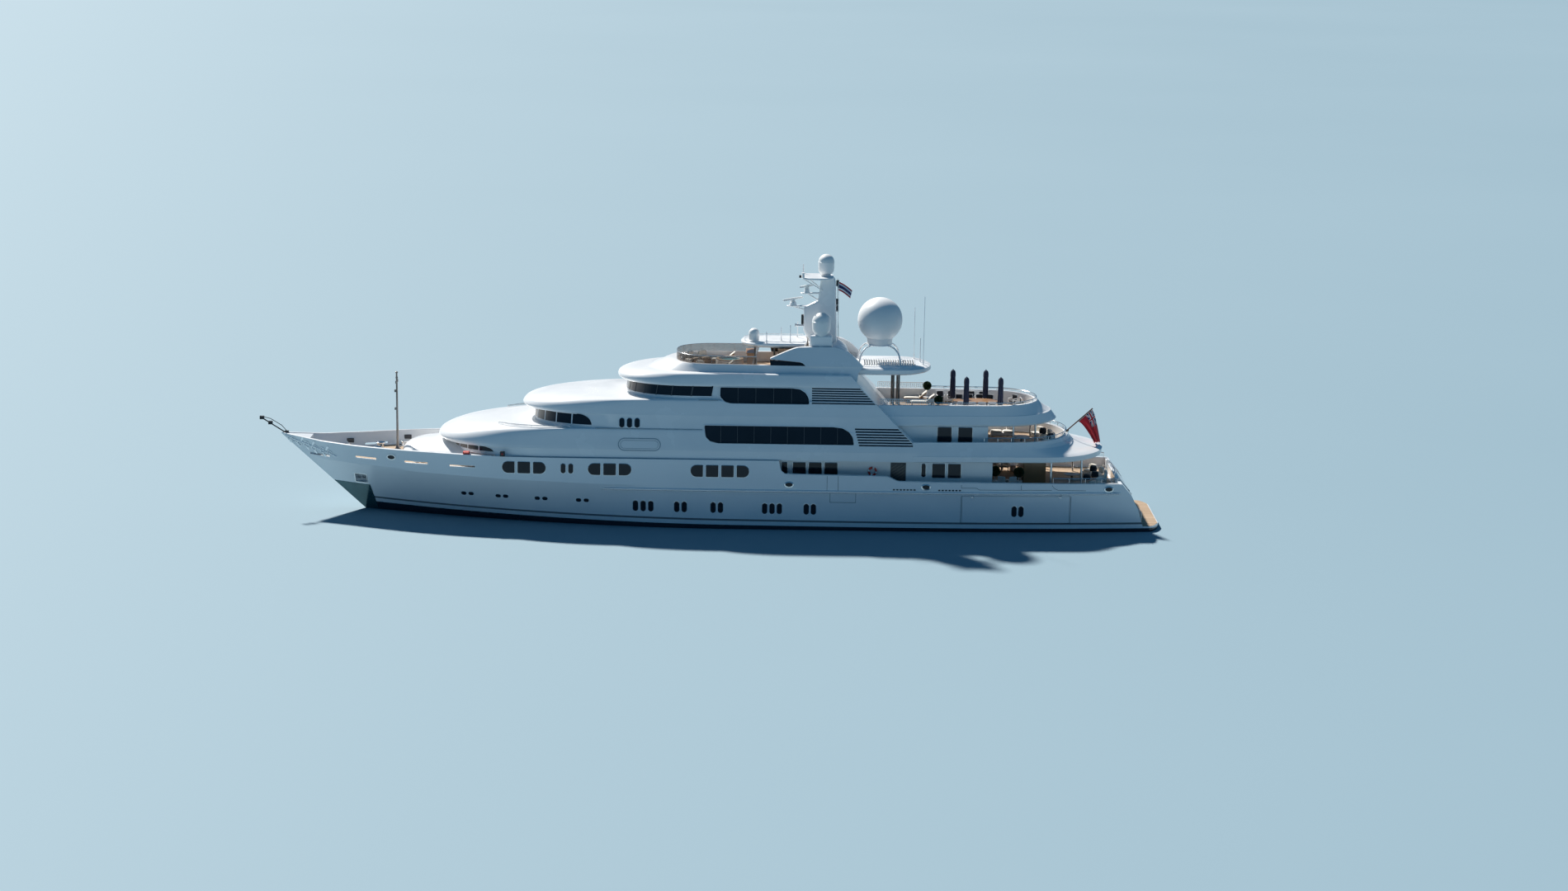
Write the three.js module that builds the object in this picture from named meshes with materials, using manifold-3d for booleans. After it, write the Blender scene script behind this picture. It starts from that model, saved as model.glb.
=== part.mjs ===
// A 73 m displacement motor yacht afloat, at half its real size.
// Every size below is in metres of the real yacht; the group at the end scales it to millimetres at 1:2.
// +X points aft, +Y to starboard and +Z up. The origin is on the centreline, amidships, at the waterline.
import * as THREE from "three";
import { mergeVertices } from "three/addons/utils/BufferGeometryUtils.js";
import Module from "manifold-3d";

const wasm = await Module();
wasm.setup();

const MODEL_SCALE = 0.5;
const MM_PER_METRE = 1000;
// What stands on another piece keeps this clearance, 0.4 mm in the model.
const GAP = 0.0008;
// A pin turns in a bore this much wider, 1 mm in the model, and its end bears on a seat one clearance away.
const RUNNING_FIT = 0.002;
const PIN_SIDES = 16;
const boreFor = (pin) => (pin + RUNNING_FIT) / Math.cos(Math.PI / PIN_SIDES);

// Driving dimensions of the hull
const STEM_HEAD = -36.5;
const STEM_AT_WATER = -29.5;
const STEM_TOP = 6.35;
const DRAFT = 3.9;
const KEEL_Z = -3.92;
const BEAM_HALF = 6.2;
const FOREDECK_Z = 4.75;
const MAIN_DECK_Z = 3.2;
const BULWARK = 0.22;

// Deck heights of the superstructure
const HOUSE_SEAT_Z = 5.78;
const UPPER_DECK_Z = 6.35;
const FORWARD_ROOF_Z = 8.12;
const BRIDGE_SLAB_Z = 8.45;
const BRIDGE_DECK_Z = 9.1;
const MIDDLE_ROOF_Z = 10.5;
const BROW_Z = 11.62;
const LEDGE_Z = 12.6;
const SUN_DECK_Z = 12.35;
const COAMING_Z = 13.2;

const white = { color: 0xf1f2f2, roughness: 0.25, metalness: 0.0 };
const steel = { color: 0xc9ccd0, roughness: 0.2, metalness: 1.0 };
const glass = { color: 0x10161c, roughness: 0.08, metalness: 0.0 };
const teak = { color: 0xa9764a, roughness: 0.6, metalness: 0.0 };
const bronze = { color: 0xb98a4a, roughness: 0.35, metalness: 1.0 };
const paint = { color: 0x16181c, roughness: 0.5, metalness: 0.0 };
const navy = { color: 0x1b2440, roughness: 0.9, metalness: 0.0 };
const cream = { color: 0xe9e4d8, roughness: 0.8, metalness: 0.0 };
const scarlet = { color: 0xc41e2e, roughness: 0.8, metalness: 0.0 };

const yacht = new THREE.Group();

// Solids and meshes

function solidOf(geometry) {
  const bare = geometry.index ? geometry.toNonIndexed() : geometry.clone();
  bare.deleteAttribute("normal");
  bare.deleteAttribute("uv");
  const merged = mergeVertices(bare, 1e-5);
  return new wasm.Manifold(
    new wasm.Mesh({
      numProp: 3,
      vertProperties: new Float32Array(merged.attributes.position.array),
      triVerts: new Uint32Array(merged.index.array),
    }),
  );
}

function geometryOf(solid) {
  const mesh = solid.getMesh();
  const positions = new Float32Array(mesh.numVert * 3);
  for (let i = 0; i < mesh.numVert; i++) {
    for (let k = 0; k < 3; k++) positions[i * 3 + k] = mesh.vertProperties[i * mesh.numProp + k];
  }
  const geometry = new THREE.BufferGeometry();
  geometry.setAttribute("position", new THREE.BufferAttribute(positions, 3));
  geometry.setIndex(new THREE.BufferAttribute(new Uint32Array(mesh.triVerts), 1));
  return geometry;
}

function add(name, shape, look) {
  const geometry = shape.isBufferGeometry ? shape : geometryOf(shape);
  const mesh = new THREE.Mesh(geometry, new THREE.MeshStandardMaterial(look));
  mesh.name = name;
  yacht.add(mesh);
  return mesh;
}

// Triangles over a flat ring, turning the same way round as the ring does.
function capOf(flat) {
  const ringTurn = Math.sign(THREE.ShapeUtils.area(flat));
  return THREE.ShapeUtils.triangulateShape(flat, []).map(([a, b, c]) => {
    const turn = Math.sign(THREE.ShapeUtils.area([flat[a], flat[b], flat[c]]));
    return turn === ringTurn ? [a, b, c] : [a, c, b];
  });
}

// A closed skin over rings of equal length, capped at both ends.
function skin(rings, flatten) {
  const count = rings[0].length;
  const positions = [];
  const faces = [];
  for (const ring of rings) for (const point of ring) positions.push(point.x, point.y, point.z);
  for (let r = 0; r + 1 < rings.length; r++) {
    for (let i = 0; i < count; i++) {
      const a = r * count + i;
      const b = r * count + ((i + 1) % count);
      faces.push(a, b, b + count, a, b + count, a + count);
    }
  }
  const last = (rings.length - 1) * count;
  for (const [a, b, c] of capOf(rings[0].map(flatten))) faces.push(a, c, b);
  for (const [a, b, c] of capOf(rings.at(-1).map(flatten))) faces.push(last + a, last + b, last + c);
  const geometry = new THREE.BufferGeometry();
  geometry.setAttribute("position", new THREE.Float32BufferAttribute(positions, 3));
  geometry.setIndex(faces);
  const solid = solidOf(geometry);
  if (solid.volume() > 0) return solid;
  const turned = geometry.clone();
  turned.setIndex(faces.map((_, i) => faces[i - (i % 3) + [0, 2, 1][i % 3]]));
  return solidOf(turned);
}

const onPlan = (point) => new THREE.Vector2(point.x, point.y);
const onSection = (point) => new THREE.Vector2(point.y, point.z);

function box(x0, x1, y0, y1, z0, z1) {
  const geometry = new THREE.BoxGeometry(x1 - x0, y1 - y0, z1 - z0);
  geometry.translate((x0 + x1) / 2, (y0 + y1) / 2, (z0 + z1) / 2);
  return solidOf(geometry);
}

function rod(from, to, radius, sides = 8) {
  const a = new THREE.Vector3(...from);
  const b = new THREE.Vector3(...to);
  const geometry = new THREE.CylinderGeometry(radius, radius, a.distanceTo(b), sides);
  const turn = new THREE.Quaternion().setFromUnitVectors(
    new THREE.Vector3(0, 1, 0),
    b.clone().sub(a).normalize(),
  );
  geometry.applyQuaternion(turn);
  geometry.translate(...a.add(b).multiplyScalar(0.5).toArray());
  return solidOf(geometry);
}

function tube(points, radius, steps, sides = 8, closed = false) {
  const path = new THREE.CatmullRomCurve3(points.map((p) => new THREE.Vector3(...p)), closed, "centripetal");
  const section = new THREE.Shape();
  for (let i = 0; i < sides; i++) {
    const turn = (i / sides) * Math.PI * 2;
    const [x, y] = [radius * Math.cos(turn), radius * Math.sin(turn)];
    if (i) section.lineTo(x, y);
    else section.moveTo(x, y);
  }
  return solidOf(new THREE.ExtrudeGeometry(section, { steps, extrudePath: path, bevelEnabled: false }));
}

// A turned shape on a vertical axis: profile rows are radius and height.
function turned(profile, x, y, z, sides = 16) {
  const geometry = new THREE.LatheGeometry(profile.map(([r, h]) => new THREE.Vector2(r, h)), sides);
  geometry.rotateX(Math.PI / 2);
  geometry.translate(x, y, z);
  return solidOf(geometry);
}

// A plate with its outline in the XZ plane, from y0 to y1.
function sidePlate(outline, y0, y1) {
  const shape = new THREE.Shape(outline.map(([x, z]) => new THREE.Vector2(x, z)));
  const geometry = new THREE.ExtrudeGeometry(shape, { depth: y1 - y0, bevelEnabled: false });
  geometry.rotateX(Math.PI / 2);
  geometry.translate(0, y1, 0);
  return solidOf(geometry);
}

function join(solids) {
  return solids.reduce((all, next) => all.add(next));
}

function cut(solid, tools) {
  return tools.reduce((left, tool) => left.subtract(tool), solid);
}

const mirrored = (solid) => solid.mirror([0, 1, 0]);

function between(rows, x) {
  if (x <= rows[0][0]) return rows[0][1];
  for (let i = 1; i < rows.length; i++) {
    const [x0, v0] = rows[i - 1];
    const [x1, v1] = rows[i];
    if (x <= x1) return v0 + ((v1 - v0) * (x - x0)) / (x1 - x0);
  }
  return rows.at(-1)[1];
}

const clamp = (v) => Math.min(1, Math.max(0, v));
const range = (count) => Array.from({ length: count }, (_, i) => i);

// Hull form. Each line is the half-breadth along the ship at one height, from its stem out to a beam.

const LINES = {
  water: { stem: -29.5, length: 30, power: 1.8, beam: 5.9 },
  knuckle: { stem: -34.35, length: 27.4, power: 2.9, beam: BEAM_HALF },
  sheer: { stem: STEM_HEAD, length: 25, power: 2.4, beam: 6.03 },
};
// Columns: x, height of the flare's knuckle, which fades out amidships
const KNUCKLE = [[-34, 4.4], [-28, 4.26], [-20, 4], [-9.6, 3.7], [10, 3.4], [36.5, 3.4]];
// Columns: x, height of the side
const SIDE_TOP = [
  [-36.5, 6.35], [-33, 5.98], [-30, 5.88], [-24, 5.84], [-18.6, 5.78], [5.3, 5.78], [5.9, 5.2],
  [6.6, 4.68], [13.9, 4.6], [14.9, 4.2], [33.2, 4.05], [34, 3.1], [34.6, 1.9], [34.9, 0.9], [35.05, 0.45],
  [36.5, 0.45],
];
// Columns: x, depth of the hull's bottom on the centreline
const BOTTOM = [
  [-29.5, 0], [-27.2, -DRAFT], [12, -DRAFT], [16, -3.62], [20, -3.1], [24, -2.5], [28, -1.85], [32, -1.2],
  [35, -0.75], [36.5, -0.45],
];
// Columns: x, fullness of the underwater section
const FULLNESS = [[-29.5, 1.3], [-20, 1.9], [-8, 3.4], [0, 4.2], [12, 4], [24, 3], [36.5, 2.6]];

// Height of the raked stem at x
const stemHeight = (x) => ((STEM_AT_WATER - x) * STEM_TOP) / (STEM_AT_WATER - STEM_HEAD);

function lineAt({ stem, length, power, beam }, x) {
  return beam * (1 - (1 - clamp((x - stem) / length)) ** power);
}

function halfAt(x, z) {
  const low = Math.max(0, stemHeight(x));
  const knee = Math.max(low, between(KNUCKLE, x));
  const atKnuckle = lineAt(LINES.knuckle, x);
  let half;
  if (z >= knee) {
    const above = (z - knee) / Math.max(0.05, STEM_TOP - knee);
    half = atKnuckle + (lineAt(LINES.sheer, x) - atKnuckle) * (0.85 * above + 0.15 * above * above);
  } else {
    const rise = clamp((z - low) / (knee - low));
    const atWater = lineAt(LINES.water, x);
    half = atWater + (atKnuckle - atWater) * (0.8 * rise + 0.2 * rise * rise);
  }
  const run = 1 - 0.2 * clamp((x - 14) / 22.5) ** 2.2;
  const corner = Math.sqrt(1 - clamp((x - 35.6) / 1.25) ** 2);
  return half * run * corner;
}

function bottomAt(x) {
  return x >= STEM_AT_WATER ? between(BOTTOM, x) : stemHeight(x);
}

const LOW_POINTS = 7;
const SIDE_POINTS = 4;

function hullSection(x) {
  const bottom = bottomAt(x);
  const top = between(SIDE_TOP, x);
  const full = between(FULLNESS, x);
  const side = [];
  for (let i = 0; i <= LOW_POINTS; i++) {
    const turn = (i / LOW_POINTS) * (Math.PI / 2);
    if (bottom < 0) {
      const z = bottom * Math.cos(turn) ** (2 / full);
      side.push([halfAt(x, 0) * Math.sin(turn) ** (2 / full), z]);
    } else {
      const z = bottom + 0.2 * (top - bottom) * (i / LOW_POINTS);
      side.push([halfAt(x, z), z]);
    }
  }
  const start = side.at(-1)[1];
  const lowest = start + 0.1 * (top - start);
  const highest = start + 0.7 * (top - start);
  const knee = Math.min(Math.max(between(KNUCKLE, x), lowest), highest);
  for (const [z0, z1] of [[start, knee], [knee, top]]) {
    for (let i = 1; i <= SIDE_POINTS; i++) {
      const z = z0 + ((z1 - z0) * i) / SIDE_POINTS;
      side.push([halfAt(x, z), z]);
    }
  }
  side[0][0] = 0;
  const port = side.slice(1).reverse().map(([y, z]) => new THREE.Vector3(x, -y, z));
  const starboard = side.map(([y, z]) => new THREE.Vector3(x, y, z));
  return [...port, ...starboard];
}

const HULL_STATIONS = [
  -36.42, -35.8, -35, -34, -33, -31.5, -30.5, -29.51, -29.4, -28.8, -28.2, -27.2, -25.5, -24, -22, -20,
  -18.6,
  -16, -13, -10, -6, 0, 5.3, 5.9, 6.6, 12, 13.9, 14.9, 20, 24.5, 28.9, 32, 33.2, 34, 34.6,
  34.9, 35.05, 35.6, 36, 36.3, 36.5,
];

function wellBetween(x0, x1, floor, lip, inset, steps) {
  const rings = range(steps + 1).map((i) => {
    const x = x0 + ((x1 - x0) * i) / steps;
    const low = halfAt(x, floor) - inset;
    const high = halfAt(x, lip) - inset;
    return [[-low, floor], [low, floor], [high, lip], [high, 8], [-high, 8], [-high, lip]].map(
      ([y, z]) => new THREE.Vector3(x, y, z),
    );
  });
  return skin(rings, onSection);
}

// Shell doors of the tender garage, one each side, hung below the rub rail
const DOOR = { fore: 20.1, aft: 28.9, low: 0.8, high: 3.05, thick: 0.14, clearance: 0.03, lap: 0.25 };
const RUB_RAIL = { fore: -9.4, aft: 33.1, low: 3.2, high: 3.42, proud: 0.16 };

// A band of the hull's side, between two depths inside its surface.
function sideBand(x0, x1, z0, z1, outer, inner, steps) {
  const rings = range(steps + 1).map((i) => {
    const x = x0 + ((x1 - x0) * i) / steps;
    return [[z0, outer], [z0, inner], [z1, inner], [z1, outer]].map(
      ([z, inset]) => new THREE.Vector3(x, halfAt(x, z) - inset, z),
    );
  });
  return skin(rings, onSection);
}

const STAIRS = { inner: 2.9, outer: 4.1, steps: 11, rise: 0.25, tread: 0.26, foot: 35.05, low: 0.45 };
const BILGE_KEEL = { fore: 1.5, pitch: 1.4 };
const SHAFT = { y: 2.2, z: -2.7, tail: 0.1, reach: 0.9 };
// Stabiliser fin: its root is on the bilge and its axis leans out and down by tilt.
const FIN = { root: [-2, 5.33, -2.96], tilt: -130, span: 1.15, stock: 0.2, stub: 0.45 };
const RUDDER = { x: 33, y: 2.2, stock: 0.12, top: -1.45, deep: -0.35 };

// Hinges of a shell door: pins on a straight line just outside the door's curved top edge.
const HINGE = {
  stations: [20.9, 28.1], pin: 0.018, knuckle: 0.038, half: 0.12, lug: 0.08, play: GAP, web: 0.02,
  above: 0.015,
};
const HINGE_SIDES = 12;
const hingeEnds = [DOOR.fore, DOOR.aft].map((x) => halfAt(x, DOOR.high));
const hingeSlope = (hingeEnds[1] - hingeEnds[0]) / (DOOR.aft - DOOR.fore);
const hingeMiddle = (DOOR.fore + DOOR.aft) / 2;
const HINGE_OFFSET = 0.03;
const hingeY = (x) => halfAt(hingeMiddle, DOOR.high) + HINGE_OFFSET + hingeSlope * (x - hingeMiddle);
const HINGE_Z = DOOR.high + HINGE.above;

// A round bar on the hinge line, from x0 to x1
function hingeBar(x0, x1, radius) {
  return rod([x0, hingeY(x0), HINGE_Z], [x1, hingeY(x1), HINGE_Z], radius, HINGE_SIDES);
}

// Lugs on the hull each side of the door's knuckle, hung from the rub rail
function hingeLugs(x) {
  const inner = HINGE.half + HINGE.play;
  const outer = inner + HINGE.lug;
  return [[x - outer, x - inner], [x + inner, x + outer]].map(([x0, x1]) => cut(
    join([
      hingeBar(x0, x1, HINGE.knuckle),
      box(x0 + HINGE.web, x1 - HINGE.web, hingeY(x1) - 0.03, hingeY(x0) + 0.03, HINGE_Z, RUB_RAIL.low + 0.1),
    ]),
    [hingeBar(x0 - 1, x1 + 1, (HINGE.pin + RUNNING_FIT) / Math.cos(Math.PI / HINGE_SIDES))],
  ));
}

function hingeKnuckle(x) {
  const reach = HINGE.half + HINGE.play + HINGE.lug;
  return join([
    hingeBar(x - HINGE.half, x + HINGE.half, HINGE.knuckle),
    box(
      x - HINGE.half + HINGE.web, x + HINGE.half - HINGE.web, halfAt(x, DOOR.high) - 0.08, hingeY(x) + 0.02,
      DOOR.high - 0.1, DOOR.high,
    ),
    hingeBar(x - reach, x + reach, HINGE.pin),
  ]);
}

function buildHull() {
  const shell = skin(HULL_STATIONS.map(hullSection), onSection);
  const bulb = turned(
    range(13).map((i) => [Math.sin((i / 12) * Math.PI), -Math.cos((i / 12) * Math.PI)]),
    0, 0, 0, 16,
  ).scale([1, 1, 4.4]).rotate([0, 90, 0]).scale([1, 0.85, 1.1]).translate([-27.3, 0, -2.65]);
  const keel = sidePlate([[-23, -3], [26, -2.3], [27.6, -3.4], [27.2, KEEL_Z], [-21, KEEL_Z]], -0.28, 0.28);
  const tools = [
    wellBetween(-33.9, -18.05, FOREDECK_Z, 6, BULWARK, 12),
    wellBetween(6.1, 32.9, MAIN_DECK_Z, 4.4, BULWARK, 14),
    box(
      DOOR.fore + DOOR.lap, DOOR.aft - DOOR.lap, -BEAM_HALF, BEAM_HALF,
      DOOR.low + DOOR.lap, DOOR.high - DOOR.lap,
    ),
  ];
  const grown = DOOR.clearance;
  const rebate = sideBand(
    DOOR.fore - grown, DOOR.aft + grown, DOOR.low - grown, DOOR.high + grown, -1, DOOR.thick + grown, 8,
  );
  for (const side of [1, -1]) {
    tools.push(side > 0 ? rebate : mirrored(rebate));
    // Anchor pocket beside the stem
    tools.push(box(-30.1, -29.1, side * 1.9 - 0.9, side * 1.9 + 0.9, 2.5, 3.3));
    // Steps cut into the sloping transom, from the swim platform up to the main deck
    const [y0, y1] = side > 0 ? [STAIRS.inner, STAIRS.outer] : [-STAIRS.outer, -STAIRS.inner];
    for (const i of range(STAIRS.steps)) {
      const riser = STAIRS.foot - STAIRS.tread * (i + 1);
      tools.push(box(riser, STAIRS.foot + 0.1, y0, y1, STAIRS.low + STAIRS.rise * i, 6));
    }
    // Bearings of the stabiliser fin and the rudder stock
    const upright = rod([0, 0, -FIN.stub - GAP], [0, 0, 0.3], boreFor(FIN.stock), PIN_SIDES);
    const finBore = upright.rotate([FIN.tilt, 0, 0]).translate(FIN.root);
    tools.push(side > 0 ? finBore : mirrored(finBore));
    const [rudderX, rudderY] = [RUDDER.x, side * RUDDER.y];
    tools.push(rod(
      [rudderX, rudderY, -3], [rudderX, rudderY, RUDDER.deep + GAP], boreFor(RUDDER.stock), PIN_SIDES,
    ));
  }
  // Rub rail along the deck edge, and a bilge keel of flat bar
  const rail = sideBand(RUB_RAIL.fore, RUB_RAIL.aft, RUB_RAIL.low, RUB_RAIL.high, -RUB_RAIL.proud, 0.1, 16);
  const bilgeKeel = skin(range(9).map((i) => {
    const y = halfAt(BILGE_KEEL.fore, 0) * 0.86;
    return [[y - 0.3, -2.9], [y + 0.32, -3.5], [y + 0.36, -3.46], [y - 0.2, -2.8]].map(
      ([a, b]) => new THREE.Vector3(BILGE_KEEL.fore + i * BILGE_KEEL.pitch, a, b),
    );
  }), onSection);
  const lugs = HINGE.stations.flatMap(hingeLugs);
  const fixed = [rail, bilgeKeel, ...lugs].flatMap((piece) => [piece, mirrored(piece)]);
  return join([cut(join([shell, bulb, keel]), tools), ...fixed]);
}

const hull = buildHull();
// What is fixed under the hull ends a clearance below its skin.
const underHull = (piece) => cut(piece, [hull.translate([0, 0, -GAP])]);
const onHull = (piece) => cut(piece, [hull.translate([0, 0, GAP])]);

add("hull", hull, white);
for (const [side, name] of [[-1, "port"], [1, "starboard"]]) {
  const leaf = sideBand(DOOR.fore, DOOR.aft, DOOR.low, DOOR.high, 0, DOOR.thick, 8);
  const door = join([leaf, ...HINGE.stations.map(hingeKnuckle)]);
  add(`garage_door_${name}`, side > 0 ? door : mirrored(door), white);
}

// Decks with rounded ends. A level is a plan outline at one height.

const END_STEPS = 7;
const NOSE_POWER = 2.5;

// Plan outline: a blunt nose, sides that taper from half to halfAft, and an elliptical tail.
function planOutline({ z, nose, noseLen, half, halfAft = half, tail, tailLen = 0.05 }) {
  const side = [];
  for (let i = 1; i <= END_STEPS; i++) {
    const turn = (i / END_STEPS) * (Math.PI / 2);
    const along = Math.max(0, Math.cos(turn)) ** (2 / NOSE_POWER);
    side.push([nose + noseLen * (1 - along), half * Math.sin(turn) ** (2 / NOSE_POWER)]);
  }
  for (let i = 0; i < END_STEPS; i++) {
    const turn = (i / END_STEPS) * (Math.PI / 2);
    side.push([tail - tailLen * (1 - Math.sin(turn)), halfAft * Math.cos(turn)]);
  }
  const outline = [[nose, 0], ...side, [tail, 0], ...side.map(([x, y]) => [x, -y]).reverse()];
  return outline.map(([x, y]) => new THREE.Vector3(x, y, z));
}

function stack(levels, shared = {}) {
  return skin(levels.map((level) => planOutline({ ...shared, ...level })), onPlan);
}

// Turns rows of numbers into levels with named columns.
function named(columns, rows) {
  return rows.map((row) => Object.fromEntries(columns.map((column, i) => [column, row[i]])));
}

// The aft edge of the whole superstructure leans forward at 45 degrees above the upper deck's bulwark.
const RAKE = { x: 16.35, z: 7 };
const rakeAt = (z) => RAKE.x - Math.max(0, z - RAKE.z);
const raked = (levels, extra = 0) => levels.map((level) => ({ ...level, tail: rakeAt(level.z) + extra }));

// Leans a starboard piece inwards by the side wall's slope, from the height z0 up.
const WALL_SLOPE = 0.2;
const leaning = (solid, z0) => solid.warp((v) => {
  v[1] -= WALL_SLOPE * (v[2] - z0);
});

// Slots of a louvred air intake in the leaning side wall: y is the wall's half-breadth at the height low.
function louvres({ fore, low, high, count, y, depth, margin }) {
  const pitch = (high - low) / count;
  const slots = [];
  for (let i = 0; i < count; i++) {
    const z = low + pitch * (i + 0.25);
    const aft = rakeAt(z) - margin;
    const slot = leaning(box(fore, aft, y - depth, y + 1, z, z + pitch * 0.5), low);
    slots.push(slot, mirrored(slot));
  }
  return slots;
}

// Long side windows: each is a pocket in the wall and a pane in it.
// y is the wall's half-breadth at the height low.
const WINDOWS = {
  upper: {
    low: 7.09,
    y: 5.6,
    outline: [
      [-1, 8.05], [-0.85, 8.4], [-0.5, 8.51], [9.6, 8.51], [10.4, 8.35], [11, 7.85], [11.25, 7.09],
      [0, 7.09],
      [-0.6, 7.3], [-0.92, 7.65],
    ],
  },
  bridge: {
    low: 10.26,
    y: 4.72,
    outline: [
      [0.24, 11.52], [6.2, 11.52], [6.9, 11.35], [7.3, 10.95], [7.5, 10.26], [1.1, 10.26], [0.24, 10.7],
    ],
  },
};
const POCKET = 0.16;
const PANE_THICK = 0.1;
const PANE_FIT = 0.995;

function pocketOf({ low, y, outline }) {
  const pocket = leaning(sidePlate(outline, y - POCKET, y + 1.2), low);
  return [pocket, mirrored(pocket)];
}

function paneOf({ low, y, outline }) {
  const mid = outline.reduce(([a, b], [x, z]) => [a + x / outline.length, b + z / outline.length], [0, 0]);
  const smaller = outline.map((point) => point.map((v, axis) => mid[axis] + (v - mid[axis]) * PANE_FIT));
  return leaning(sidePlate(smaller, y - POCKET + GAP, y - POCKET + PANE_THICK), low);
}

const FORWARD_LEVELS = named(["z", "nose", "noseLen", "half", "halfAft"], [
  [HOUSE_SEAT_Z + GAP, -21.9, 8.4, 5.78, 5.82],
  [6.45, -21.9, 8.4, 5.74, 5.78],
  [6.47, -22.9, 9.4, 5.74, 5.78],
  [6.75, -23.2, 9.8, 5.7, 5.74],
  [7.15, -22.9, 9.8, 5.62, 5.66],
  [7.55, -22, 9.2, 5.54, 5.58],
  [7.85, -20.8, 8.4, 5.48, 5.52],
  [8.04, -19.2, 7.4, 5.42, 5.48],
  [FORWARD_ROOF_Z, -17.4, 6.4, 5.36, 5.44],
]);
const BASE_AFT = -18.07;
// The low rounded trunk on the foredeck, under and ahead of the first tier
const TRUNK_LEVELS = named(["z", "nose", "noseLen", "half"], [
  [FOREDECK_Z + GAP, -26.3, 9, 4.5],
  [5.35, -26.2, 9, 4.4],
  [5.75, -25.8, 8.6, 3.8],
  [6.05, -25.1, 8, 2.9],
  [6.22, -24.2, 7.4, 1.9],
]);
const UPPER_INTAKE = { fore: 11.6, low: 7.05, high: 8.1, count: 6, y: 5.6, depth: 0.35, margin: 0.3 };
add("forward_house", cut(
  join([
    stack(raked(FORWARD_LEVELS)),
    cut(stack(TRUNK_LEVELS, { tail: -8 }), [box(BASE_AFT, 0, -9, 9, 0, 9)]),
  ]),
  [...pocketOf(WINDOWS.upper), ...louvres(UPPER_INTAKE)],
), white);

const MIDDLE_LEVELS = named(["z", "nose", "noseLen", "half", "halfAft"], [
  [FORWARD_ROOF_Z + GAP, -15.2, 8.2, 5.34, 5.42],
  [9.24, -15.1, 8.1, 5.12, 5.16],
  [9.26, -16, 9, 5.12, 5.16],
  [9.5, -16.2, 9.2, 5.06, 5.1],
  [9.9, -15.8, 8.9, 4.97, 5.02],
  [10.2, -14.8, 8.3, 4.89, 4.94],
  [10.4, -13.2, 7.3, 4.82, 4.88],
  [MIDDLE_ROOF_Z, -11.4, 6.6, 4.7, 4.84],
]);
add(
  "middle_house",
  cut(stack(raked(MIDDLE_LEVELS)), [...pocketOf(WINDOWS.upper), ...pocketOf(WINDOWS.bridge)]),
  white,
);

const WHEELHOUSE_LEVELS = named(["z", "nose", "noseLen", "half", "halfAft"], [
  [MIDDLE_ROOF_Z + GAP, -7.6, 6, 4.5, 4.7],
  [BROW_Z, -7.4, 6, 4.3, 4.5],
]);
const BRIDGE_INTAKE = { fore: 7.9, low: 10.6, high: 11.5, count: 6, y: 4.65, depth: 0.3, margin: 0.3 };
add("wheelhouse", cut(
  stack(raked(WHEELHOUSE_LEVELS)),
  [...pocketOf(WINDOWS.bridge), ...louvres(BRIDGE_INTAKE)],
), white);

const BROW_LEVELS = named(["z", "nose", "noseLen", "half", "halfAft"], [
  [BROW_Z + GAP, -8, 6.4, 4.5, 4.52],
  [11.8, -8.3, 6.8, 4.5, 4.5],
  [12.1, -8.25, 6.9, 4.42, 4.44],
  [12.35, -7.7, 6.5, 4.32, 4.36],
  [12.52, -6.9, 6, 4.24, 4.3],
  [LEDGE_Z, -6, 5.6, 4.1, 4.2],
  [LEDGE_Z + 0.01, -5.6, 5.4, 3.6, 3.9],
  [12.9, -4.9, 4.9, 3.42, 3.78],
  [COAMING_Z, -4.2, 4.4, 3.3, 3.66],
]);
const sunWell = { nose: -3.4, noseLen: 4, half: 3, halfAft: 3.2, tail: 7.2 };
add(
  "wheelhouse_roof",
  cut(stack(raked(BROW_LEVELS, 0.35)), [stack([{ z: SUN_DECK_Z, ...sunWell }, { z: 14, ...sunWell }])]),
  white,
);

// Main deck house, inside the side decks

const MAIN_HOUSE = { fore: 6.2, aft: 22.6, half: 4.75 };
add("main_deck_house", box(
  MAIN_HOUSE.fore, MAIN_HOUSE.aft, -MAIN_HOUSE.half, MAIN_HOUSE.half, MAIN_DECK_Z + GAP, HOUSE_SEAT_Z - 0.06,
), white);

// Aft decks: a slab, a bulwark round it and a rounded stern

const UPPER_TRAY_LEVELS = named(["z", "half", "halfAft", "tail", "tailLen"], [
  [HOUSE_SEAT_Z - 0.04, 5.9, 5.3, 31.6, 5.2],
  [5.95, 5.96, 5.36, 32, 5.2],
  [6.25, 5.94, 5.3, 31.5, 5],
  [6.6, 5.86, 5.2, 30.5, 4.8],
  [6.9, 5.78, 5.1, 29.6, 4.6],
  [7.36, 5.66, 4.95, 29.1, 4.4],
]);
const flatNose = (nose) => ({ nose, noseLen: 0.05 });
const upperWell = { half: 5.45, halfAft: 4.75, tail: 28.8, tailLen: 4.4, ...flatNose(15) };
add("upper_deck_aft", cut(
  stack(UPPER_TRAY_LEVELS, flatNose(RAKE.x + GAP)),
  [stack([{ z: UPPER_DECK_Z, ...upperWell }, { z: 9, ...upperWell }])],
), white);

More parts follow.
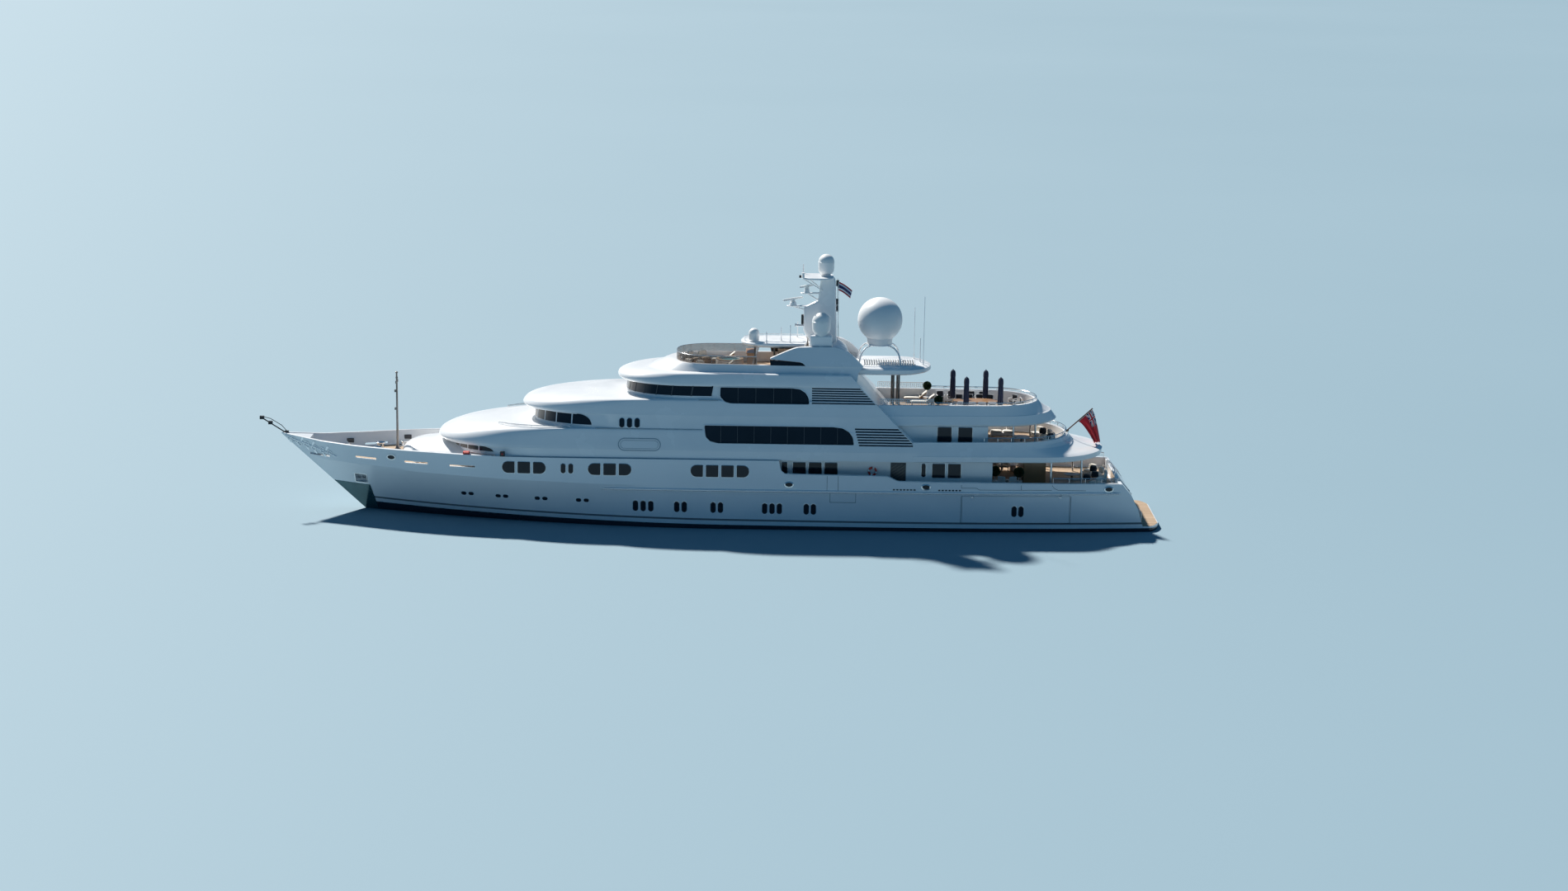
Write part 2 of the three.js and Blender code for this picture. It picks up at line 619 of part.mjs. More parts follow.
const BRIDGE_TRAY_LEVELS = named(["z", "half", "halfAft", "tail", "tailLen"], [
  [BRIDGE_SLAB_Z, 4.5, 4, 27.8, 4.8],
  [8.65, 4.56, 4.06, 28.1, 4.8],
  [9.1, 4.5, 3.98, 27.7, 4.6],
  [9.6, 4.3, 3.85, 27, 4.3],
  [10.12, 4.1, 3.7, 26.5, 4],
]);
const bridgeWell = { half: 3.85, halfAft: 3.45, tail: 26.2, tailLen: 3.9, ...flatNose(10) };
add("bridge_deck_aft", cut(
  stack(BRIDGE_TRAY_LEVELS.map((level) => ({ ...level, ...flatNose(rakeAt(level.z) + GAP * 2) }))),
  [stack([{ z: BRIDGE_DECK_Z, ...bridgeWell }, { z: 11, ...bridgeWell }])],
), white);

const UPPER_HOUSE = { fore: RAKE.x + GAP * 2, aft: 22.2, half: 4.1 };
add("upper_deck_house", box(
  UPPER_HOUSE.fore, UPPER_HOUSE.aft, -UPPER_HOUSE.half, UPPER_HOUSE.half,
  UPPER_DECK_Z + GAP, BRIDGE_SLAB_Z - GAP,
), white);

// Windows that wrap round the three rounded fronts

function levelAt(levels, z, offset) {
  const [a, b] = levels;
  const t = (z - a.z) / (b.z - a.z);
  const mix = (key) => a[key] + (b[key] - a[key]) * t;
  return {
    z, nose: mix("nose") - offset, noseLen: mix("noseLen") + offset, half: mix("half") + offset,
    halfAft: mix("halfAft") + offset, tail: rakeAt(z),
  };
}

// A pane round a nose, from the height z0 to z1 and back as far as the station aft.
function frontPane(levels, z0, z1, aft) {
  const ring = stack([z0, z1].map((z) => levelAt(levels, z, 0.06)));
  const core = stack(levels.map((level) => levelAt(levels, level.z, GAP)));
  return cut(ring, [core, box(aft, 40, -9, 9, z0 - 2, z1 + 2)]);
}
const FRONT_PANES = [
  ["forward_house_window", FORWARD_LEVELS.slice(0, 2), 6.02, 6.42, -18.2],
  ["middle_house_window", MIDDLE_LEVELS.slice(0, 2), 8.35, 9.2, -10.2],
  ["wheelhouse_window", WHEELHOUSE_LEVELS, 10.75, 11.58, -0.4],
];
// The lowest pane is cut round the trunk, a little clear of it.
const trunkCutter = stack(TRUNK_LEVELS.map(({ z, nose, noseLen, half }) => (
  { z: z + GAP * 2, nose: nose - 0.01, noseLen, half: half + 0.01, tail: -8 }
)));
for (const [name, levels, low, high, aft] of FRONT_PANES) {
  add(name, cut(frontPane(levels, low, high, aft), [trunkCutter]), glass);
}
for (const [name, plan] of Object.entries(WINDOWS)) {
  const pane = paneOf(plan);
  add(`${name}_window_port`, mirrored(pane), glass);
  add(`${name}_window_starboard`, pane, glass);
}

// Radar arch: two leaning wings and the base that carries the mast

const WING = [
  [7.4, 13], [6.9, 13.5], [4.15, 13.72], [5.64, 14.34], [6.45, 14.62], [7.6, 14.68], [9.6, 14.68],
  [10.3, 14.5], [11, 14.07], [11.95, 13.15], [11.9, 13],
];
const ARCH = { foot: 3.72, thick: 0.5, slope: 0.5 };
const ARCH_TOP_Z = 14.68;
const archWing = sidePlate(WING, ARCH.foot - ARCH.thick, ARCH.foot).warp((v) => {
  v[1] -= ARCH.slope * (v[2] - COAMING_Z);
});
const archBase = stack(named(["z", "nose", "noseLen", "half", "tail", "tailLen"], [
  [COAMING_Z + GAP, 7.4, 0.3, 3.4, 10.9, 0.3],
  [14.2, 7.4, 0.3, 2.95, 10.6, 0.3],
  [ARCH_TOP_Z, 7.35, 0.3, 2.75, 9.9, 0.3],
]));
const arch = cut(join([archBase, archWing, mirrored(archWing)]), [box(0, 20, -9, 9, 10, COAMING_Z + GAP)]);
add("radar_arch", arch, white);

// Radar platform forward of the mast, on two posts

const PLATFORM_TOP = 14.78;
add("radar_platform", join([
  stack(named(["z", "nose", "noseLen", "half", "tail", "tailLen"], [
    [14.42, 2.2, 2.6, 2, 7.25, 0.3],
    [14.6, 1.8, 2.8, 2.2, 7.3, 0.3],
    [PLATFORM_TOP, 1.9, 2.8, 2.2, 7.3, 0.3],
  ])),
  rod([2.7, -1.3, SUN_DECK_Z + GAP], [3.3, -1.3, 14.6], 0.1),
  rod([2.7, 1.3, SUN_DECK_Z + GAP], [3.3, 1.3, 14.6], 0.1),
].map((piece) => cut(piece, [box(0, 9, -9, 9, 10, SUN_DECK_Z + GAP)]))), white);

// Slatted hardtop aft of the arch, on two posts from the bridge deck

const HARDTOP_TOP = 12.98;
const HARDTOP_LEVELS = named(["z", "nose", "noseLen", "half", "tail", "tailLen"], [
  [12.45, 11.3, 0.3, 3, 17.2, 2.2],
  [12.62, 11.3, 0.3, 3.2, 17.6, 2.4],
  [12.88, 11.3, 0.3, 3.2, 17.5, 2.4],
  [HARDTOP_TOP, 11.3, 0.3, 3.05, 17.2, 2.3],
]);
const slats = range(11).map((i) => box(12.5 + i * 0.34, 12.7 + i * 0.34, -1.2, 1.2, 12, 14));
add("hardtop", cut(
  join([
    stack(HARDTOP_LEVELS),
    rod([14.5, -1.9, BRIDGE_DECK_Z + GAP], [14.5, -1.9, 12.6], 0.1),
    rod([14.5, 1.9, BRIDGE_DECK_Z + GAP], [14.5, 1.9, 12.6], 0.1),
  ]),
  slats,
), white);

// Mast, its scanner platforms and the spreader that carries the top dome

const SCANNERS = {
  lower: { x: 6.08, deck: 17.66, pedestal: 0.3, axle: 18.12, reach: 1.25, turn: 50 },
  upper: { x: 7.2, deck: 18.74, pedestal: 0.24, axle: 19.2, reach: 0.9, turn: 52 },
};
const SCANNER_PIN = 0.08;
const SCANNER_STALK = 0.4;
const SPREADER_TOP = 20.14;
const mastBlade = sidePlate([
  [7.4, ARCH_TOP_Z + GAP], [7.4, 14.9], [6.97, 15.6], [6.97, 17.5], [7.65, 17.89], [8.1, 18.1], [8.35, 19.9],
  [8.35, 20], [9.5, 20], [9.6, 19.6], [9.75, ARCH_TOP_Z + GAP],
], -0.5, 0.5).warp((v) => {
  v[1] *= 1 - 0.09 * Math.max(0, v[2] - ARCH_TOP_Z);
});
const mastPieces = [mastBlade, box(6.8, 9.3, -1.5, 1.5, 19.98, SPREADER_TOP)];
for (const { x, deck, pedestal } of Object.values(SCANNERS)) {
  mastPieces.push(box(x - 0.5, 8.6, -0.22, 0.22, deck - 0.1, deck));
  mastPieces.push(rod([x, 0, deck - 0.05], [x, 0, deck + 0.3], pedestal, 16));
}
const scannerBores = Object.values(SCANNERS).map(
  ({ x, axle }) => rod([x, 0, axle - SCANNER_STALK - GAP], [x, 0, axle + 1], boreFor(SCANNER_PIN), PIN_SIDES),
);
add("mast", cut(join(mastPieces), scannerBores), white);
for (const [name, { x, axle, reach, turn }] of Object.entries(SCANNERS)) {
  const bar = join([
    box(-reach, reach, -0.09, 0.09, 0, 0.16),
    rod([0, 0, -SCANNER_STALK], [0, 0, 0.05], SCANNER_PIN, PIN_SIDES),
  ]);
  add(`scanner_${name}`, bar.rotate([0, 0, turn]).translate([x, 0, axle]), white);
}

// Domes on their pedestals: profile rows are radius and height above the foot.

function dome(radius, stalk, height) {
  const body = range(7).map((i) => {
    const turn = (i / 6) * (Math.PI / 2);
    return [radius * Math.cos(turn), height - radius + radius * Math.sin(turn)];
  });
  body[6][0] = 0;
  return [
    [0, 0], [radius * 0.45, 0], [radius * 0.35, stalk * 0.9], [radius * 0.8, stalk],
    [radius * 0.97, stalk + 0.25],
    ...body,
  ];
}
const DOMES = [
  ["top_dome", 8.78, 0, SPREADER_TOP, 0.65, 0.24, 1.81],
  ["mast_dome_port", 8.42, -2.2, ARCH_TOP_Z, 0.73, 1.1, 2.71],
  ["mast_dome_starboard", 8.42, 2.2, ARCH_TOP_Z, 0.73, 1.1, 2.71],
  ["small_dome", 2.9, -1, PLATFORM_TOP, 0.45, 0.1, 1.14],
];
// The mast domes stand on square plinths.
const PLINTH = { fore: 0.92, side: 0.5, height: 0.9 };
for (const [name, x, y, z, radius, stalk, height] of DOMES) {
  const shell = turned(dome(radius, stalk, height), x, y, z + GAP);
  const plinth = box(
    x - PLINTH.fore, x + PLINTH.fore, y - PLINTH.side, y + PLINTH.side, z + GAP, z + PLINTH.height,
  );
  add(name, name.startsWith("mast_dome") ? join([shell, plinth]) : shell, white);
}

// Large radome on a four-legged stand

const RADOME = { x: 13.3, base: 14.58, radius: 1.83, height: 3.82 };
add("radome", turned([
  [0, 0], [0.9, 0], [1.25, 0.15], [1.6, 0.75],
  ...range(12).map((i) => {
    const turn = (i / 11) * (Math.PI * 0.65) - Math.PI * 0.15;
    return [RADOME.radius * Math.cos(turn), RADOME.height - RADOME.radius + RADOME.radius * Math.sin(turn)];
  }).map(([r, h], i) => (i === 11 ? [0, h] : [r, h])),
], RADOME.x, 0, RADOME.base, 24), white);
const legs = [];
for (const along of [-1.7, 1.7]) {
  for (const side of [-1.5, 1.5]) {
    legs.push(tube([
      [RADOME.x + along, side, HARDTOP_TOP - 0.2], [RADOME.x + along * 0.9, side * 0.95, 13.7],
      [RADOME.x + along * 0.3, side * 0.4, 14.4],
    ], 0.13, 6));
  }
}
const standTop = rod([RADOME.x, 0, 14.2], [RADOME.x, 0, RADOME.base - GAP], 0.95, 24);
add("radome_stand", cut(join([standTop, ...legs]), [box(8, 20, -9, 9, 10, HARDTOP_TOP + GAP), arch]), white);

// Sun deck: windscreen and a round tub

const screenLevel = { nose: -3.5, noseLen: 3.8, half: 3.15, tail: 4 };
const screenCore = { nose: -3.44, noseLen: 3.74, half: 3.09, tail: 5 };
add("windscreen", cut(
  stack([{ z: COAMING_Z + GAP, ...screenLevel }, { z: 13.85, ...screenLevel }]),
  [stack([{ z: 12, ...screenCore }, { z: 15, ...screenCore }]), box(3.2, 9, -9, 9, 12, 15)],
), glass);
add("sun_deck_tub", turned([
  [0, 0], [1.05, 0], [1.15, 0.1], [1.15, 0.75], [0.85, 0.75], [0.8, 0.25], [0, 0.25],
], 0.9, 0, SUN_DECK_Z + GAP, 20), white);

// Furled umbrellas on the bridge deck

const UMBRELLA = [
  [0, 0], [0.35, 0], [0.35, 0.08], [0.04, 0.12], [0.04, 0.64], [0.2, 0.66], [0.24, 0.8], [0.24, 2.1],
  [0.2, 2.85], [0.04, 3], [0.03, 3.1], [0, 3.1],
];
const UMBRELLAS = [
  ["umbrella_1", 20.48, -1.7], ["umbrella_2", 23.3, -1.7],
  ["umbrella_3", 19.55, 1.7], ["umbrella_4", 22.3, 1.7],
];
for (const [name, x, y] of UMBRELLAS) add(name, turned(UMBRELLA, x, y, BRIDGE_DECK_Z + GAP, 12), navy);

add("dining_table", join([
  turned([[0, 0.7], [0.95, 0.7], [0.95, 0.76], [0, 0.76]], 0, 0, 0, 24).scale([2, 1, 1]),
  rod([-0.9, 0, 0], [-0.9, 0, 0.72], 0.12, 12),
  rod([0.9, 0, 0], [0.9, 0, 0.72], 0.12, 12),
]).translate([21.4, 0, BRIDGE_DECK_Z + GAP]), teak);

// Sofas on the aft decks: a seat and a back round the stern

function sofa(x, y, z, length, depth) {
  return join([
    box(x - depth, x, y - length, y + length, z, z + 0.42),
    box(x - 0.25, x, y - length, y + length, z, z + 0.85),
  ]);
}
add("main_deck_sofa", sofa(32.4, 0, MAIN_DECK_Z + GAP, 2.5, 1.1), cream);
add("upper_deck_sofa", sofa(27.9, 0, UPPER_DECK_Z + GAP, 1.8, 1.1), cream);

// Fore end: mast, pole, windlasses and anchors

const FOREMAST_X = -26.75;
add("foremast", join([
  rod([FOREMAST_X, 0, FOREDECK_Z + GAP], [FOREMAST_X, 0, 11.66], 0.09, 12),
  rod([FOREMAST_X, -0.5, 10.9], [FOREMAST_X, 0.5, 10.9], 0.05),
  rod([FOREMAST_X, 0, FOREDECK_Z + GAP], [FOREMAST_X, 0, 5.1], 0.3, 16),
]), white);
add("bow_pole", onHull(join([
  rod([-35.95, 0, 6.3], [-38.23, 0, 7.75], 0.05, 10),
  box(-36.1, -35.85, -0.08, 0.08, 6.25, 6.45),
])), white);
const WINDLASS_X = -28.3;
const WINDLASS = [
  [0, 0], [0.42, 0], [0.42, 0.12], [0.24, 0.16], [0.22, 0.5], [0.36, 0.6], [0.36, 0.72], [0, 0.75],
];
const ANCHOR = [
  [-0.36, 3.16], [-0.36, 2.98], [-0.08, 2.98], [-0.08, 2.82], [-0.4, 2.9], [-0.4, 2.68], [0, 2.6],
  [0.4, 2.68], [0.4, 2.9], [0.08, 2.82], [0.08, 2.98], [0.36, 2.98], [0.36, 3.16],
];
for (const [side, name] of [[-1, "port"], [1, "starboard"]]) {
  add(`windlass_${name}`, turned(WINDLASS, WINDLASS_X, side * 0.95, FOREDECK_Z + GAP, 20), steel);
  const anchor = sidePlate(ANCHOR.map(([x, z]) => [x - 29.6, z]), 1 + GAP, 1.2);
  add(`anchor_${name}`, side > 0 ? anchor : mirrored(anchor), steel);
}

// Ensign staff with its flag

const STAFF = { foot: [29.02, 7.4], top: [31.14, 9.34], radius: 0.04 };
const staffRise = Math.atan2(STAFF.top[1] - STAFF.foot[1], STAFF.top[0] - STAFF.foot[0]);
// A point of the flag's hoist, that far below the staff's head, on its lower side
function hoistAt(below) {
  const out = STAFF.radius + GAP;
  return [
    STAFF.top[0] - below * Math.cos(staffRise) + out * Math.sin(staffRise),
    STAFF.top[1] - below * Math.sin(staffRise) - out * Math.cos(staffRise),
  ];
}
add("ensign_staff", join([
  rod([STAFF.foot[0], 0, STAFF.foot[1]], [STAFF.top[0], 0, STAFF.top[1]], STAFF.radius, 16),
  box(28.87, 29.07, -0.1, 0.1, 7.36 + GAP, 7.46),
]), teak);
add("ensign", sidePlate([
  hoistAt(0.15), hoistAt(1.5), [30.3, 7.7], [30.8, 7], [31.3, 6.5], [31.75, 6.35], [31.6, 7.6], [31.35, 8.6],
], -0.01, 0.01), scarlet);

// Below the waterline

const bladeAngles = range(5).map((i) => i * 72);
const bladeSections = [[0.18, 0.34, 62], [0.45, 0.42, 48], [0.8, 0.46, 34], [1.1, 0.2, 26]];
function blade(hand) {
  const rings = bladeSections.map(([r, chord, pitch]) => {
    const turn = (pitch * hand * Math.PI) / 180;
    const section = [[-1, 0], [-0.5, 0.035], [0.5, 0.035], [1, 0], [0.5, -0.02], [-0.5, -0.02]];
    return section.map(([c, t]) => {
      const along = c * chord * Math.sin(turn) + t * Math.cos(turn);
      const across = c * chord * Math.cos(turn) - t * Math.sin(turn);
      return new THREE.Vector3(along, across, r);
    });
  });
  return skin(rings, onPlan);
}
const PROPELLER_X = 31;
for (const [side, name] of [[-1, "port"], [1, "starboard"]]) {
  const hub = rod([-0.32, 0, 0], [0.3, 0, 0], 0.26, 20);
  const cap = turned([[0, 0], [0.26, 0], [0.15, 0.28], [0, 0.36]], 0, 0, 0, 20);
  const cone = cap.rotate([0, 90, 0]).translate([0.28, 0, 0]);
  const blades = bladeAngles.map((angle) => blade(side).rotate([angle, 0, 0]));
  const tailShaft = rod([-SHAFT.reach, 0, 0], [-0.2, 0, 0], SHAFT.tail, PIN_SIDES);
  add(
    `propeller_${name}`,
    join([hub, cone, tailShaft, ...blades]).translate([PROPELLER_X, side * SHAFT.y, SHAFT.z]),
    bronze,
  );

  const shaftY = side * SHAFT.y;
  const hubFace = PROPELLER_X - 0.34;
  const line = [
    rod([23, shaftY, SHAFT.z], [hubFace, shaftY, SHAFT.z], 0.14, 16),
    rod([29.9, shaftY, SHAFT.z], [hubFace, shaftY, SHAFT.z], 0.24, 16),
    box(23, 26, shaftY - 0.12, shaftY + 0.12, SHAFT.z, -1.8),
  ];
  for (const lean of [-0.9, 0.9]) {
    line.push(rod([30.2, shaftY, SHAFT.z], [30.1, shaftY + lean, -0.8], 0.09, 8));
  }
  const boreEnd = PROPELLER_X - SHAFT.reach - GAP;
  const tailBore = rod([boreEnd, shaftY, SHAFT.z], [32, shaftY, SHAFT.z], boreFor(SHAFT.tail), PIN_SIDES);
  add(`shaft_${name}`, cut(underHull(join(line)), [tailBore]), steel);

  const rudderY = side * RUDDER.y;
  const leaf = skin([RUDDER.top, -3.75].map((z, i) => [
    [-0.75, 0], [-0.5, 0.13], [0, 0.15], [1.25 - i * 0.2, 0.02], [1.25 - i * 0.2, -0.02],
    [0, -0.15], [-0.5, -0.13],
  ].map(([x, y]) => new THREE.Vector3(RUDDER.x + x, rudderY + y, z))), onPlan);
  const stock = rod(
    [RUDDER.x, rudderY, RUDDER.top - 0.3], [RUDDER.x, rudderY, RUDDER.deep], RUDDER.stock, PIN_SIDES,
  );
  add(`rudder_${name}`, join([stock, leaf]), paint);

  const fin = skin([0, FIN.span].map((out, i) => [
    [-0.9 + i * 0.25, 0], [-0.4, 0.11], [0.9 - i * 0.15, 0], [-0.4, -0.11],
  ].map(([x, y]) => new THREE.Vector3(x, y, out))), onPlan);
  const stub = rod([0, 0, -FIN.stub], [0, 0, 0.05], FIN.stock, PIN_SIDES);
  const placed = join([fin, stub]).rotate([FIN.tilt, 0, 0]).translate(FIN.root);
  add(`stabiliser_${name}`, side > 0 ? placed : mirrored(placed), paint);
}

yacht.scale.setScalar(MODEL_SCALE * MM_PER_METRE);
export default yacht;
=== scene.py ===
from math import acos, atan2, ceil, copysign, cos, degrees, dist, hypot, pi, radians, sin, sqrt

import bmesh
import bpy
from mathutils import Matrix, Vector


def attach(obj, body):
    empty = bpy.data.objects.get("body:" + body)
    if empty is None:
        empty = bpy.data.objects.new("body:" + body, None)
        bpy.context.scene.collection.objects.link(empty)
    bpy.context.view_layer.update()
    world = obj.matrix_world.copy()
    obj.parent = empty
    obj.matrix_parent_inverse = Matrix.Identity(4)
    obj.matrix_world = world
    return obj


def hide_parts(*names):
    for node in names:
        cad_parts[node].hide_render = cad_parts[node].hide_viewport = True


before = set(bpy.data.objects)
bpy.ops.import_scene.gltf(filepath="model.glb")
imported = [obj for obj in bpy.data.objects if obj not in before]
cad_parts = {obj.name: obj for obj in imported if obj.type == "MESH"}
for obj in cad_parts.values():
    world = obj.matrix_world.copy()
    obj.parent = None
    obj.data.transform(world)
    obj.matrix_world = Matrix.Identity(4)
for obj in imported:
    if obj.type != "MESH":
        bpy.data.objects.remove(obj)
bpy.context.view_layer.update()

# The view, the floor and the light. The camera stands off the port side and looks a little down on the decks.
# The sun is high behind the yacht, so the tops are bright and the near side lies in cool open shade.
# The part is a model at half size, and every table below is in metres of the real yacht.
MODEL = 0.5
VIEW = {"x": 5.5, "y": -228.36, "z": 53.52, "pitch": 11.8, "roll": 0.8, "lens": 64.18}
SUN = {"azimuth": 126, "height": 44, "energy": 7, "spread": 3, "colour": (1, 0.965, 0.9)}
SKY = {"Color": (0.15, 0.52, 1, 1), "Strength": 0.23}
FLOOR_REACH = 3000


def placed(name, data):
    made = bpy.data.objects.new(name, data)
    bpy.context.collection.objects.link(made)
    return made


eye = bpy.data.cameras.new("view")
eye.lens = VIEW["lens"]
eye.sensor_width = 36
eye.clip_end = 5000
camera = placed("view", eye)
down = Matrix.Rotation(radians(90 - VIEW["pitch"]), 4, "X")
lean = Matrix.Rotation(radians(VIEW["roll"]), 4, "Z")
camera.matrix_world = Matrix.Translation(Vector((VIEW["x"], VIEW["y"], VIEW["z"])) * MODEL) @ down @ lean
bpy.context.scene.camera = camera

sunlight = bpy.data.lights.new("sun", "SUN")
sunlight.energy = SUN["energy"]
sunlight.color = SUN["colour"]
sunlight.angle = radians(SUN["spread"])
sun = placed("sun", sunlight)
sun.rotation_euler = (radians(90 - SUN["height"]), 0, radians(SUN["azimuth"] + 90))

bpy.context.scene.view_settings.view_transform = "Standard"
world = bpy.data.worlds.new("sky")
bpy.context.scene.world = world
world.use_nodes = True
for label, value in SKY.items():
    world.node_tree.nodes["Background"].inputs[label].default_value = value


def feed(node, given):
    """Gives inputs of a node a value each, an output, or a node whose first output they take."""
    for label, values in given.items():
        for value in values if isinstance(values, list) else [values]:
            if isinstance(value, bpy.types.Node):
                value = next(socket for socket in value.outputs if socket.enabled)
            if isinstance(value, bpy.types.NodeSocket):
                node.id_data.links.new(value, node.inputs[label])
            else:
                node.inputs[label].default_value = value
    return node


def add_node(tree, kind, given={}, **settings):
    node = tree.nodes.new(kind)
    for label, value in settings.items():
        setattr(node, label, value)
    return feed(node, given)


def surface(name, shades, grain, rough, bump=0, metallic=0, coat=0, sheen=0, stretch=(1, 1, 1)):
    """A finish whose colour and gloss drift between two shades; grain is the drift's scale in 1/m."""
    finish = bpy.data.materials.new(name)
    finish.use_nodes = True
    tree = finish.node_tree
    place = add_node(tree, "ShaderNodeTexCoord")
    mapping = add_node(tree, "ShaderNodeMapping", {"Scale": stretch, "Vector": place.outputs["Object"]})
    noise = add_node(tree, "ShaderNodeTexNoise", {"Scale": grain, "Detail": 6, "Vector": mapping})
    ramp = add_node(tree, "ShaderNodeValToRGB", {"Fac": noise})
    for stop, position, shade in zip(ramp.color_ramp.elements, (0.3, 0.7), shades):
        stop.position = position
        stop.color = (*shade, 1)
    gloss = add_node(tree, "ShaderNodeMapRange", {"To Min": rough[0], "To Max": rough[1], "Value": noise})
    shader = feed(tree.nodes["Principled BSDF"],
                  {"Base Color": ramp, "Roughness": gloss, "Metallic": metallic, "Coat Weight": coat,
                   "Sheen Weight": sheen})
    if bump:
        feed(shader, {"Normal": add_node(tree, "ShaderNodeBump",
                                         {"Strength": bump, "Distance": 0.01, "Height": noise})})
    return finish


floor_finish = surface("pale floor", ((0.20, 0.30, 0.36), (0.215, 0.315, 0.375)), 0.01, (0.7, 0.8))
floor_mesh = bpy.data.meshes.new("floor")
corners = [(x * FLOOR_REACH, y * FLOOR_REACH, 0) for x, y in ((-1, -1), (1, -1), (1, 1), (-1, 1))]
floor_mesh.from_pydata(corners, [], [(0, 1, 2, 3)])
floor_mesh.materials.append(floor_finish)
placed("floor", floor_mesh)

# The hull. Welded steel plate, faired and sprayed with white enamel down to a black boot-top with a thin
# navy line. The foredeck and the side decks are sunk inside a bulwark, the transom slopes down to the swim
# platform with a flight of steps on each side, and the tender garage runs through from side to side.
# Columns: x of the stem, length to full beam, power of the curve, half-beam
WATER_LINE = (-29.5, 30, 1.8, 5.9)
KNUCKLE_LINE = (-34.35, 27.4, 2.9, 6.2)
SHEER_LINE = (-36.5, 25, 2.4, 6.03)
STEM_X = -29.5
STEM_SLOPE = 6.35 / 7
STEM_TOP = 6.35
# Columns: x, height of the knuckle
KNUCKLE = [(-34, 4.4), (-28, 4.26), (-20, 4), (-9.6, 3.7), (10, 3.4), (36.5, 3.4)]
# Columns: x, height of the side
SIDE_TOP = [(-36.5, 6.35), (-33, 5.98), (-30, 5.88), (-24, 5.84), (-18.6, 5.78), (5.12, 5.78), (5.2, 5.3),
            (5.34, 4.95), (5.6, 4.74), (6, 4.68), (13.9, 4.6), (14.1, 4.55), (14.7, 4.25), (14.9, 4.2),
            (33.2, 4.05), (34, 3.1), (34.6, 1.9), (34.9, 0.9), (35.05, 0.45), (36.5, 0.45)]
# Columns: x, depth of the bottom
BOTTOM = [(-29.5, 0), (-27.2, -3.9), (12, -3.9), (16, -3.62), (20, -3.1), (24, -2.5), (28, -1.85), (32, -1.2),
          (35, -0.75), (36.5, -0.45)]
# Columns: x, fullness of the section under water
FULLNESS = [(-29.5, 1.3), (-20, 1.9), (-8, 3.4), (0, 4.2), (12, 4), (24, 3), (36.5, 2.6)]
FOREDECK_Z = 4.75
MAIN_DECK_Z = 3.2
BULWARK = 0.22
LOW_POINTS = 14
SIDE_POINTS = 8


def part_way(value):
    return min(1, max(0, value))


def between(rows, x):
    """The second column of the rows at x, on straight lines."""
    if x <= rows[0][0]:
        return rows[0][1]
    for (x0, v0), (x1, v1) in zip(rows, rows[1:]):
        if x <= x1:
            return v0 + (v1 - v0) * (x - x0) / (x1 - x0)
    return rows[-1][1]


def line_at(line, x):
    stem, length, power, beam = line
    return beam * (1 - (1 - part_way((x - stem) / length)) ** power)


def half_at(x, z):
    """Half-breadth of the hull at a station and a height."""
    low = max(0, (STEM_X - x) * STEM_SLOPE)
    knee = max(low, between(KNUCKLE, x))
    at_knee = line_at(KNUCKLE_LINE, x)
    if z >= knee:
        up = (z - knee) / max(0.05, STEM_TOP - knee)
        half = at_knee + (line_at(SHEER_LINE, x) - at_knee) * (0.85 * up + 0.15 * up * up)
    else:
        rise = part_way((z - low) / max(0.01, knee - low))
        at_water = line_at(WATER_LINE, x)
        half = at_water + (at_knee - at_water) * (0.8 * rise + 0.2 * rise * rise)
    run = 1 - 0.2 * part_way((x - 14) / 22.5) ** 2.2
    corner = sqrt(1 - part_way((x - 35.6) / 1.25) ** 2)
    return half * run * corner


def hull_section(x):
    """A ring round the hull at x: down the port side, over the keel line and up the starboard side."""
    bottom = between(BOTTOM, x) if x >= STEM_X else (STEM_X - x) * STEM_SLOPE
    top = between(SIDE_TOP, x)
    full = between(FULLNESS, x)
    side = []
    for i in range(LOW_POINTS + 1):
        turn = i / LOW_POINTS * pi / 2
        if bottom < 0:
            z = bottom * max(0, cos(turn)) ** (2 / full)
            side.append((half_at(x, 0) * sin(turn) ** (2 / full), z))
        else:
            z = bottom + 0.2 * (top - bottom) * i / LOW_POINTS
            side.append((half_at(x, z), z))
    start = side[-1][1]
    knee = min(max(between(KNUCKLE, x), start + 0.1 * (top - start)), start + 0.7 * (top - start))
    for z0, z1 in ((start, knee), (knee, top)):
        for i in range(1, SIDE_POINTS + 1):
            z = z0 + (z1 - z0) * i / SIDE_POINTS
            side.append((half_at(x, z), z))
    side[0] = (0, side[0][1])
    return [(x, -y, z) for y, z in side[:0:-1]] + [(x, y, z) for y, z in side]


def skin(rings, ends=True):
    """Quads over rings of equal length, with a face on each end."""
    count = len(rings[0])
    points = [point for ring in rings for point in ring]
    faces = []
    for r in range(len(rings) - 1):
        for i in range(count):
            a, b = r * count + i, r * count + (i + 1) % count
            faces.append((a, b, b + count, a + count))
    if ends:
        faces.append(tuple(range(count)))
        faces.append(tuple(range(len(points) - count, len(points))))
    return points, faces


def together(*shapes):
    points, faces = [], []
    for more, sides in shapes:
        faces += [tuple(i + len(points) for i in side) for side in sides]
        points += more
    return points, faces


def mirrored(shape):
    return [(x, -y, z) for x, y, z in shape[0]], shape[1]


def both(*shapes):
    """The shapes and their mirror images on the other side of the yacht."""
    return together(*shapes, *map(mirrored, shapes))


def moved(shape, dx, dy, dz):
    return [(x + dx, y + dy, z + dz) for x, y, z in shape[0]], shape[1]


def box(x0, x1, y0, y1, z0, z1):
    return skin([[(x0, y0, z), (x1, y0, z), (x1, y1, z), (x0, y1, z)] for z in (z0, z1)])


def circle(sides):
    """Cosine and sine at even steps round a circle."""
    return [(cos(2 * pi * k / sides), sin(2 * pi * k / sides)) for k in range(sides)]


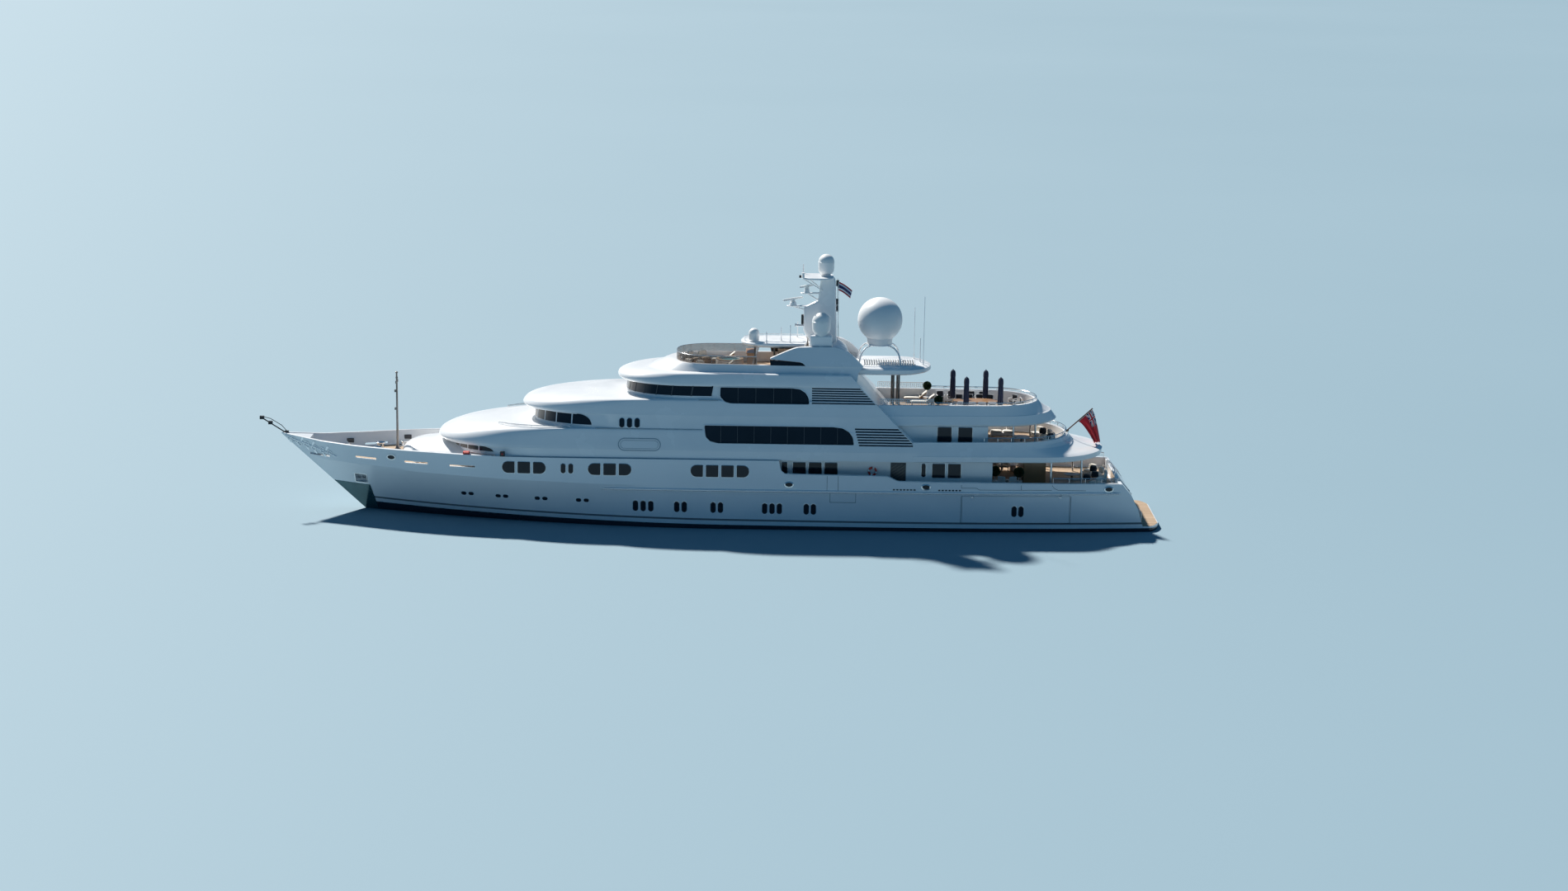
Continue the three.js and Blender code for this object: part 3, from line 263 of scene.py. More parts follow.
def tube(path, radius, sides=8, closed=False):
    """A round bar along the points of a path."""
    path = [Vector(point) for point in path]
    rings = []
    side = None
    for i, point in enumerate(path):
        back = path[i - 1] if i or closed else point
        ahead = path[(i + 1) % len(path)] if closed or i + 1 < len(path) else point
        along = (ahead - back).normalized()
        if side is None:
            side = along.orthogonal()
        side = (side - along * side.dot(along)).normalized()
        up = along.cross(side)
        rings.append([tuple(point + (side * c + up * s) * radius) for c, s in circle(sides)])
    if not closed:
        return skin(rings)
    points, faces = skin(rings, ends=False)
    last = len(points) - sides
    shift = min(range(sides), key=lambda s: (Vector(rings[-1][0]) - Vector(rings[0][s])).length)
    for k in range(sides):
        faces.append((last + k, last + (k + 1) % sides, (k + 1 + shift) % sides, (k + shift) % sides))
    return points, faces


def turned(profile, x, y, z, sides=40):
    """A turned shape on an upright axis. Rows of the profile are radius and height, and it starts and ends
    at 0."""
    points, faces = skin([[(x + r * c, y + r * s, z + h) for c, s in circle(sides)]
                          for r, h in profile[1:-1]], False)
    last = len(points) - sides
    points += [(x, y, z + profile[0][1]), (x, y, z + profile[-1][1])]
    for k in range(sides):
        faces.append((k, (k + 1) % sides, len(points) - 2))
        faces.append((last + k, last + (k + 1) % sides, len(points) - 1))
    return points, faces


def side_plate(outline, y0, y1):
    """A plate whose outline lies in the side view."""
    return skin([[(x, y, z) for x, z in outline] for y in (y0, y1)])


def crisp(mesh, crease=32):
    """Faces outwards, doubles merged, and a sharp edge wherever two faces meet at more than the crease."""
    shape = bmesh.new()
    shape.from_mesh(mesh)
    bmesh.ops.remove_doubles(shape, verts=shape.verts, dist=1e-5)
    bmesh.ops.dissolve_degenerate(shape, edges=shape.edges, dist=1e-5)
    bmesh.ops.recalc_face_normals(shape, faces=shape.faces)
    for face in shape.faces:
        face.smooth = True
    for edge in shape.edges:
        edge.smooth = len(edge.link_faces) == 2 and edge.calc_face_angle(0) < radians(crease)
    shape.to_mesh(mesh)
    shape.free()


def net(name, points, faces, edges=()):
    """A mesh whose points are given in metres of the real yacht."""
    mesh = bpy.data.meshes.new(name)
    mesh.from_pydata([[MODEL * v for v in point] for point in points], edges, faces)
    return mesh


def piece(name, shape, finish, crease=32):
    """One object from one shape, or from a list of shapes."""
    mesh = net(name, *(together(*shape) if isinstance(shape, list) else shape))
    crisp(mesh, crease)
    mesh.materials.append(finish)
    return placed(name, mesh)


def settle(made):
    """Makes what the modifiers show the piece's own mesh."""
    mesh = bpy.data.meshes.new_from_object(made.evaluated_get(bpy.context.evaluated_depsgraph_get()))
    made.modifiers.clear()
    made.data = mesh
    return mesh


def carve(made, tools, how="DIFFERENCE", crease=32):
    """Cuts each shape out of the piece, or joins it on."""
    cutters = []
    for number, tool in enumerate(tools):
        cutter = piece(f"cutter {number}", tool, made.data.materials[0])
        cutters.append(cutter)
        cut = made.modifiers.new("cut", "BOOLEAN")
        cut.operation = how
        cut.solver = "MANIFOLD"
        cut.object = cutter
    crisp(settle(made), crease)
    for cutter in cutters:
        bpy.data.objects.remove(cutter)
    return made


def softened(made, width, segments=3):
    """Rounds the sharp edges of a finished piece. The width is in metres of the real yacht."""
    soft = made.modifiers.new("rounded edges", "BEVEL")
    soft.width = width * MODEL
    soft.segments = segments
    soft.limit_method = "ANGLE"
    soft.angle_limit = radians(32)
    soft.harden_normals = True
    return made


def rides(made, *nodes, body="ship", slot=None):
    """Fixes a piece to its body, in the place of the nodes that it replaces."""
    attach(made, body)
    if nodes:
        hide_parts(*nodes)
    return made


def fitted(name, shape, finish, *nodes, crease=32, edge=None, **place):
    made = piece(name, shape, finish, crease)
    if edge:
        softened(made, *edge)
    return rides(made, *nodes, **place)


hull_white = surface("hull enamel", ((0.78, 0.80, 0.82), (0.83, 0.845, 0.86)), 0.6,
                     (0.16, 0.26), coat=0.4)
paint = hull_white.node_tree
split = add_node(paint, "ShaderNodeSeparateXYZ",
                 {"Vector": paint.nodes["Texture Coordinate"].outputs["Object"]})
# The boot-top climbs towards the bow. All sizes here are in metres of the model.
forward = add_node(paint, "ShaderNodeMapRange", {
    "From Min": -15, "From Max": 8, "To Min": 1, "To Max": 0, "Value": split.outputs["X"]})
squared = add_node(paint, "ShaderNodeMath", {0: forward, 1: 2}, operation="POWER")
climb = add_node(paint, "ShaderNodeMath", {0: squared, 1: 0.225, 2: 0.155}, operation="MULTIPLY_ADD")
above = add_node(paint, "ShaderNodeMath", {0: split.outputs["Z"], 1: climb}, operation="SUBTRACT")
band = add_node(paint, "ShaderNodeMapRange", {"From Min": -0.1, "From Max": 0.4, "Value": above})
lines = add_node(paint, "ShaderNodeValToRGB", {"Fac": band})
lines.color_ramp.interpolation = "CONSTANT"
lines.color_ramp.elements[0].color = (1, 1, 1, 1)
lines.color_ramp.elements[1].position = 0.2
lines.color_ramp.elements[1].color = (0, 0, 0, 1)
for stop, value in ((0.54, 0.8), (0.70, 0)):
    lines.color_ramp.elements.new(stop).color = (value, value, value, 1)
boot = add_node(paint, "ShaderNodeMix", {
    "Factor": lines, "A": paint.nodes["Color Ramp"], "B": (0.012, 0.022, 0.035, 1)}, data_type="RGBA")
feed(paint.nodes["Principled BSDF"], {"Base Color": boot})


def steps_between(first, last, count):
    return [first + (last - first) * k / count for k in range(count + 1)]


def spaced(stations, step):
    """The stations, with more between them so that no gap is over the step."""
    rows = [stations[0]]
    for x in stations[1:]:
        rows += steps_between(rows[-1], x, ceil((x - rows[-1]) / step - 1e-6))[1:]
    return rows


def well(x0, x1, floor, lip, inset, steps):
    """The room inside the bulwarks, from the deck up."""
    rings = []
    for x in steps_between(x0, x1, steps):
        low, high = half_at(x, floor) - inset, half_at(x, lip) - inset
        rings.append([(x, y, z) for y, z in (
            (-low, floor), (low, floor), (high, lip), (high, 8), (-high, 8), (-high, lip))])
    return skin(rings)


def side_band(x0, x1, z0, z1, outer, inner, steps):
    """A band of the hull's side between two depths inside its surface."""
    corners = ((z0, outer), (z0, inner), (z1, inner), (z1, outer))
    return skin([[(x, half_at(x, z) - inset, z) for z, inset in corners]
                 for x in steps_between(x0, x1, steps)])


DOOR = {"fore": 20.1, "aft": 28.9, "low": 0.8, "high": 3.05, "thick": 0.14, "clearance": 0.03, "lap": 0.25}
STAIRS = {"inner": 2.9, "outer": 4.1, "steps": 11, "rise": 0.25, "tread": 0.26, "foot": 35.05, "low": 0.45}
STATIONS = [-36.42, -36.2, -35.8, -35, -34, -33, -31.5, -30.5, -29.51, -29.4, -28.8, -28.2, -27.2, -24, -20,
            -18.6, -13, 0, 5.12, 5.2, 5.34, 5.6, 6, 12, 13.9, 14.1, 14.7, 14.9, 20, 24.5, 28.9, 32, 33.2,
            34, 34.6, 34.9, 35.05, 35.6, 35.9, 36.1, 36.25, 36.35, 36.43, 36.5]
BULB = {"x": -27.3, "z": -2.65, "length": 4.4, "wide": 0.85, "deep": 1.1}
hull = piece("hull_plating", skin([hull_section(x) for x in spaced(STATIONS, 0.5)]), hull_white)
bulb = turned([(sin(i / 24 * pi), -cos(i / 24 * pi)) for i in range(25)], 0, 0, 0)
bulb = [(BULB["x"] + BULB["length"] * z, BULB["wide"] * y, BULB["z"] - BULB["deep"] * x)
        for x, y, z in bulb[0]], bulb[1]
keel = side_plate([(-23, -3), (26, -2.3), (27.6, -3.4), (27.2, -3.92), (-21, -3.92)], -0.28, 0.28)
carve(hull, [bulb, keel], "UNION")
clear, lap = DOOR["clearance"], DOOR["lap"]
rebate = side_band(DOOR["fore"] - clear, DOOR["aft"] + clear, DOOR["low"] - clear, DOOR["high"] + clear, -1,
                   DOOR["thick"] + clear, 24)
anchor_pocket = box(-30.1, -29.1, 1, 2.8, 2.5, 3.3)
tools = [well(-33.9, -18.05, FOREDECK_Z, 6, BULWARK, 40), well(5.1, 32.9, MAIN_DECK_Z, 4.4, BULWARK, 62),
         box(DOOR["fore"] + lap, DOOR["aft"] - lap, -6.2, 6.2, DOOR["low"] + lap, DOOR["high"] - lap),
         rebate, mirrored(rebate), anchor_pocket, mirrored(anchor_pocket)]
for i in range(STAIRS["steps"]):
    riser = STAIRS["foot"] - STAIRS["tread"] * (i + 1)
    step = box(riser, STAIRS["foot"] + 0.1, STAIRS["inner"], STAIRS["outer"],
               STAIRS["low"] + STAIRS["rise"] * i, 6)
    tools += [step, mirrored(step)]
rides(carve(hull, tools, crease=16), "hull")

# The deckhouses. Three rounded tiers of faired aluminium, each with a long rolled brow over a band of
# windows that wraps its front. Their aft edges lean forward in one line, and long dark windows are let into
# their sides.
# Rows of a tier are height, x of the nose, length of the nose, half-breadth forward and half-breadth aft.
RAKE_X, RAKE_Z = 16.35, 7
NOSE_POWER = 2.5
END_STEPS = 22
WALL_SLOPE = 0.2
FORWARD_WALL = [(5.78, -21.9, 8.4, 5.78, 5.82), (6.45, -21.9, 8.4, 5.74, 5.78)]
FORWARD_BROW = [(6.47, -22.9, 9.4, 5.74, 5.78), (6.75, -23.2, 9.8, 5.7, 5.74), (7.15, -22.9, 9.8, 5.62, 5.66),
                (7.55, -22, 9.2, 5.54, 5.58), (7.85, -20.8, 8.4, 5.48, 5.52), (8.04, -19.2, 7.4, 5.42, 5.48),
                (8.12, -17.4, 6.4, 5.36, 5.44)]
TRUNK = [(4.75, -26.3, 9, 4.5, 4.5), (5.35, -26.2, 9, 4.4, 4.4), (5.75, -25.8, 8.6, 3.8, 3.8),
         (6.05, -25.1, 8, 2.9, 2.9), (6.22, -24.2, 7.4, 1.9, 1.9)]
MIDDLE_WALL = [(8.12, -15.2, 8.2, 5.34, 5.42), (9.24, -15.1, 8.1, 5.12, 5.16)]
MIDDLE_BROW = [(9.26, -16, 9, 5.12, 5.16), (9.5, -16.2, 9.2, 5.06, 5.1), (9.9, -15.8, 8.9, 4.97, 5.02),
               (10.2, -14.8, 8.3, 4.89, 4.94), (10.4, -13.2, 7.3, 4.82, 4.88), (10.5, -11.4, 6.6, 4.7, 4.84)]
BRIDGE_WALL = [(10.5, -7.6, 6, 4.5, 4.7), (11.62, -7.4, 6, 4.3, 4.5)]
ROOF_BROW = [(11.62, -8, 6.4, 4.5, 4.52), (11.8, -8.3, 6.8, 4.5, 4.5), (12.1, -8.25, 6.9, 4.42, 4.44),
             (12.35, -7.7, 6.5, 4.32, 4.36), (12.52, -6.9, 6, 4.24, 4.3), (12.6, -6, 5.6, 4.1, 4.2)]
SUN_COAMING = [(12.61, -5.6, 5.4, 3.6, 3.9), (12.9, -4.9, 4.9, 3.42, 3.78), (13.2, -4.2, 4.4, 3.3, 3.66)]
WINDOWS = {
    "upper": {"low": 7.09, "y": 5.6,
              "outline": [(-1.02, 8.51), (9.5, 8.51), (10.25, 8.42), (10.8, 8.12), (11.1, 7.7), (11.2, 7.09),
                          (0.1, 7.09), (-0.55, 7.25), (-0.9, 7.6)]},
    "bridge": {"low": 10.26, "y": 4.72,
               "outline": [(0.24, 11.52), (6.1, 11.52), (6.75, 11.44), (7.22, 11.15), (7.45, 10.75),
                           (7.52, 10.26), (1.1, 10.26), (0.62, 10.38), (0.24, 10.75)]},
}
POCKET = 0.16
POCKET_CORNER = 0.14
# Columns: x of the fore end below and above, sill, head, half-breadth, depth
INTAKES = {"upper": (11.6, 11.25, 6.97, 8.46, 5.62, 0.35), "bridge": (7.72, 7.72, 10.27, 11.6, 4.74, 0.3)}
SLOTS_HIGH = 7
SLOT_MARGIN = 0.12


def rake_at(z):
    return RAKE_X - max(0, z - RAKE_Z)


def plan_ring(z, nose, nose_len, half, half_aft, tail, tail_len=0.05, steps=END_STEPS):
    """A blunt nose, sides that taper from half to half_aft, and an elliptical tail."""
    side = []
    for i in range(1, steps + 1):
        turn = i / steps * pi / 2
        along = max(0, cos(turn)) ** (2 / NOSE_POWER)
        side.append((nose + nose_len * (1 - along), half * sin(turn) ** (2 / NOSE_POWER)))
    fore, aft = side[-1][0], tail - tail_len
    for i in range(1, 16):
        side.append((fore + (aft - fore) * i / 16, half + (half_aft - half) * i / 16))
    tail_steps = steps if tail_len > 0.1 else 2
    for i in range(tail_steps):
        turn = i / tail_steps * pi / 2
        side.append((aft + tail_len * sin(turn), half_aft * cos(turn)))
    ring = [(nose, 0)] + side + [(tail, 0)] + [(x, -y) for x, y in reversed(side)]
    return [(x, y, z) for x, y in ring]


def plan_rings(rows):
    return skin([plan_ring(*row) for row in rows])


def eased(rows, per=4):
    """Rows on a smooth curve through the given ones."""
    out = []
    for i in range(len(rows) - 1):
        near = [rows[max(0, min(len(rows) - 1, i + k))] for k in (-1, 0, 1, 2)]
        for k in range(per):
            t = k / per
            out.append(tuple(0.5 * (2 * b + (c - a) * t + (2 * a - 5 * b + 4 * c - d) * t * t
                                    + (3 * b - a - 3 * c + d) * t ** 3) for a, b, c, d in zip(*near)))
    out.append(tuple(rows[-1]))
    return out


def tier(rows, extra=0):
    return plan_rings([(*row, rake_at(row[0]) + extra) for row in rows])


def splayed(shape, slope, z0):
    """Leans a starboard shape inwards by a slope, from the height z0 up."""
    return [(x, y - slope * (z - z0), z) for x, y, z in shape[0]], shape[1]


def leaning(shape, z0):
    return splayed(shape, WALL_SLOPE, z0)


def rounded(outline, radius, steps=6):
    """The outline with its corners rounded off."""
    out = []
    for i, corner in enumerate(outline):
        corner, before = Vector(corner), Vector(outline[i - 1])
        after = Vector(outline[(i + 1) % len(outline)])
        reach = min(radius, 0.48 * (before - corner).length, 0.48 * (after - corner).length)
        a = corner + (before - corner).normalized() * reach
        b = corner + (after - corner).normalized() * reach
        for k in range(steps + 1):
            t = k / steps
            out.append(tuple(a * (1 - t) ** 2 + corner * 2 * t * (1 - t) + b * t * t))
    return out


def window_pocket(low, y, outline):
    pocket = leaning(side_plate(rounded(outline, POCKET_CORNER), y - POCKET, y + 1.2), low)
    return [pocket, mirrored(pocket)]


def intake_slots(fore_low, fore_high, low, high, y, depth):
    pitch = (high - low) / SLOTS_HIGH
    slots = []
    for i in range(SLOTS_HIGH):
        z = low + pitch * (i + 0.2)
        fore = fore_low + (fore_high - fore_low) * i / (SLOTS_HIGH - 1)
        top = z + pitch * 0.64
        outline = [(fore, z), (rake_at(z) - SLOT_MARGIN, z), (rake_at(top) - SLOT_MARGIN, top), (fore, top)]
        slot = leaning(side_plate(outline, y - depth, y + 1), low)
        slots += [slot, mirrored(slot)]
    return slots


house_white = surface("deckhouse enamel", ((0.80, 0.81, 0.82), (0.85, 0.855, 0.86)), 0.8,
                      (0.2, 0.32), coat=0.3)
upper_cuts = window_pocket(**WINDOWS["upper"]) + intake_slots(*INTAKES["upper"])
bridge_cuts = window_pocket(**WINDOWS["bridge"]) + intake_slots(*INTAKES["bridge"])
sun_well = plan_rings([(z, -3.4, 4, 3, 3.2, 7.2) for z in (12.35, 14)])
# Columns: name, node, shape, what is cut out of it
TIERS = [("forward_tier", ["forward_house"], tier(FORWARD_WALL + eased(FORWARD_BROW)), upper_cuts),
         ("foredeck_trunk", [], plan_rings([(*row, -8) for row in eased(TRUNK)]),
          [box(-18.07, 0, -9, 9, 0, 9)]),
         ("middle_tier", ["middle_house"], tier(MIDDLE_WALL + eased(MIDDLE_BROW)),
          upper_cuts + bridge_cuts),
         ("bridge_tier", ["wheelhouse"], tier(BRIDGE_WALL), bridge_cuts),
         ("bridge_roof", ["wheelhouse_roof"], tier(eased(ROOF_BROW) + eased(SUN_COAMING), 0.1), [sun_well])]
for name, nodes, shape, cuts in TIERS:
    rides(carve(piece(name, shape, house_white), cuts), *nodes)

# The aft decks. Each is a slab with a flared bulwark of faired aluminium round a rounded stern.
# Rows are height, half-breadth forward, half-breadth aft, x of the tail and length of the tail.
UPPER_TRAY = [(5.74, 5.72, 5.24, 31.7, 5.1), (5.8, 5.81, 5.33, 31.95, 5.2), (6.22, 5.82, 5.36, 32, 5.2),
              (6.28, 5.79, 5.31, 31.85, 5.15), (6.42, 5.78, 5.24, 31.2, 4.95), (6.6, 5.76, 5.18, 30.3, 4.75),
              (6.85, 5.72, 5.1, 29.55, 4.6), (7.1, 5.67, 5.02, 29.25, 4.5), (7.36, 5.62, 4.95, 29.1, 4.4)]
BRIDGE_TRAY = [(8.45, 4.42, 3.92, 27.7, 4.75), (8.52, 4.53, 4.03, 28, 4.8), (8.65, 4.56, 4.06, 28.1, 4.8),
               (9.3, 4.47, 3.97, 27.62, 4.6), (9.36, 4.42, 3.93, 27.45, 4.5), (9.75, 4.25, 3.81, 26.85, 4.2),
               (10.12, 4.1, 3.7, 26.5, 4)]
ROUND_STERN = 20


def bulwarked_deck(name, node, rows, nose, inside, floor, top):
    """A tray whose front edge is at nose(z). Its inside is cut from the floor to above the top."""
    outside = [plan_ring(z, nose(z), 0.05, *row, ROUND_STERN) for z, *row in rows]
    made = piece(name, skin(outside), house_white, 14)
    carve(made, [skin([plan_ring(z, *inside, ROUND_STERN) for z in (floor, top)])], crease=14)
    rides(made, node)


bulwarked_deck("upper_deck_bulwark", "upper_deck_aft", UPPER_TRAY, lambda z: RAKE_X - 0.4,
               (15, 0.05, 5.45, 4.75, 28.8, 4.4), 6.35, 9)
bulwarked_deck("bridge_deck_bulwark", "bridge_deck_aft", BRIDGE_TRAY, lambda z: rake_at(z) - 0.4,
               (10, 0.05, 3.85, 3.45, 26.2, 3.9), 9.1, 11)

# The glazing. Dark tinted glass bonded into the plating: bands round the rounded fronts, long strips in the
# sides, groups of saloon windows with round ends, and small framed portholes low in the hull.
# Columns: node, wall rows, sill, head, x of the aft end, x where the head starts to fall, number of lights
FRONT_GLASS = [("forward_house_window", FORWARD_WALL, 6.02, 6.42, -18.2, -19.4, 5),
               ("middle_house_window", MIDDLE_WALL, 8.35, 9.2, -10.2, -11.4, 5),
               ("wheelhouse_window", BRIDGE_WALL, 10.75, 11.58, -0.4, -0.45, 7)]
GLASS_PROUD = 0.05
MULLION = 0.07
# A shape is drawn for the starboard side, and is mirrored for the port side.
SIDES = (("port", mirrored), ("starboard", tuple))


def tinted_glass(name, deep, painted_light_tan):
    """Tinted glass. Near a rounded front an attribute mixes its colour towards a lit tan: painted light that
    stands in for the bright far side seen through the glass.
    """
    glass = surface(name, (deep, tuple(1.5 * v for v in deep)), 0.5, (0.04, 0.08))
    tree = glass.node_tree
    painted_daylight = add_node(tree, "ShaderNodeAttribute", attribute_name="painted_daylight")
    blend = add_node(tree, "ShaderNodeMix", {
        "Factor": painted_daylight.outputs["Fac"], "A": tree.nodes["Color Ramp"], "B": (*painted_light_tan, 1)}, data_type="RGBA")
    feed(tree.nodes["Principled BSDF"], {"Specular IOR Level": 0.3, "Base Color": blend})
    return glass


dark_glass = tinted_glass("tinted glass", (0.012, 0.016, 0.022), (0.42, 0.36, 0.31))
mullion_grey = surface("window bars", ((0.05, 0.055, 0.06), (0.07, 0.075, 0.08)), 8, (0.35, 0.5))
frame_steel = surface("window frames", ((0.55, 0.57, 0.6), (0.66, 0.68, 0.7)), 6, (0.15, 0.3),
                      metallic=0.85)


def wall_row(rows, z):
    a, b = rows
    t = (z - a[0]) / (b[0] - a[0])
    return [v + (w - v) * t for v, w in zip(a, b)]


def wall_at(rows, z, s, proud=0.0):
    """A point of a tier's wall. s is 0 at the nose, 1 where the side begins, and then grows by 1 in 10 m."""
    _, nose, length, half, half_aft = wall_row(rows, z)
    nose, length, half, half_aft = nose - proud, length + proud, half + proud, half_aft + proud
    side = 1 if s >= 0 else -1
    s = abs(s)
    if s <= 1:
        turn = s * pi / 2
        x = nose + length * (1 - max(0, cos(turn)) ** (2 / NOSE_POWER))
        return x, side * half * sin(turn) ** (2 / NOSE_POWER), z
    x = nose + length + (s - 1) * 10
    return x, side * (half + (half_aft - half) * (x - nose - length) / (RAKE_X - nose - length)), z


def wall_s(rows, z, x):
    _, nose, length, _, _ = wall_row(rows, z)
    if x >= nose + length:
        return 1 + (x - nose - length) / 10
    return acos(min(1, 1 - (x - nose) / length) ** (NOSE_POWER / 2)) / (pi / 2)


def front_band(rows, sill, head, aft, falling, proud, steps=72, levels=4):
    """Glass round a rounded front. Its head falls to the sill in a quarter ellipse at the two aft ends."""
    end = wall_s(rows, (sill + head) / 2, aft)
    rings = []
    for k in range(-steps, steps + 1):
        s = end * k / steps
        fall = part_way((wall_at(rows, sill, s)[0] - falling) / (aft - falling))
        heights = steps_between(sill, sill + (head - sill) * max(0.04, sqrt(1 - fall * fall)), levels)
        rings.append([wall_at(rows, z, s, proud) for z in heights]
                     + [wall_at(rows, z, s, 0.004) for z in reversed(heights)])
    return skin(rings)


def paint_daylight_near_nose(made, nose, reach):
    painted_daylight = made.data.attributes.new("painted_daylight", "FLOAT", "POINT")
    for value, vertex in zip(painted_daylight.data, made.data.vertices):
        value.value = part_way(1 - (vertex.co.x / MODEL - nose) / reach) ** 1.5


for node, rows, sill, head, aft, falling, lights in FRONT_GLASS:
    pane = piece(f"{node}_glass", front_band(rows, sill, head, aft, falling, GLASS_PROUD), dark_glass, 60)
    # Painted light: the band turns lighter tan towards its nose, standing in for the sunlit far side seen
    # through the glass.
    paint_daylight_near_nose(pane, rows[0][1], 2.4)
    rides(pane, node)
    bars = []
    end = wall_s(rows, sill, aft)
    half = MULLION / 2 / 8
    for k in range(-lights, lights + 1):
        s = end * (k + copysign(0.5, k) if k else 0) / (lights + 0.5)
        if abs(s) + half <= end * 0.93:
            corners = ((-half, 0), (half, 0), (half, 0.075), (-half, 0.075))
            bars.append(skin([[wall_at(rows, z, s + d, proud) for d, proud in corners]
                              for z in (sill, head)]))
    fitted(f"{node}_bars", bars, house_white if lights == 5 else mullion_grey, slot="white_paint")
    for edge, z, stop in (("sill", sill, aft), ("head", head, falling)):
        reach = wall_s(rows, z, stop)
        path = [wall_at(rows, z, reach * k / 60, 0.03) for k in range(-60, 61)]
        fitted(f"{node}_{edge}", tube(path, 0.035), house_white, crease=60)


def house_side(x, z):
    """Half-breadth of the deckhouse's side wall, from the main deck's edge up to the bridge."""
    if z < 8.12:
        return between([(5.78, 5.8), (6.45, 5.76), (6.75, 5.72), (7.15, 5.64), (7.55, 5.56), (8.12, 5.42)], z)
    return between([(8.12, 5.38), (9.24, 5.14), (9.5, 5.08), (10.5, 4.8)], z)


def main_house_wall(x, z):
    return 4.75


def upper_house_wall(x, z):
    return 4.1


def stadium(x0, x1, z0, z1, left=True, right=True, steps=10):
    """A window's outline, round or square at each end."""
    r = (z1 - z0) / 2
    square = min(0.08, r / 2)
    out = []
    for is_round, x, first in ((right, x1, -90), (left, x0, 90)):
        sign = 1 if first < 0 else -1
        if is_round:
            radius = min(r, (x1 - x0) / 2)
            for k in range(steps + 1):
                turn = radians(first + 180 * k / steps)
                out.append((x - sign * radius + radius * cos(turn), (z0 + z1) / 2 + r * sin(turn)))
            continue
        for corner in (0, 1):
            z = (z0 + square) if (corner == 0) == (sign > 0) else (z1 - square)
            for k in range(4):
                turn = radians(first + 90 * corner + 30 * k)
                out.append((x - sign * square + square * cos(turn), z + square * sin(turn)))
    return out


def middle_of(outline):
    return tuple(sum(row) / len(outline) for row in zip(*outline))


def on_wall(outline, wall, low, high):
    """A panel that follows a wall, from the depth low to the depth high outside it."""
    middle = middle_of(outline)
    points = [(x, wall(x, z) + out, z) for rows in (outline, [middle])
              for out in (low, high) for x, z in rows]
    count = len(outline)
    faces = []
    for i in range(count):
        j = (i + 1) % count
        faces += [(i, j, count + j, count + i), (i, j, 2 * count), (count + i, count + j, 2 * count + 1)]
    return points, faces


def rim_on_wall(outline, wall, width, proud, low=-0.02):
    """A raised frame round an outline."""
    middle = Vector(middle_of(outline))
    rings = [[], [], [], []]
    count = len(outline)
    for i, point in enumerate(outline):
        along = Vector(outline[(i + 1) % count]) - Vector(outline[i - 1])
        out = Vector((along.y, -along.x)).normalized()
        if out.dot(Vector(point) - middle) < 0:
            out = -out
        for ring, (step, depth) in zip(rings, ((0, low), (0, proud), (width, proud * 0.8), (width, low))):
            x, z = point[0] + out.x * step, point[1] + out.y * step
            ring.append((x, wall(x, z) + depth, z))
    points, faces = skin(rings, ends=False)
    for i in range(count):
        j = (i + 1) % count
        faces.append((3 * count + i, 3 * count + j, j, i))
    return points, faces


for name, plan in WINDOWS.items():
    low, y, outline = plan["low"], plan["y"], plan["outline"]
    x0, z0 = middle_of(outline)
    window_edge = rounded(outline, POCKET_CORNER)
    smaller = [(x0 + (x - x0) * 0.995, z0 + (z - z0) * 0.985) for x, z in window_edge]
    glass = leaning(side_plate(smaller, y - POCKET + 0.001, y - POCKET + 0.1), low)
    columns, levels = zip(*outline)
    uprights = steps_between(min(columns), max(columns), round((max(columns) - min(columns)) / 1.4))[1:-1]
    bars = together(*[leaning(box(x - 0.025, x + 0.025, y - 0.08, y - 0.045, min(levels) + 0.03,
                                  max(levels) - 0.03), low) for x in uprights])
    for word, hand in SIDES:
        fitted(f"{name}_strip_{word}", hand(glass), dark_glass, f"{name}_window_{word}")
        fitted(f"{name}_strip_bars_{word}", hand(bars), mullion_grey, slot="dark_glass")
    frame_line = rim_on_wall(window_edge, lambda x, z: y - WALL_SLOPE * (z - low), 0.07, 0.03, -0.03)
    fitted(f"{name}_strip_frames", both(frame_line), house_white, crease=50)

# Columns: wall, x of the fore end, x of the aft end, sill, head, lights, round fore end, round aft end
SALOON_WINDOWS = [
    (half_at, -17.45, -13.87, 4.45, 5.4, 3, True, True),
    (half_at, -10.43, -6.9, 4.43, 5.38, 3, True, True),
    (half_at, -2.08, 2.69, 4.4, 5.36, 4, True, True),
    (main_house_wall, 5.35, 5.8, 4.5, 5.42, 1, False, False),
    (main_house_wall, 6.25, 9.9, 4.35, 5.42, 3, False, False),
    (main_house_wall, 17.65, 20, 4.3, 5.45, 2, False, False),
    (upper_house_wall, 18.05, 19.2, 7.15, 8.38, 1, False, False),
    (upper_house_wall, 19.75, 20.9, 7.15, 8.38, 1, False, False),
]
LIGHT_GAP = 0.24
# Columns: wall, x of the first, spacing, how many, middle height, width, height
PORTHOLES = [
    (half_at, -12.45, 0.62, 2, 4.92, 0.4, 0.8), (half_at, -6.57, 0.63, 3, 1.84, 0.4, 0.9),
    (half_at, -3.19, 0.61, 2, 1.84, 0.4, 0.9), (half_at, -0.22, 0.6, 2, 1.84, 0.4, 0.9),
    (half_at, 3.99, 0.6, 3, 1.81, 0.4, 0.9), (half_at, 7.39, 0.58, 2, 1.8, 0.4, 0.9),
    (half_at, -20.79, 0.62, 2, 2.3, 0.4, 0.28), (half_at, -17.9, 0.62, 2, 2.24, 0.4, 0.28),
    (half_at, -14.65, 0.63, 2, 2.2, 0.4, 0.28), (half_at, -11.24, 0.64, 2, 2.18, 0.4, 0.28),
    (house_side, -7.72, 0.62, 3, 8.62, 0.4, 0.76), (main_house_wall, 16.95, 0.4, 1, 4.9, 0.34, 1.1),
]


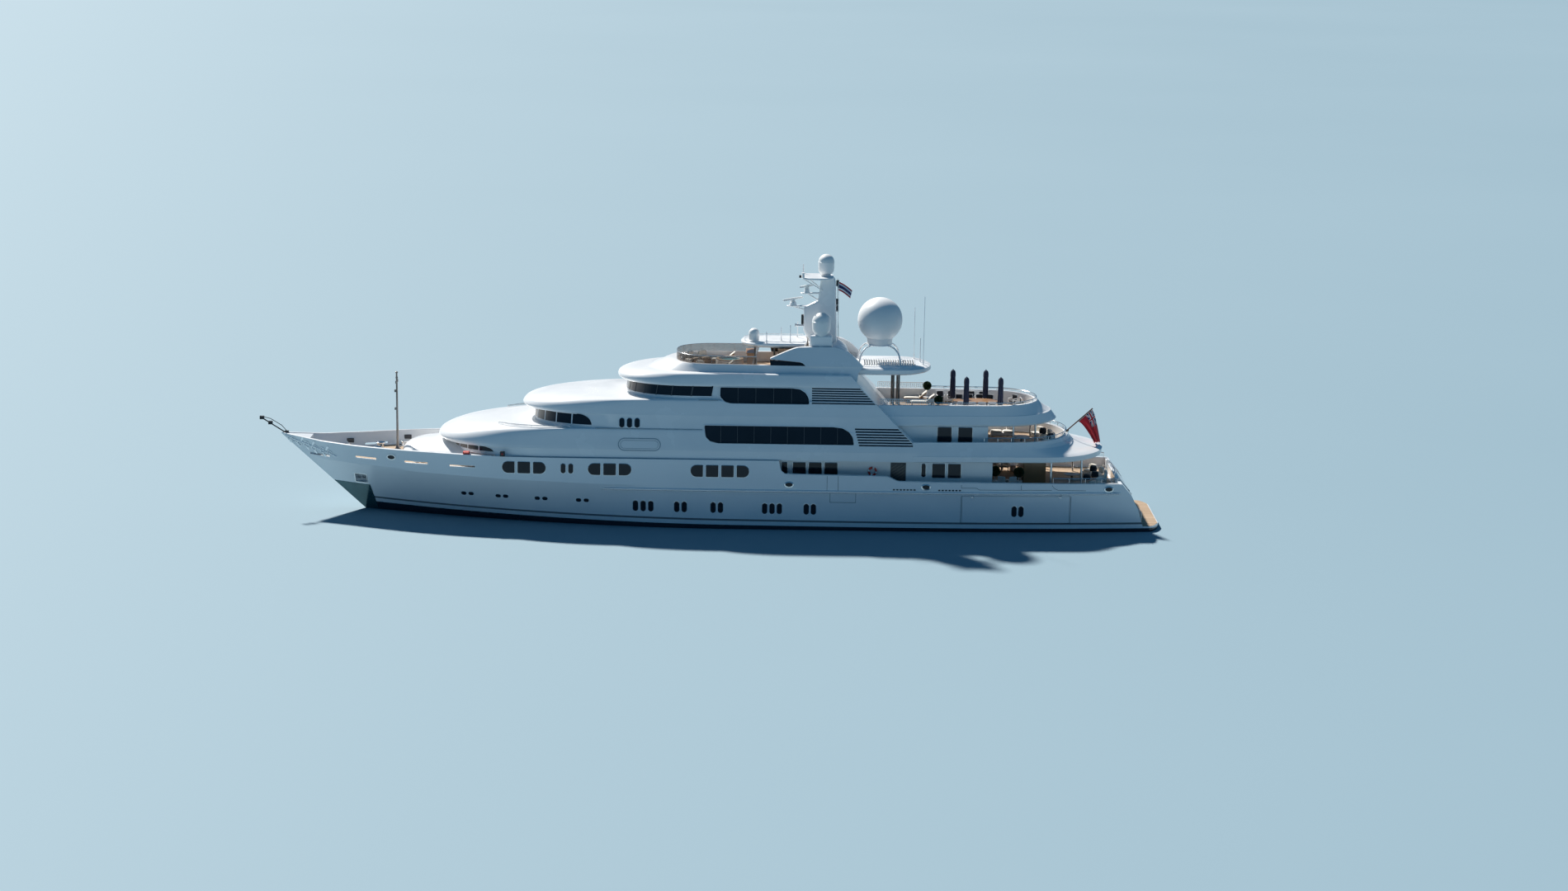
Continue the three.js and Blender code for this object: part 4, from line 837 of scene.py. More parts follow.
def row_of_portholes(wall, first, pitch, count, z, width, height):
    """The panes and the rims of a row of windows with round ends, lying down or upright."""
    panes, rims = [], []
    a, b = width / 2, height / 2
    for x in (first + i * pitch for i in range(count)):
        if width > height:
            outline = stadium(x - a, x + a, z - b, z + b)
        else:
            outline = [(x + v - z, z + u - x) for u, v in stadium(x - b, x + b, z - a, z + a)]
        panes.append(on_wall(outline, wall, -0.03, 0.01))
        rims.append(rim_on_wall(outline, wall, 0.03, 0.028))
    return panes, rims


panes, rims = [], []
for wall, x0, x1, z0, z1, lights, round_fore, round_aft in SALOON_WINDOWS:
    width = (x1 - x0 - LIGHT_GAP * (lights - 1)) / lights
    for i in range(lights):
        start = x0 + i * (width + LIGHT_GAP)
        outline = stadium(start, start + width, z0, z1, round_fore and i == 0, round_aft and i == lights - 1)
        panes.append(on_wall(outline, wall, -0.03, 0.012))
        rims.append(rim_on_wall(outline, wall, 0.035, 0.03))
for row in PORTHOLES:
    more_panes, more_rims = row_of_portholes(*row)
    panes += more_panes
    rims += more_rims
fitted("window_lights", both(*panes), dark_glass)
fitted("window_rims", both(*rims), frame_steel)

# Lines on the sides. A bare oval outline in thin raised grey enamel is on each side of the forward tier, and
# half-round mouldings run where one deck's plating meets the next. The mouldings share that bluish grey,
# which on them is painted shade for the shadow line along each seam.
grey_and_seam_shade = surface("grey enamel and painted seam shade", ((0.30, 0.37, 0.42), (0.34, 0.41, 0.46)), 3, (0.3, 0.4))
for name, corners, width, proud in (("oval_outline", (-7.95, -4.6, 6.46, 7.36), 0.07, 0.02),
                                    ("oval_inner", (-7.8, -4.75, 6.6, 7.22), 0.025, 0.012)):
    fitted(name, both(rim_on_wall(stadium(*corners, steps=14), house_side, width, proud)), grey_and_seam_shade)
# Columns: x of the fore end, x of the aft end, height forward, height aft, depth of the moulding
MOULDINGS = [(-17.9, 5.3, 5.82, 5.80, 0.05), (-9.9, -1.15, 8.16, 8.16, 0.05), (-1.5, 0.1, 10.5, 10.5, 0.04)]
strips = []
for x0, x1, z0, z1, deep in MOULDINGS:
    section = ((-0.05, -0.5), (0.021, -0.5), (0.03, 0), (0.021, 0.5), (-0.05, 0.5))
    strips.append(skin([[(x, house_side(x, z) + out, z + deep * up) for out, up in section]
                        for x, z in zip(steps_between(x0, x1, 60), steps_between(z0, z1, 60))]))
fitted("side_mouldings", both(*strips), grey_and_seam_shade, crease=60)

# The radar arch. Two leaning wings of faired aluminium spring from the sun deck's coaming and meet in the
# base of the mast. Under each wing's long nose a dark glass screen closes the gap.
WING = [(7.4, 13), (6.9, 13.5), (4.15, 13.72), (5.64, 14.34), (6.45, 14.62), (7.6, 14.68), (9.6, 14.68),
        (10.3, 14.5), (11, 14.07), (11.95, 13.15), (11.9, 13)]
WING_ROOT = [(9.9, 13.23), (11.88, 13.21), (11.5, 12.72), (11.38, 12.04), (10.5, 12.6)]
WING_SCREEN = [(4.3, 13.2), (4.25, 13.62), (6.9, 13.42), (7.5, 13.2)]
ARCH_BASE = [(13.2, 7.4, 0.6, 3.4, 3.4, 10.9, 0.6), (13.7, 7.4, 0.6, 3.2, 3.2, 10.8, 0.6),
             (14.2, 7.4, 0.6, 2.95, 2.95, 10.6, 0.6), (14.5, 7.36, 0.6, 2.83, 2.83, 10.2, 0.6),
             (14.68, 7.4, 0.6, 2.7, 2.7, 9.9, 0.6)]
COAMING_Z = 13.2
wing = splayed(side_plate(rounded(WING, 0.25), 3.22, 3.72), 0.5, COAMING_Z)
arch = piece("arch_base", plan_rings(ARCH_BASE), house_white)
carve(arch, [wing, mirrored(wing)], "UNION")
carve(arch, [box(0, 20, -9, 9, 10, COAMING_Z)])
rides(softened(arch, 0.05), "radar_arch")
fitted("wing_roots", both(splayed(side_plate(WING_ROOT, 3.3, 3.66), 0.4, COAMING_Z)), house_white)
fitted("arch_screens", both(splayed(side_plate(WING_SCREEN, 3.32, 3.42), 0.3, COAMING_Z)), dark_glass)

# The radar platform. A thin rounded deck of aluminium ahead of the mast, on two slanted posts, with a low
# toe rail and a few short white aerials.
PLATFORM = [(14.42, 2.2, 2.6, 2, 2, 7.25, 0.3), (14.5, 1.95, 2.7, 2.12, 2.12, 7.28, 0.3),
            (14.6, 1.82, 2.8, 2.2, 2.2, 7.3, 0.3), (14.7, 1.82, 2.8, 2.2, 2.2, 7.3, 0.3),
            (14.78, 1.9, 2.8, 2.14, 2.14, 7.3, 0.3)]
# Columns: x, y, height of the top
AERIALS = [(3.95, -1.9, 15.75), (5.15, -0.6, 15.9), (5.9, -1.7, 16.3), (6.5, 1.2, 16.1)]


def upright(x, y, z0, z1, radius, sides=20):
    return tube([(x, y, z0), (x, y, z1)], radius, sides)


slanted_posts = both(tube([(2.7, 1.3, 12.35), (3.3, 1.3, 14.5)], 0.1, 20))
fitted("radar_deck", [plan_rings(PLATFORM), slanted_posts], house_white, "radar_platform")
toe = [point for point in plan_ring(14.9, 2.05, 2.7, 2.02, 2.02, 7.2) if point[0] < 7.1]
start = max(range(len(toe)), key=lambda i: dist(toe[i], toe[i - 1]))
aerials = [upright(x, y, 14.75, top, 0.035, 10) for x, y, top in AERIALS]
aerials += [upright(x, y, 14.76, 15.05, 0.06, 12) for x, y, _ in AERIALS]
fitted("platform_aerials", [tube(toe[start:] + toe[:start], 0.03), *aerials], house_white, crease=60)

# The hardtop. A flat aluminium roof with a rounded tail aft of the arch, on four posts from the bridge deck.
# An opening in its top is covered by a row of white slats laid across it.
HARDTOP = [(12.45, 11.3, 0.3, 3, 3, 17.2, 2.2), (12.52, 11.3, 0.3, 3.14, 3.14, 17.5, 2.35),
           (12.62, 11.3, 0.3, 3.2, 3.2, 17.6, 2.4), (12.88, 11.3, 0.3, 3.2, 3.2, 17.55, 2.4),
           (12.98, 11.3, 0.3, 3.08, 3.08, 17.3, 2.3)]
hardtop = piece("hardtop_roof", plan_rings(HARDTOP), house_white)
carve(hardtop, [box(11.95, 16.25, -1.3, 1.3, 12, 14)])
rides(softened(hardtop, 0.04), "hardtop")


def new_tree(name, sizes):
    """A geometry tree with a named input for each size. A size of None is the geometry that the tree works
    on."""
    tree = bpy.data.node_groups.new(name, "GeometryNodeTree")
    kinds = {int: "NodeSocketInt", float: "NodeSocketFloat", type(None): "NodeSocketGeometry"}
    for label, value in sizes.items():
        socket = tree.interface.new_socket(label, in_out="INPUT", socket_type=kinds[type(value)])
        if value is not None:
            socket.default_value = value
    tree.interface.new_socket("Finish", in_out="INPUT", socket_type="NodeSocketMaterial")
    tree.interface.new_socket("Geometry", in_out="OUTPUT", socket_type="NodeSocketGeometry")
    return tree, add_node(tree, "NodeGroupInput").outputs


def end_tree(tree, given, geometry):
    real = add_node(tree, "GeometryNodeRealizeInstances", {"Geometry": geometry})
    paint = add_node(tree, "GeometryNodeSetMaterial", {"Geometry": real, "Material": given["Finish"]})
    add_node(tree, "NodeGroupOutput", {"Geometry": paint})
    return tree


def row_of_bars(name):
    """A tree that lays boxes in a row along X. Its sizes are in metres of the model."""
    tree, given = new_tree(name, {"Count": 10, "Pitch": 0.1, "Length": 1.0, "Width": 0.05, "Depth": 0.05})
    size = add_node(tree, "ShaderNodeCombineXYZ",
                    {"X": given["Width"], "Y": given["Length"], "Z": given["Depth"]})
    bar = add_node(tree, "GeometryNodeMeshCube", {"Size": size})
    step = add_node(tree, "ShaderNodeCombineXYZ", {"X": given["Pitch"]})
    row = add_node(tree, "GeometryNodeMeshLine", {"Count": given["Count"], "Offset": step})
    copies = add_node(tree, "GeometryNodeInstanceOnPoints", {"Points": row, "Instance": bar})
    return end_tree(tree, given, copies)


def grown(name, tree, lengths, finish, start=(0, 0, 0), source=None, **counts):
    """Runs a tree on a new object, or on a source mesh, and keeps the result as a plain mesh at the start
    point."""
    made = placed(name, source or bpy.data.meshes.new(name))
    growth = made.modifiers.new("grown", "NODES")
    growth.node_group = tree
    sockets = {item.name: item.identifier for item in tree.interface.items_tree if item.in_out == "INPUT"}
    for label, value in lengths.items():
        growth[sockets[label]] = value * MODEL
    for label, value in counts.items():
        growth[sockets[label]] = value
    growth[sockets["Finish"]] = finish
    mesh = settle(made)
    mesh.transform(Matrix.Translation(Vector(start) * MODEL))
    crisp(mesh)
    mesh.materials.clear()
    mesh.materials.append(finish)
    return made


slats = grown("hardtop_slats", row_of_bars("row of slats"),
              {"Pitch": 0.2, "Length": 2.9, "Width": 0.09, "Depth": 0.16}, house_white, (12, 0, 12.98),
              Count=22)
rides(softened(slats, 0.02, 2))
post_grey = surface("bronze posts", ((0.10, 0.095, 0.09), (0.15, 0.14, 0.13)), 5, (0.25, 0.4),
                    metallic=0.7)
hardtop_posts = [upright(x, 1.9, 9.1, top, radius) for x in (14.45, 14.9)
                 for top, radius in ((12.5, 0.075), (9.2, 0.13))]
fitted("hardtop_posts", both(*hardtop_posts), post_grey, crease=60)

# The mast. A tapering aluminium blade with rounded edges carries two radar shelves, a spreader with the top
# dome, navigation lights in dark housings, small aerials, and a ladder on its after edge.
# Columns: height, x of the fore edge, x of the aft edge, half-breadth
MAST = [(14.68, 7.42, 9.75, 0.5), (14.9, 7.4, 9.74, 0.49), (15.25, 7.15, 9.73, 0.475),
        (15.6, 6.97, 9.72, 0.46), (17.45, 6.97, 9.66, 0.375), (17.65, 7.2, 9.66, 0.365),
        (17.89, 7.65, 9.65, 0.355), (18.1, 8.1, 9.64, 0.345), (18.4, 8.17, 9.63, 0.33),
        (19.7, 8.33, 9.58, 0.275), (19.9, 8.35, 9.53, 0.27), (20, 8.35, 9.5, 0.265)]
# Columns: x, height of the shelf, height of the axle's top, half-length of the bar, turn in degrees,
# pedestal's radius
SCANNERS = {"lower": (6.08, 17.66, 18.12, 1.25, 50, 0.3), "upper": (7.2, 18.74, 19.2, 0.9, 52, 0.24)}


def squared_off(value, power):
    return copysign(abs(value) ** (2 / power), value)


def oval_ring(z, fore, aft, half, power=5, steps=40):
    middle, reach = (fore + aft) / 2, (aft - fore) / 2
    return [(middle + reach * squared_off(c, power), half * squared_off(s, power), z)
            for c, s in circle(steps)]


def shelf(x0, x1, half, z0, z1):
    return skin([oval_ring(z, x0 + trim, x1, half - trim, 4)
                 for z, trim in ((z0, 0.04), (z0 + 0.04, 0), (z1 - 0.03, 0), (z1, 0.04))])


fitted("mast_blade", skin([oval_ring(*row) for row in MAST]), house_white, "mast")
shelves = [shelf(6.75, 9.4, 1.5, 19.98, 20.14), both(tube([(7.0, 1.2, 20), (8.6, 0.25, 18.9)], 0.05, 10))]
for x, deck, axle, reach, turn, foot in SCANNERS.values():
    shelves.append(shelf(x - 0.5, 8.6, 0.24, deck - 0.1, deck))
    profile = [(0, 0), (foot * 1.1, 0), (foot, 0.05), (foot * 0.85, 0.26), (foot * 0.75, 0.3), (0, 0.3)]
    shelves.append(turned(profile, x, 0, deck - 0.01))
    shelves.append(tube([(x + 0.1, 0, deck - 0.1), (8.4, 0, deck - 0.75)], 0.06, 12))
shelves.append(turned([(0, 0), (0.1, 0), (0.1, 0.35), (0.16, 0.38), (0.16, 0.42), (0, 0.46)], 6.9, -1.2,
                      20.13, 16))
shelves.append(turned([(0, 0), (0.06, 0), (0.06, 0.5), (0.04, 0.8), (0, 0.82)], 6.9, 1.2, 20.13, 16))
fitted("mast_shelves", shelves, house_white, edge=(0.015, 2))
# Black for lamp housings and other dark fittings; the fairlead throats and scupper slots use it as painted
# shade for their holes.
black_and_hole_shade = surface("black housings and painted hole shade", ((0.015, 0.016, 0.018), (0.03, 0.03, 0.034)), 20, (0.35, 0.55))
lamps = [box(9.62, 9.86, -0.12, 0.12, z, z + 0.5) for z in (17.2, 17.75, 19.3)]
lamps += [box(6.78, 6.98, -0.14, 0.14, 16.1, 16.9), box(6.55, 6.75, -1.32, -1.08, 20.14, 20.34)]
fitted("mast_lamps", lamps, black_and_hole_shade, edge=(0.03, 2))
HORN_FLARE = [(6.5, 0.05), (6.38, 0.07), (6.28, 0.12), (6.27, 0.13)]
horn = [tube([(6.5, 0.2, 16.0), (7.05, 0.2, 16.0)], 0.05, 12),
        skin([[(x, 0.2 + r * c, 16 + r * s) for c, s in circle(20)] for x, r in HORN_FLARE])]
fitted("mast_horns", both(*horn), frame_steel, crease=60)
ladder = [tube([(9.82, -0.2, z / 10), (9.82, 0.2, z / 10)], 0.018, 6) for z in range(150, 196, 3)]
ladder += [both(tube([(9.5, 0.2, z), (9.82, 0.2, z)], 0.018, 6)) for z in (15, 17.3, 19.4)]
ladder.append(both(upright(9.82, 0.2, 14.75, 19.7, 0.022, 6)))
fitted("mast_ladder", ladder, frame_steel, crease=60)

# The scanners. Each is a gelcoat bar with tapering ends on a turning boss.
# Columns of a bar: place along it, half-breadth, underside, top
SCANNER_BAR = [(-1, 0.05, 0.05, 0.11), (-0.97, 0.085, 0.01, 0.15), (-0.2, 0.1, 0, 0.17), (0.2, 0.1, 0, 0.17),
               (0.97, 0.085, 0.01, 0.15), (1, 0.05, 0.05, 0.11)]
gelcoat = surface("white gelcoat", ((0.80, 0.80, 0.79), (0.86, 0.86, 0.85)), 1.2, (0.28, 0.4),
                  coat=0.2)


def spun(shape, degrees):
    """Turns a shape about the upright axis."""
    c, s = cos(radians(degrees)), sin(radians(degrees))
    return [(x * c - y * s, x * s + y * c, z) for x, y, z in shape[0]], shape[1]


for word, (x, deck, axle, reach, turn, foot) in SCANNERS.items():
    bar = skin([[(along * reach, y, z) for y, z in rounded(
        [(-wide, low), (wide, low), (wide * 0.8, high), (-wide * 0.8, high)], 0.03, 3)]
        for along, wide, low, high in SCANNER_BAR])
    arm = together(bar, turned([(0, -0.4), (0.08, -0.4), (0.08, 0.02), (0, 0.02)], 0, 0, 0, 20),
                   turned([(0, -0.13), (0.2, -0.13), (0.18, -0.02), (0.12, 0.03), (0, 0.03)], 0, 0, 0, 24))
    node = f"scanner_{word}"
    fitted(f"radar_bar_{word}", moved(spun(arm, turn), x, 0, axle), gelcoat, node, body=node,
           slot="scanner_shell")

# Domes for satellite aerials. Each is a gelcoat shell in two halves with a bolted seam, on a flared pedestal.
# Columns: node, x, y, foot, radius, share of the neck, height of the stalk, height
DOMES = [("top_dome", 8.78, 0, 20.14, 0.66, 0.55, 0.24, 1.82),
         ("mast_dome_port", 8.42, -2.2, 14.68, 0.75, 0.62, 1.1, 2.75),
         ("mast_dome_starboard", 8.42, 2.2, 14.68, 0.75, 0.62, 1.1, 2.75),
         ("small_dome", 2.9, -1, 14.78, 0.44, 0.92, 0.08, 1.1)]


def cap(radius, first, middle=0):
    """The profile of a ball from an angle above its middle, or below it, up to the top."""
    return [(radius * cos(radians(a)), middle + radius * sin(radians(a))) for a in range(first, 90, 6)] + [
        (0, middle + radius)]


for node, x, y, z, radius, neck, stalk, height in DOMES:
    low = [(0.2, 0), (0.2, 0.05), (0.04, 0.08), (0, stalk * 0.55), (0.12, stalk * 0.8), (0.56, stalk),
           (0.84, stalk + 0.12), (0.97, stalk + 0.28)]
    profile = [(0, 0)] + [(radius * (neck + (1 - neck) * share), z0) for share, z0 in low]
    middle = height - radius
    profile += [(radius * wide, middle + up)
                for wide, up in ((1, -0.03), (1.02, -0.02), (1.02, 0.02), (1, 0.03))]
    fitted(node.replace("dome", "radome_shell"), turned(profile + cap(radius, 6, middle), x, y, z, 56),
           gelcoat, node)
fitted("dome_plinths", both(box(7.5, 9.34, 1.68, 2.72, 14.66, 15.58)), house_white, edge=(0.14, 4),
       slot="dome_shell")

# The large radome. A gelcoat ball of bonded panels on a ring, which stands on four bent tubes over the
# hardtop.
RADOME = {"x": 13.3, "base": 14.58, "radius": 1.85, "middle": 16.57}
panel_white = surface("radome panels", ((0.74, 0.75, 0.76), (0.82, 0.82, 0.82)), 0.9,
                      (0.35, 0.45), bump=0.15)
low = RADOME["base"] - RADOME["middle"]
ball = [(0, low), (1, low), (1.03, low + 0.05), (1.05, low + 0.36)] + cap(RADOME["radius"], -54)
fitted("radome_ball", turned(ball, RADOME["x"], 0, RADOME["middle"], 72), panel_white, "radome")
ring_profile = [(0, 14.46), (1.0, 14.46), (1.03, 14.48), (1.03, 14.56), (1.0, 14.58), (0, 14.58)]
stand = [turned(ring_profile, RADOME["x"], 0, 0, 48)]
# Columns: share of the spread fore and aft, share of the spread sideways, height
LEG = [(1, 1, 12.98), (0.98, 1, 13.35), (0.9, 0.94, 13.9), (0.68, 0.74, 14.34), (0.4, 0.44, 14.5)]
for along in (-1.7, 1.7):
    stand.append(both(tube(eased([(RADOME["x"] + along * a, 1.5 * b, z) for a, b, z in LEG], 6), 0.07, 16)))
fitted("radome_legs", stand, house_white, "radome_stand", crease=60)
whips = [tube([(16.26, 2, 12.95), (16.26, 2, 13.5), (16.26, 2, 17.3)], 0.022, 8),
         tube([(16.9, -1, 12.9), (16.9, -1, 13.6), (16.92, -1, 18.7)], 0.022, 8),
         upright(16.7, 0.4, 12.95, 15, 0.03, 8)]
whips += [upright(x, y, 12.95, 13.4, 0.05, 12) for x, y in ((16.26, 2), (16.9, -1), (16.7, 0.4))]
fitted("whip_aerials", whips, house_white, crease=60)

# The air intakes. A dark plate with a mesh relief lies behind the slots of each louvred panel; its near-black
# colour is painted shade for the hollow of the intake.
intake_shade_black = surface("intake painted shade", ((0.012, 0.02, 0.035), (0.03, 0.045, 0.065)), 60, (0.5, 0.7),
                     bump=0.4)
backs = []
for fore_low, fore_high, low, high, y, _ in INTAKES.values():
    margin = SLOT_MARGIN + 0.05
    outline = [(fore_low - 0.02, low + 0.02), (rake_at(low) - margin, low + 0.02),
               (rake_at(high) - margin, high - 0.03), (fore_high - 0.02, high - 0.03)]
    backs.append(leaning(side_plate(outline, y - 0.14, y - 0.1), low))
fitted("intake_shade_plates", both(*backs), intake_shade_black)

# The shell doors of the tender garage. Each is a curved leaf of plating, flush with the side, with a frame
# round its edge. It hangs from two pins under the rub rail and lifts outwards.
HINGE = {"stations": (20.9, 28.1), "pin": 0.018, "knuckle": 0.038, "half": 0.12, "lug": 0.08, "above": 0.015}
HINGE_Z = DOOR["high"] + HINGE["above"]
HINGE_MIDDLE = (DOOR["fore"] + DOOR["aft"]) / 2
HINGE_RISE = half_at(DOOR["aft"], DOOR["high"]) - half_at(DOOR["fore"], DOOR["high"])
HINGE_SLOPE = HINGE_RISE / (DOOR["aft"] - DOOR["fore"])


def hinge_y(x):
    return half_at(HINGE_MIDDLE, DOOR["high"]) + 0.03 + HINGE_SLOPE * (x - HINGE_MIDDLE)


def hinge_bar(x0, x1, radius):
    return tube([(x0, hinge_y(x0), HINGE_Z), (x1, hinge_y(x1), HINGE_Z)], radius, 20)


leaf = side_band(DOOR["fore"], DOOR["aft"], DOOR["low"], DOOR["high"], 0, DOOR["thick"], 40)
fittings, lugs = [], []
half, lug = HINGE["half"], HINGE["lug"]
for x in HINGE["stations"]:
    fittings += [hinge_bar(x - half, x + half, HINGE["knuckle"]),
                 hinge_bar(x - half - lug, x + half + lug, HINGE["pin"]),
                 box(x - half + 0.02, x + half - 0.02, half_at(x, DOOR["high"]) - 0.08, hinge_y(x) + 0.02,
                     DOOR["high"] - 0.1, DOOR["high"])]
    for x0 in (x - half - lug - 0.001, x + half + 0.001):
        x1 = x0 + lug
        lugs.append(hinge_bar(x0, x1, HINGE["knuckle"]))
        lugs.append(box(x0 + 0.02, x1 - 0.02, hinge_y(x1) - 0.03, hinge_y(x0) + 0.03, HINGE_Z, 3.25))
door_panes, door_rims = row_of_portholes(half_at, 24.37, 0.56, 2, 1.79, 0.4, 0.9)
for word, hand in SIDES:
    body = f"garage_door_{word}"
    fitted(f"shell_door_{word}", hand(leaf), hull_white, body, crease=20, body=body)
    fitted(f"shell_door_pins_{word}", hand(together(*fittings)), frame_steel, crease=40, body=body)
    fitted(f"shell_door_lights_{word}", hand(together(*door_panes)), dark_glass, body=body)
    fitted(f"shell_door_rims_{word}", hand(together(*door_rims)), frame_steel, body=body)
fitted("door_lugs", both(*lugs), hull_white, crease=40)

# Trim along the hull. A half-round rub rail of steel runs aft along the deck edge, flat-bar bilge keels are
# welded along the turn of the bilge, and a rounded cap closes the top of each bulwark.
rail_rings = []
for k, x in enumerate(steps_between(-9.4, 33.1, 120)):
    fade = min(1, 0.25 + k / 6, 0.25 + (120 - k) / 6)
    ring = []
    for turn in (radians(-90 + 22.5 * step) for step in range(9)):
        z = 3.31 + 0.11 * sin(turn)
        ring.append((x, half_at(x, z) + 0.16 * fade * cos(turn) ** 0.7, z))
    rail_rings.append(ring + [(x, half_at(x, z) - 0.1, z) for z in (3.42, 3.2)])
fitted("rub_rail", both(skin(rail_rings)), hull_white, crease=60)
bilge = half_at(1.5, 0) * 0.86
BILGE_KEEL = [(bilge - 0.3, -2.9), (bilge + 0.32, -3.5), (bilge + 0.36, -3.46), (bilge - 0.2, -2.8)]
keel_bar = skin([[(x, y, z) for y, z in BILGE_KEEL] for x in steps_between(1.5, 12.7, 8)])
fitted("bilge_keels", both(keel_bar), hull_white, slot="antifouling")


def bulwark_cap(x0, x1, inset, height, steps):
    rings = []
    for x in steps_between(x0, x1, steps):
        z = between(SIDE_TOP, x)
        outer, inner = half_at(x, z) + 0.03, max(0.0, half_at(x, z) - inset - 0.03)
        rings.append([(x, inner, z - 0.01), (x, outer, z - 0.01), (x, outer + 0.01, z + height * 0.5),
                      (x, outer - 0.03, z + height), (x, inner + 0.02, z + height)])
    return skin(rings)


caps = [bulwark_cap(-36.38, -18.3, BULWARK, 0.05, 90), bulwark_cap(5.8, 33.1, BULWARK, 0.05, 120)]
fitted("bulwark_caps", both(*caps), house_white, crease=50)

# Fittings let into the side. Polished fairleads, long freeing ports that show the bright deck behind, scupper
# slots above the rub rail, and the frames of the anchor pockets. The dark throats of the fairleads and the
# dark scupper slots are flat black discs and slots on the plating: painted shade for the holes.
# Columns: x of the fore end, x of the aft end, height forward, height aft, depth
FREEING_PORTS = [(-34, -32.2, 4.72, 4.68, 0.17), (-29.85, -28.05, 4.97, 4.9, 0.17),
                 (-25.6, -23.65, 4.95, 4.88, 0.17), (-21.8, -19.7, 4.87, 4.82, 0.14)]
FAIRLEADS = [(-26.74, 5.21), (5.95, 3.86), (17.11, 3.8), (32.1, 3.66)]
SCUPPERS = [(14.4 + 0.28 * i, 3.55) for i in range(7)] + [(18.1 + 0.28 * i, 3.54) for i in range(7)]


def spaced_ring(corners, steps=6):
    """The outline of a polygon with more points along each side."""
    out = []
    for (x0, z0), (x1, z1) in zip(corners, corners[1:] + corners[:1]):
        out += list(zip(steps_between(x0, x1, steps), steps_between(z0, z1, steps)))[:-1]
    return out


openings, rims, hole_shade = [], [], []
for x0, x1, fore_z, aft_z, depth in FREEING_PORTS:
    z0, z1 = (fore_z + aft_z - depth) / 2, (fore_z + aft_z + depth) / 2
    port = side_band(x0, x1, z0, z1, -0.3, 0.5, 6)
    openings += [port, mirrored(port)]
    rims.append(rim_on_wall(spaced_ring([(x0, z0), (x1, z0), (x1, z1), (x0, z1)]), half_at, 0.035, 0.02))
carve(hull, openings, crease=16)
for x, z in FAIRLEADS:
    outline = [(x + 0.3 * c, z + 0.17 * s) for c, s in circle(28)]
    hole_shade.append(on_wall(outline, half_at, -0.03, 0.015))
    rims.append(rim_on_wall(outline, half_at, 0.09, 0.06))
for x, z in SCUPPERS:
    hole_shade.append(on_wall(stadium(x, x + 0.2, z - 0.06, z + 0.06, steps=5), half_at, -0.03, 0.012))
pocket_edge = rounded([(-30.1, 2.5), (-29.1, 2.5), (-29.1, 3.3), (-30.1, 3.3)], 0.08, 3)
rims.append(rim_on_wall(pocket_edge, half_at, 0.08, 0.03))
polished = surface("polished steel", ((0.62, 0.63, 0.64), (0.78, 0.79, 0.8)), 3, (0.06, 0.16),
                   metallic=1)
# Flat black discs and slots on the plating are painted shade inside the fairleads and scuppers.
fitted("painted_hole_shade", both(*hole_shade), black_and_hole_shade)
fitted("fairlead_rings", both(*rims), polished)

# The stem plate. Polished steel on the forefoot keeps the anchor chain off the paint. Its dark teal colour is
# a painted reflection of the sea.
stem_sea_reflection = surface("stem plate painted sea reflection", ((0.015, 0.075, 0.09), (0.04, 0.115, 0.13)), 1.2, (0.08, 0.2),
                     metallic=0.55, coat=0.5)
plate_rings = []
for z in steps_between(-0.35, 2.35, 24):
    row = steps_between(STEM_X - max(0, z) / STEM_SLOPE + 0.02, -28.36 - 0.23 * (z - 0.13), 16)
    plate_rings.append([(x, half_at(x, z) + 0.02, z) for x in row]
                       + [(x, max(0, half_at(x, z) - 0.05), z) for x in reversed(row)])
fitted("stem_plate", both(skin(plate_rings)), stem_sea_reflection)

# The scrollwork under the bow sheer. A generic spray of scrolls and leaves, bent from polished steel rod
# and flat leaves, and screwed to the plating on both sides.
# Columns: x, height, size, turns, lean in degrees, hand
SCROLLS = [(-35.55, 5.95, 0.22, 1.2, 200, 1), (-35.1, 5.75, 0.3, 1.3, 150, -1),
           (-34.5, 5.62, 0.34, 1.3, 200, 1), (-33.9, 5.35, 0.36, 1.25, 140, -1),
           (-33.2, 5.3, 0.34, 1.3, 190, 1), (-32.6, 5.0, 0.3, 1.2, 130, -1),
           (-32.0, 4.98, 0.24, 1.2, 180, 1)]
SPINE = [(-36.1, 6.15), (-35.2, 5.85), (-34, 5.5), (-32.8, 5.15), (-31.6, 4.75)]
# Columns: x, height, lean in degrees
LEAVES = [(-35.7, 5.7, -50), (-35, 5.4, -50), (-34.2, 5.2, -50), (-33.5, 4.95, -50), (-32.7, 4.75, -50),
          (-34.6, 5.95, 60), (-33.6, 5.68, 60), (-32.4, 5.35, 60)]


def scroll(x, z, size, turns, lean, flip, steps=26):
    """A rod that leaves its foot straight and winds into a spiral, laid on the hull's side."""
    points = []
    for t in steps_between(0, 1, steps):
        turn = lean + flip * turns * 2 * pi * t
        reach = size * (1 - 0.82 * t)
        points.append((x + size * cos(lean) - reach * cos(turn), z + size * sin(lean) - reach * sin(turn)))
    return laid(points)


def laid(points):
    return [(x, half_at(x, z) + 0.03, z) for x, z in points]


rods = [tube(scroll(x, z, size, turns, radians(angle), flip), 0.035, 8)
        for x, z, size, turns, angle, flip in SCROLLS]
rods.append(tube(laid(eased(SPINE, 6)), 0.045, 8))
for x, z, angle in LEAVES:
    c, s = cos(radians(angle)), sin(radians(angle))
    leafy = [(0.26 * a, 0.085 * b * (1 + 0.5 * a)) for a, b in circle(20)]
    rods.append(on_wall([(x + a * c - b * s, z + a * s + b * c) for a, b in leafy], half_at, 0.0, 0.05))
bright_relief = surface("bright relief", ((0.82, 0.83, 0.85), (0.95, 0.96, 0.97)), 5, (0.12, 0.28),
                        metallic=0.8)
fitted("bow_scrolls", both(*rods), bright_relief, crease=50)

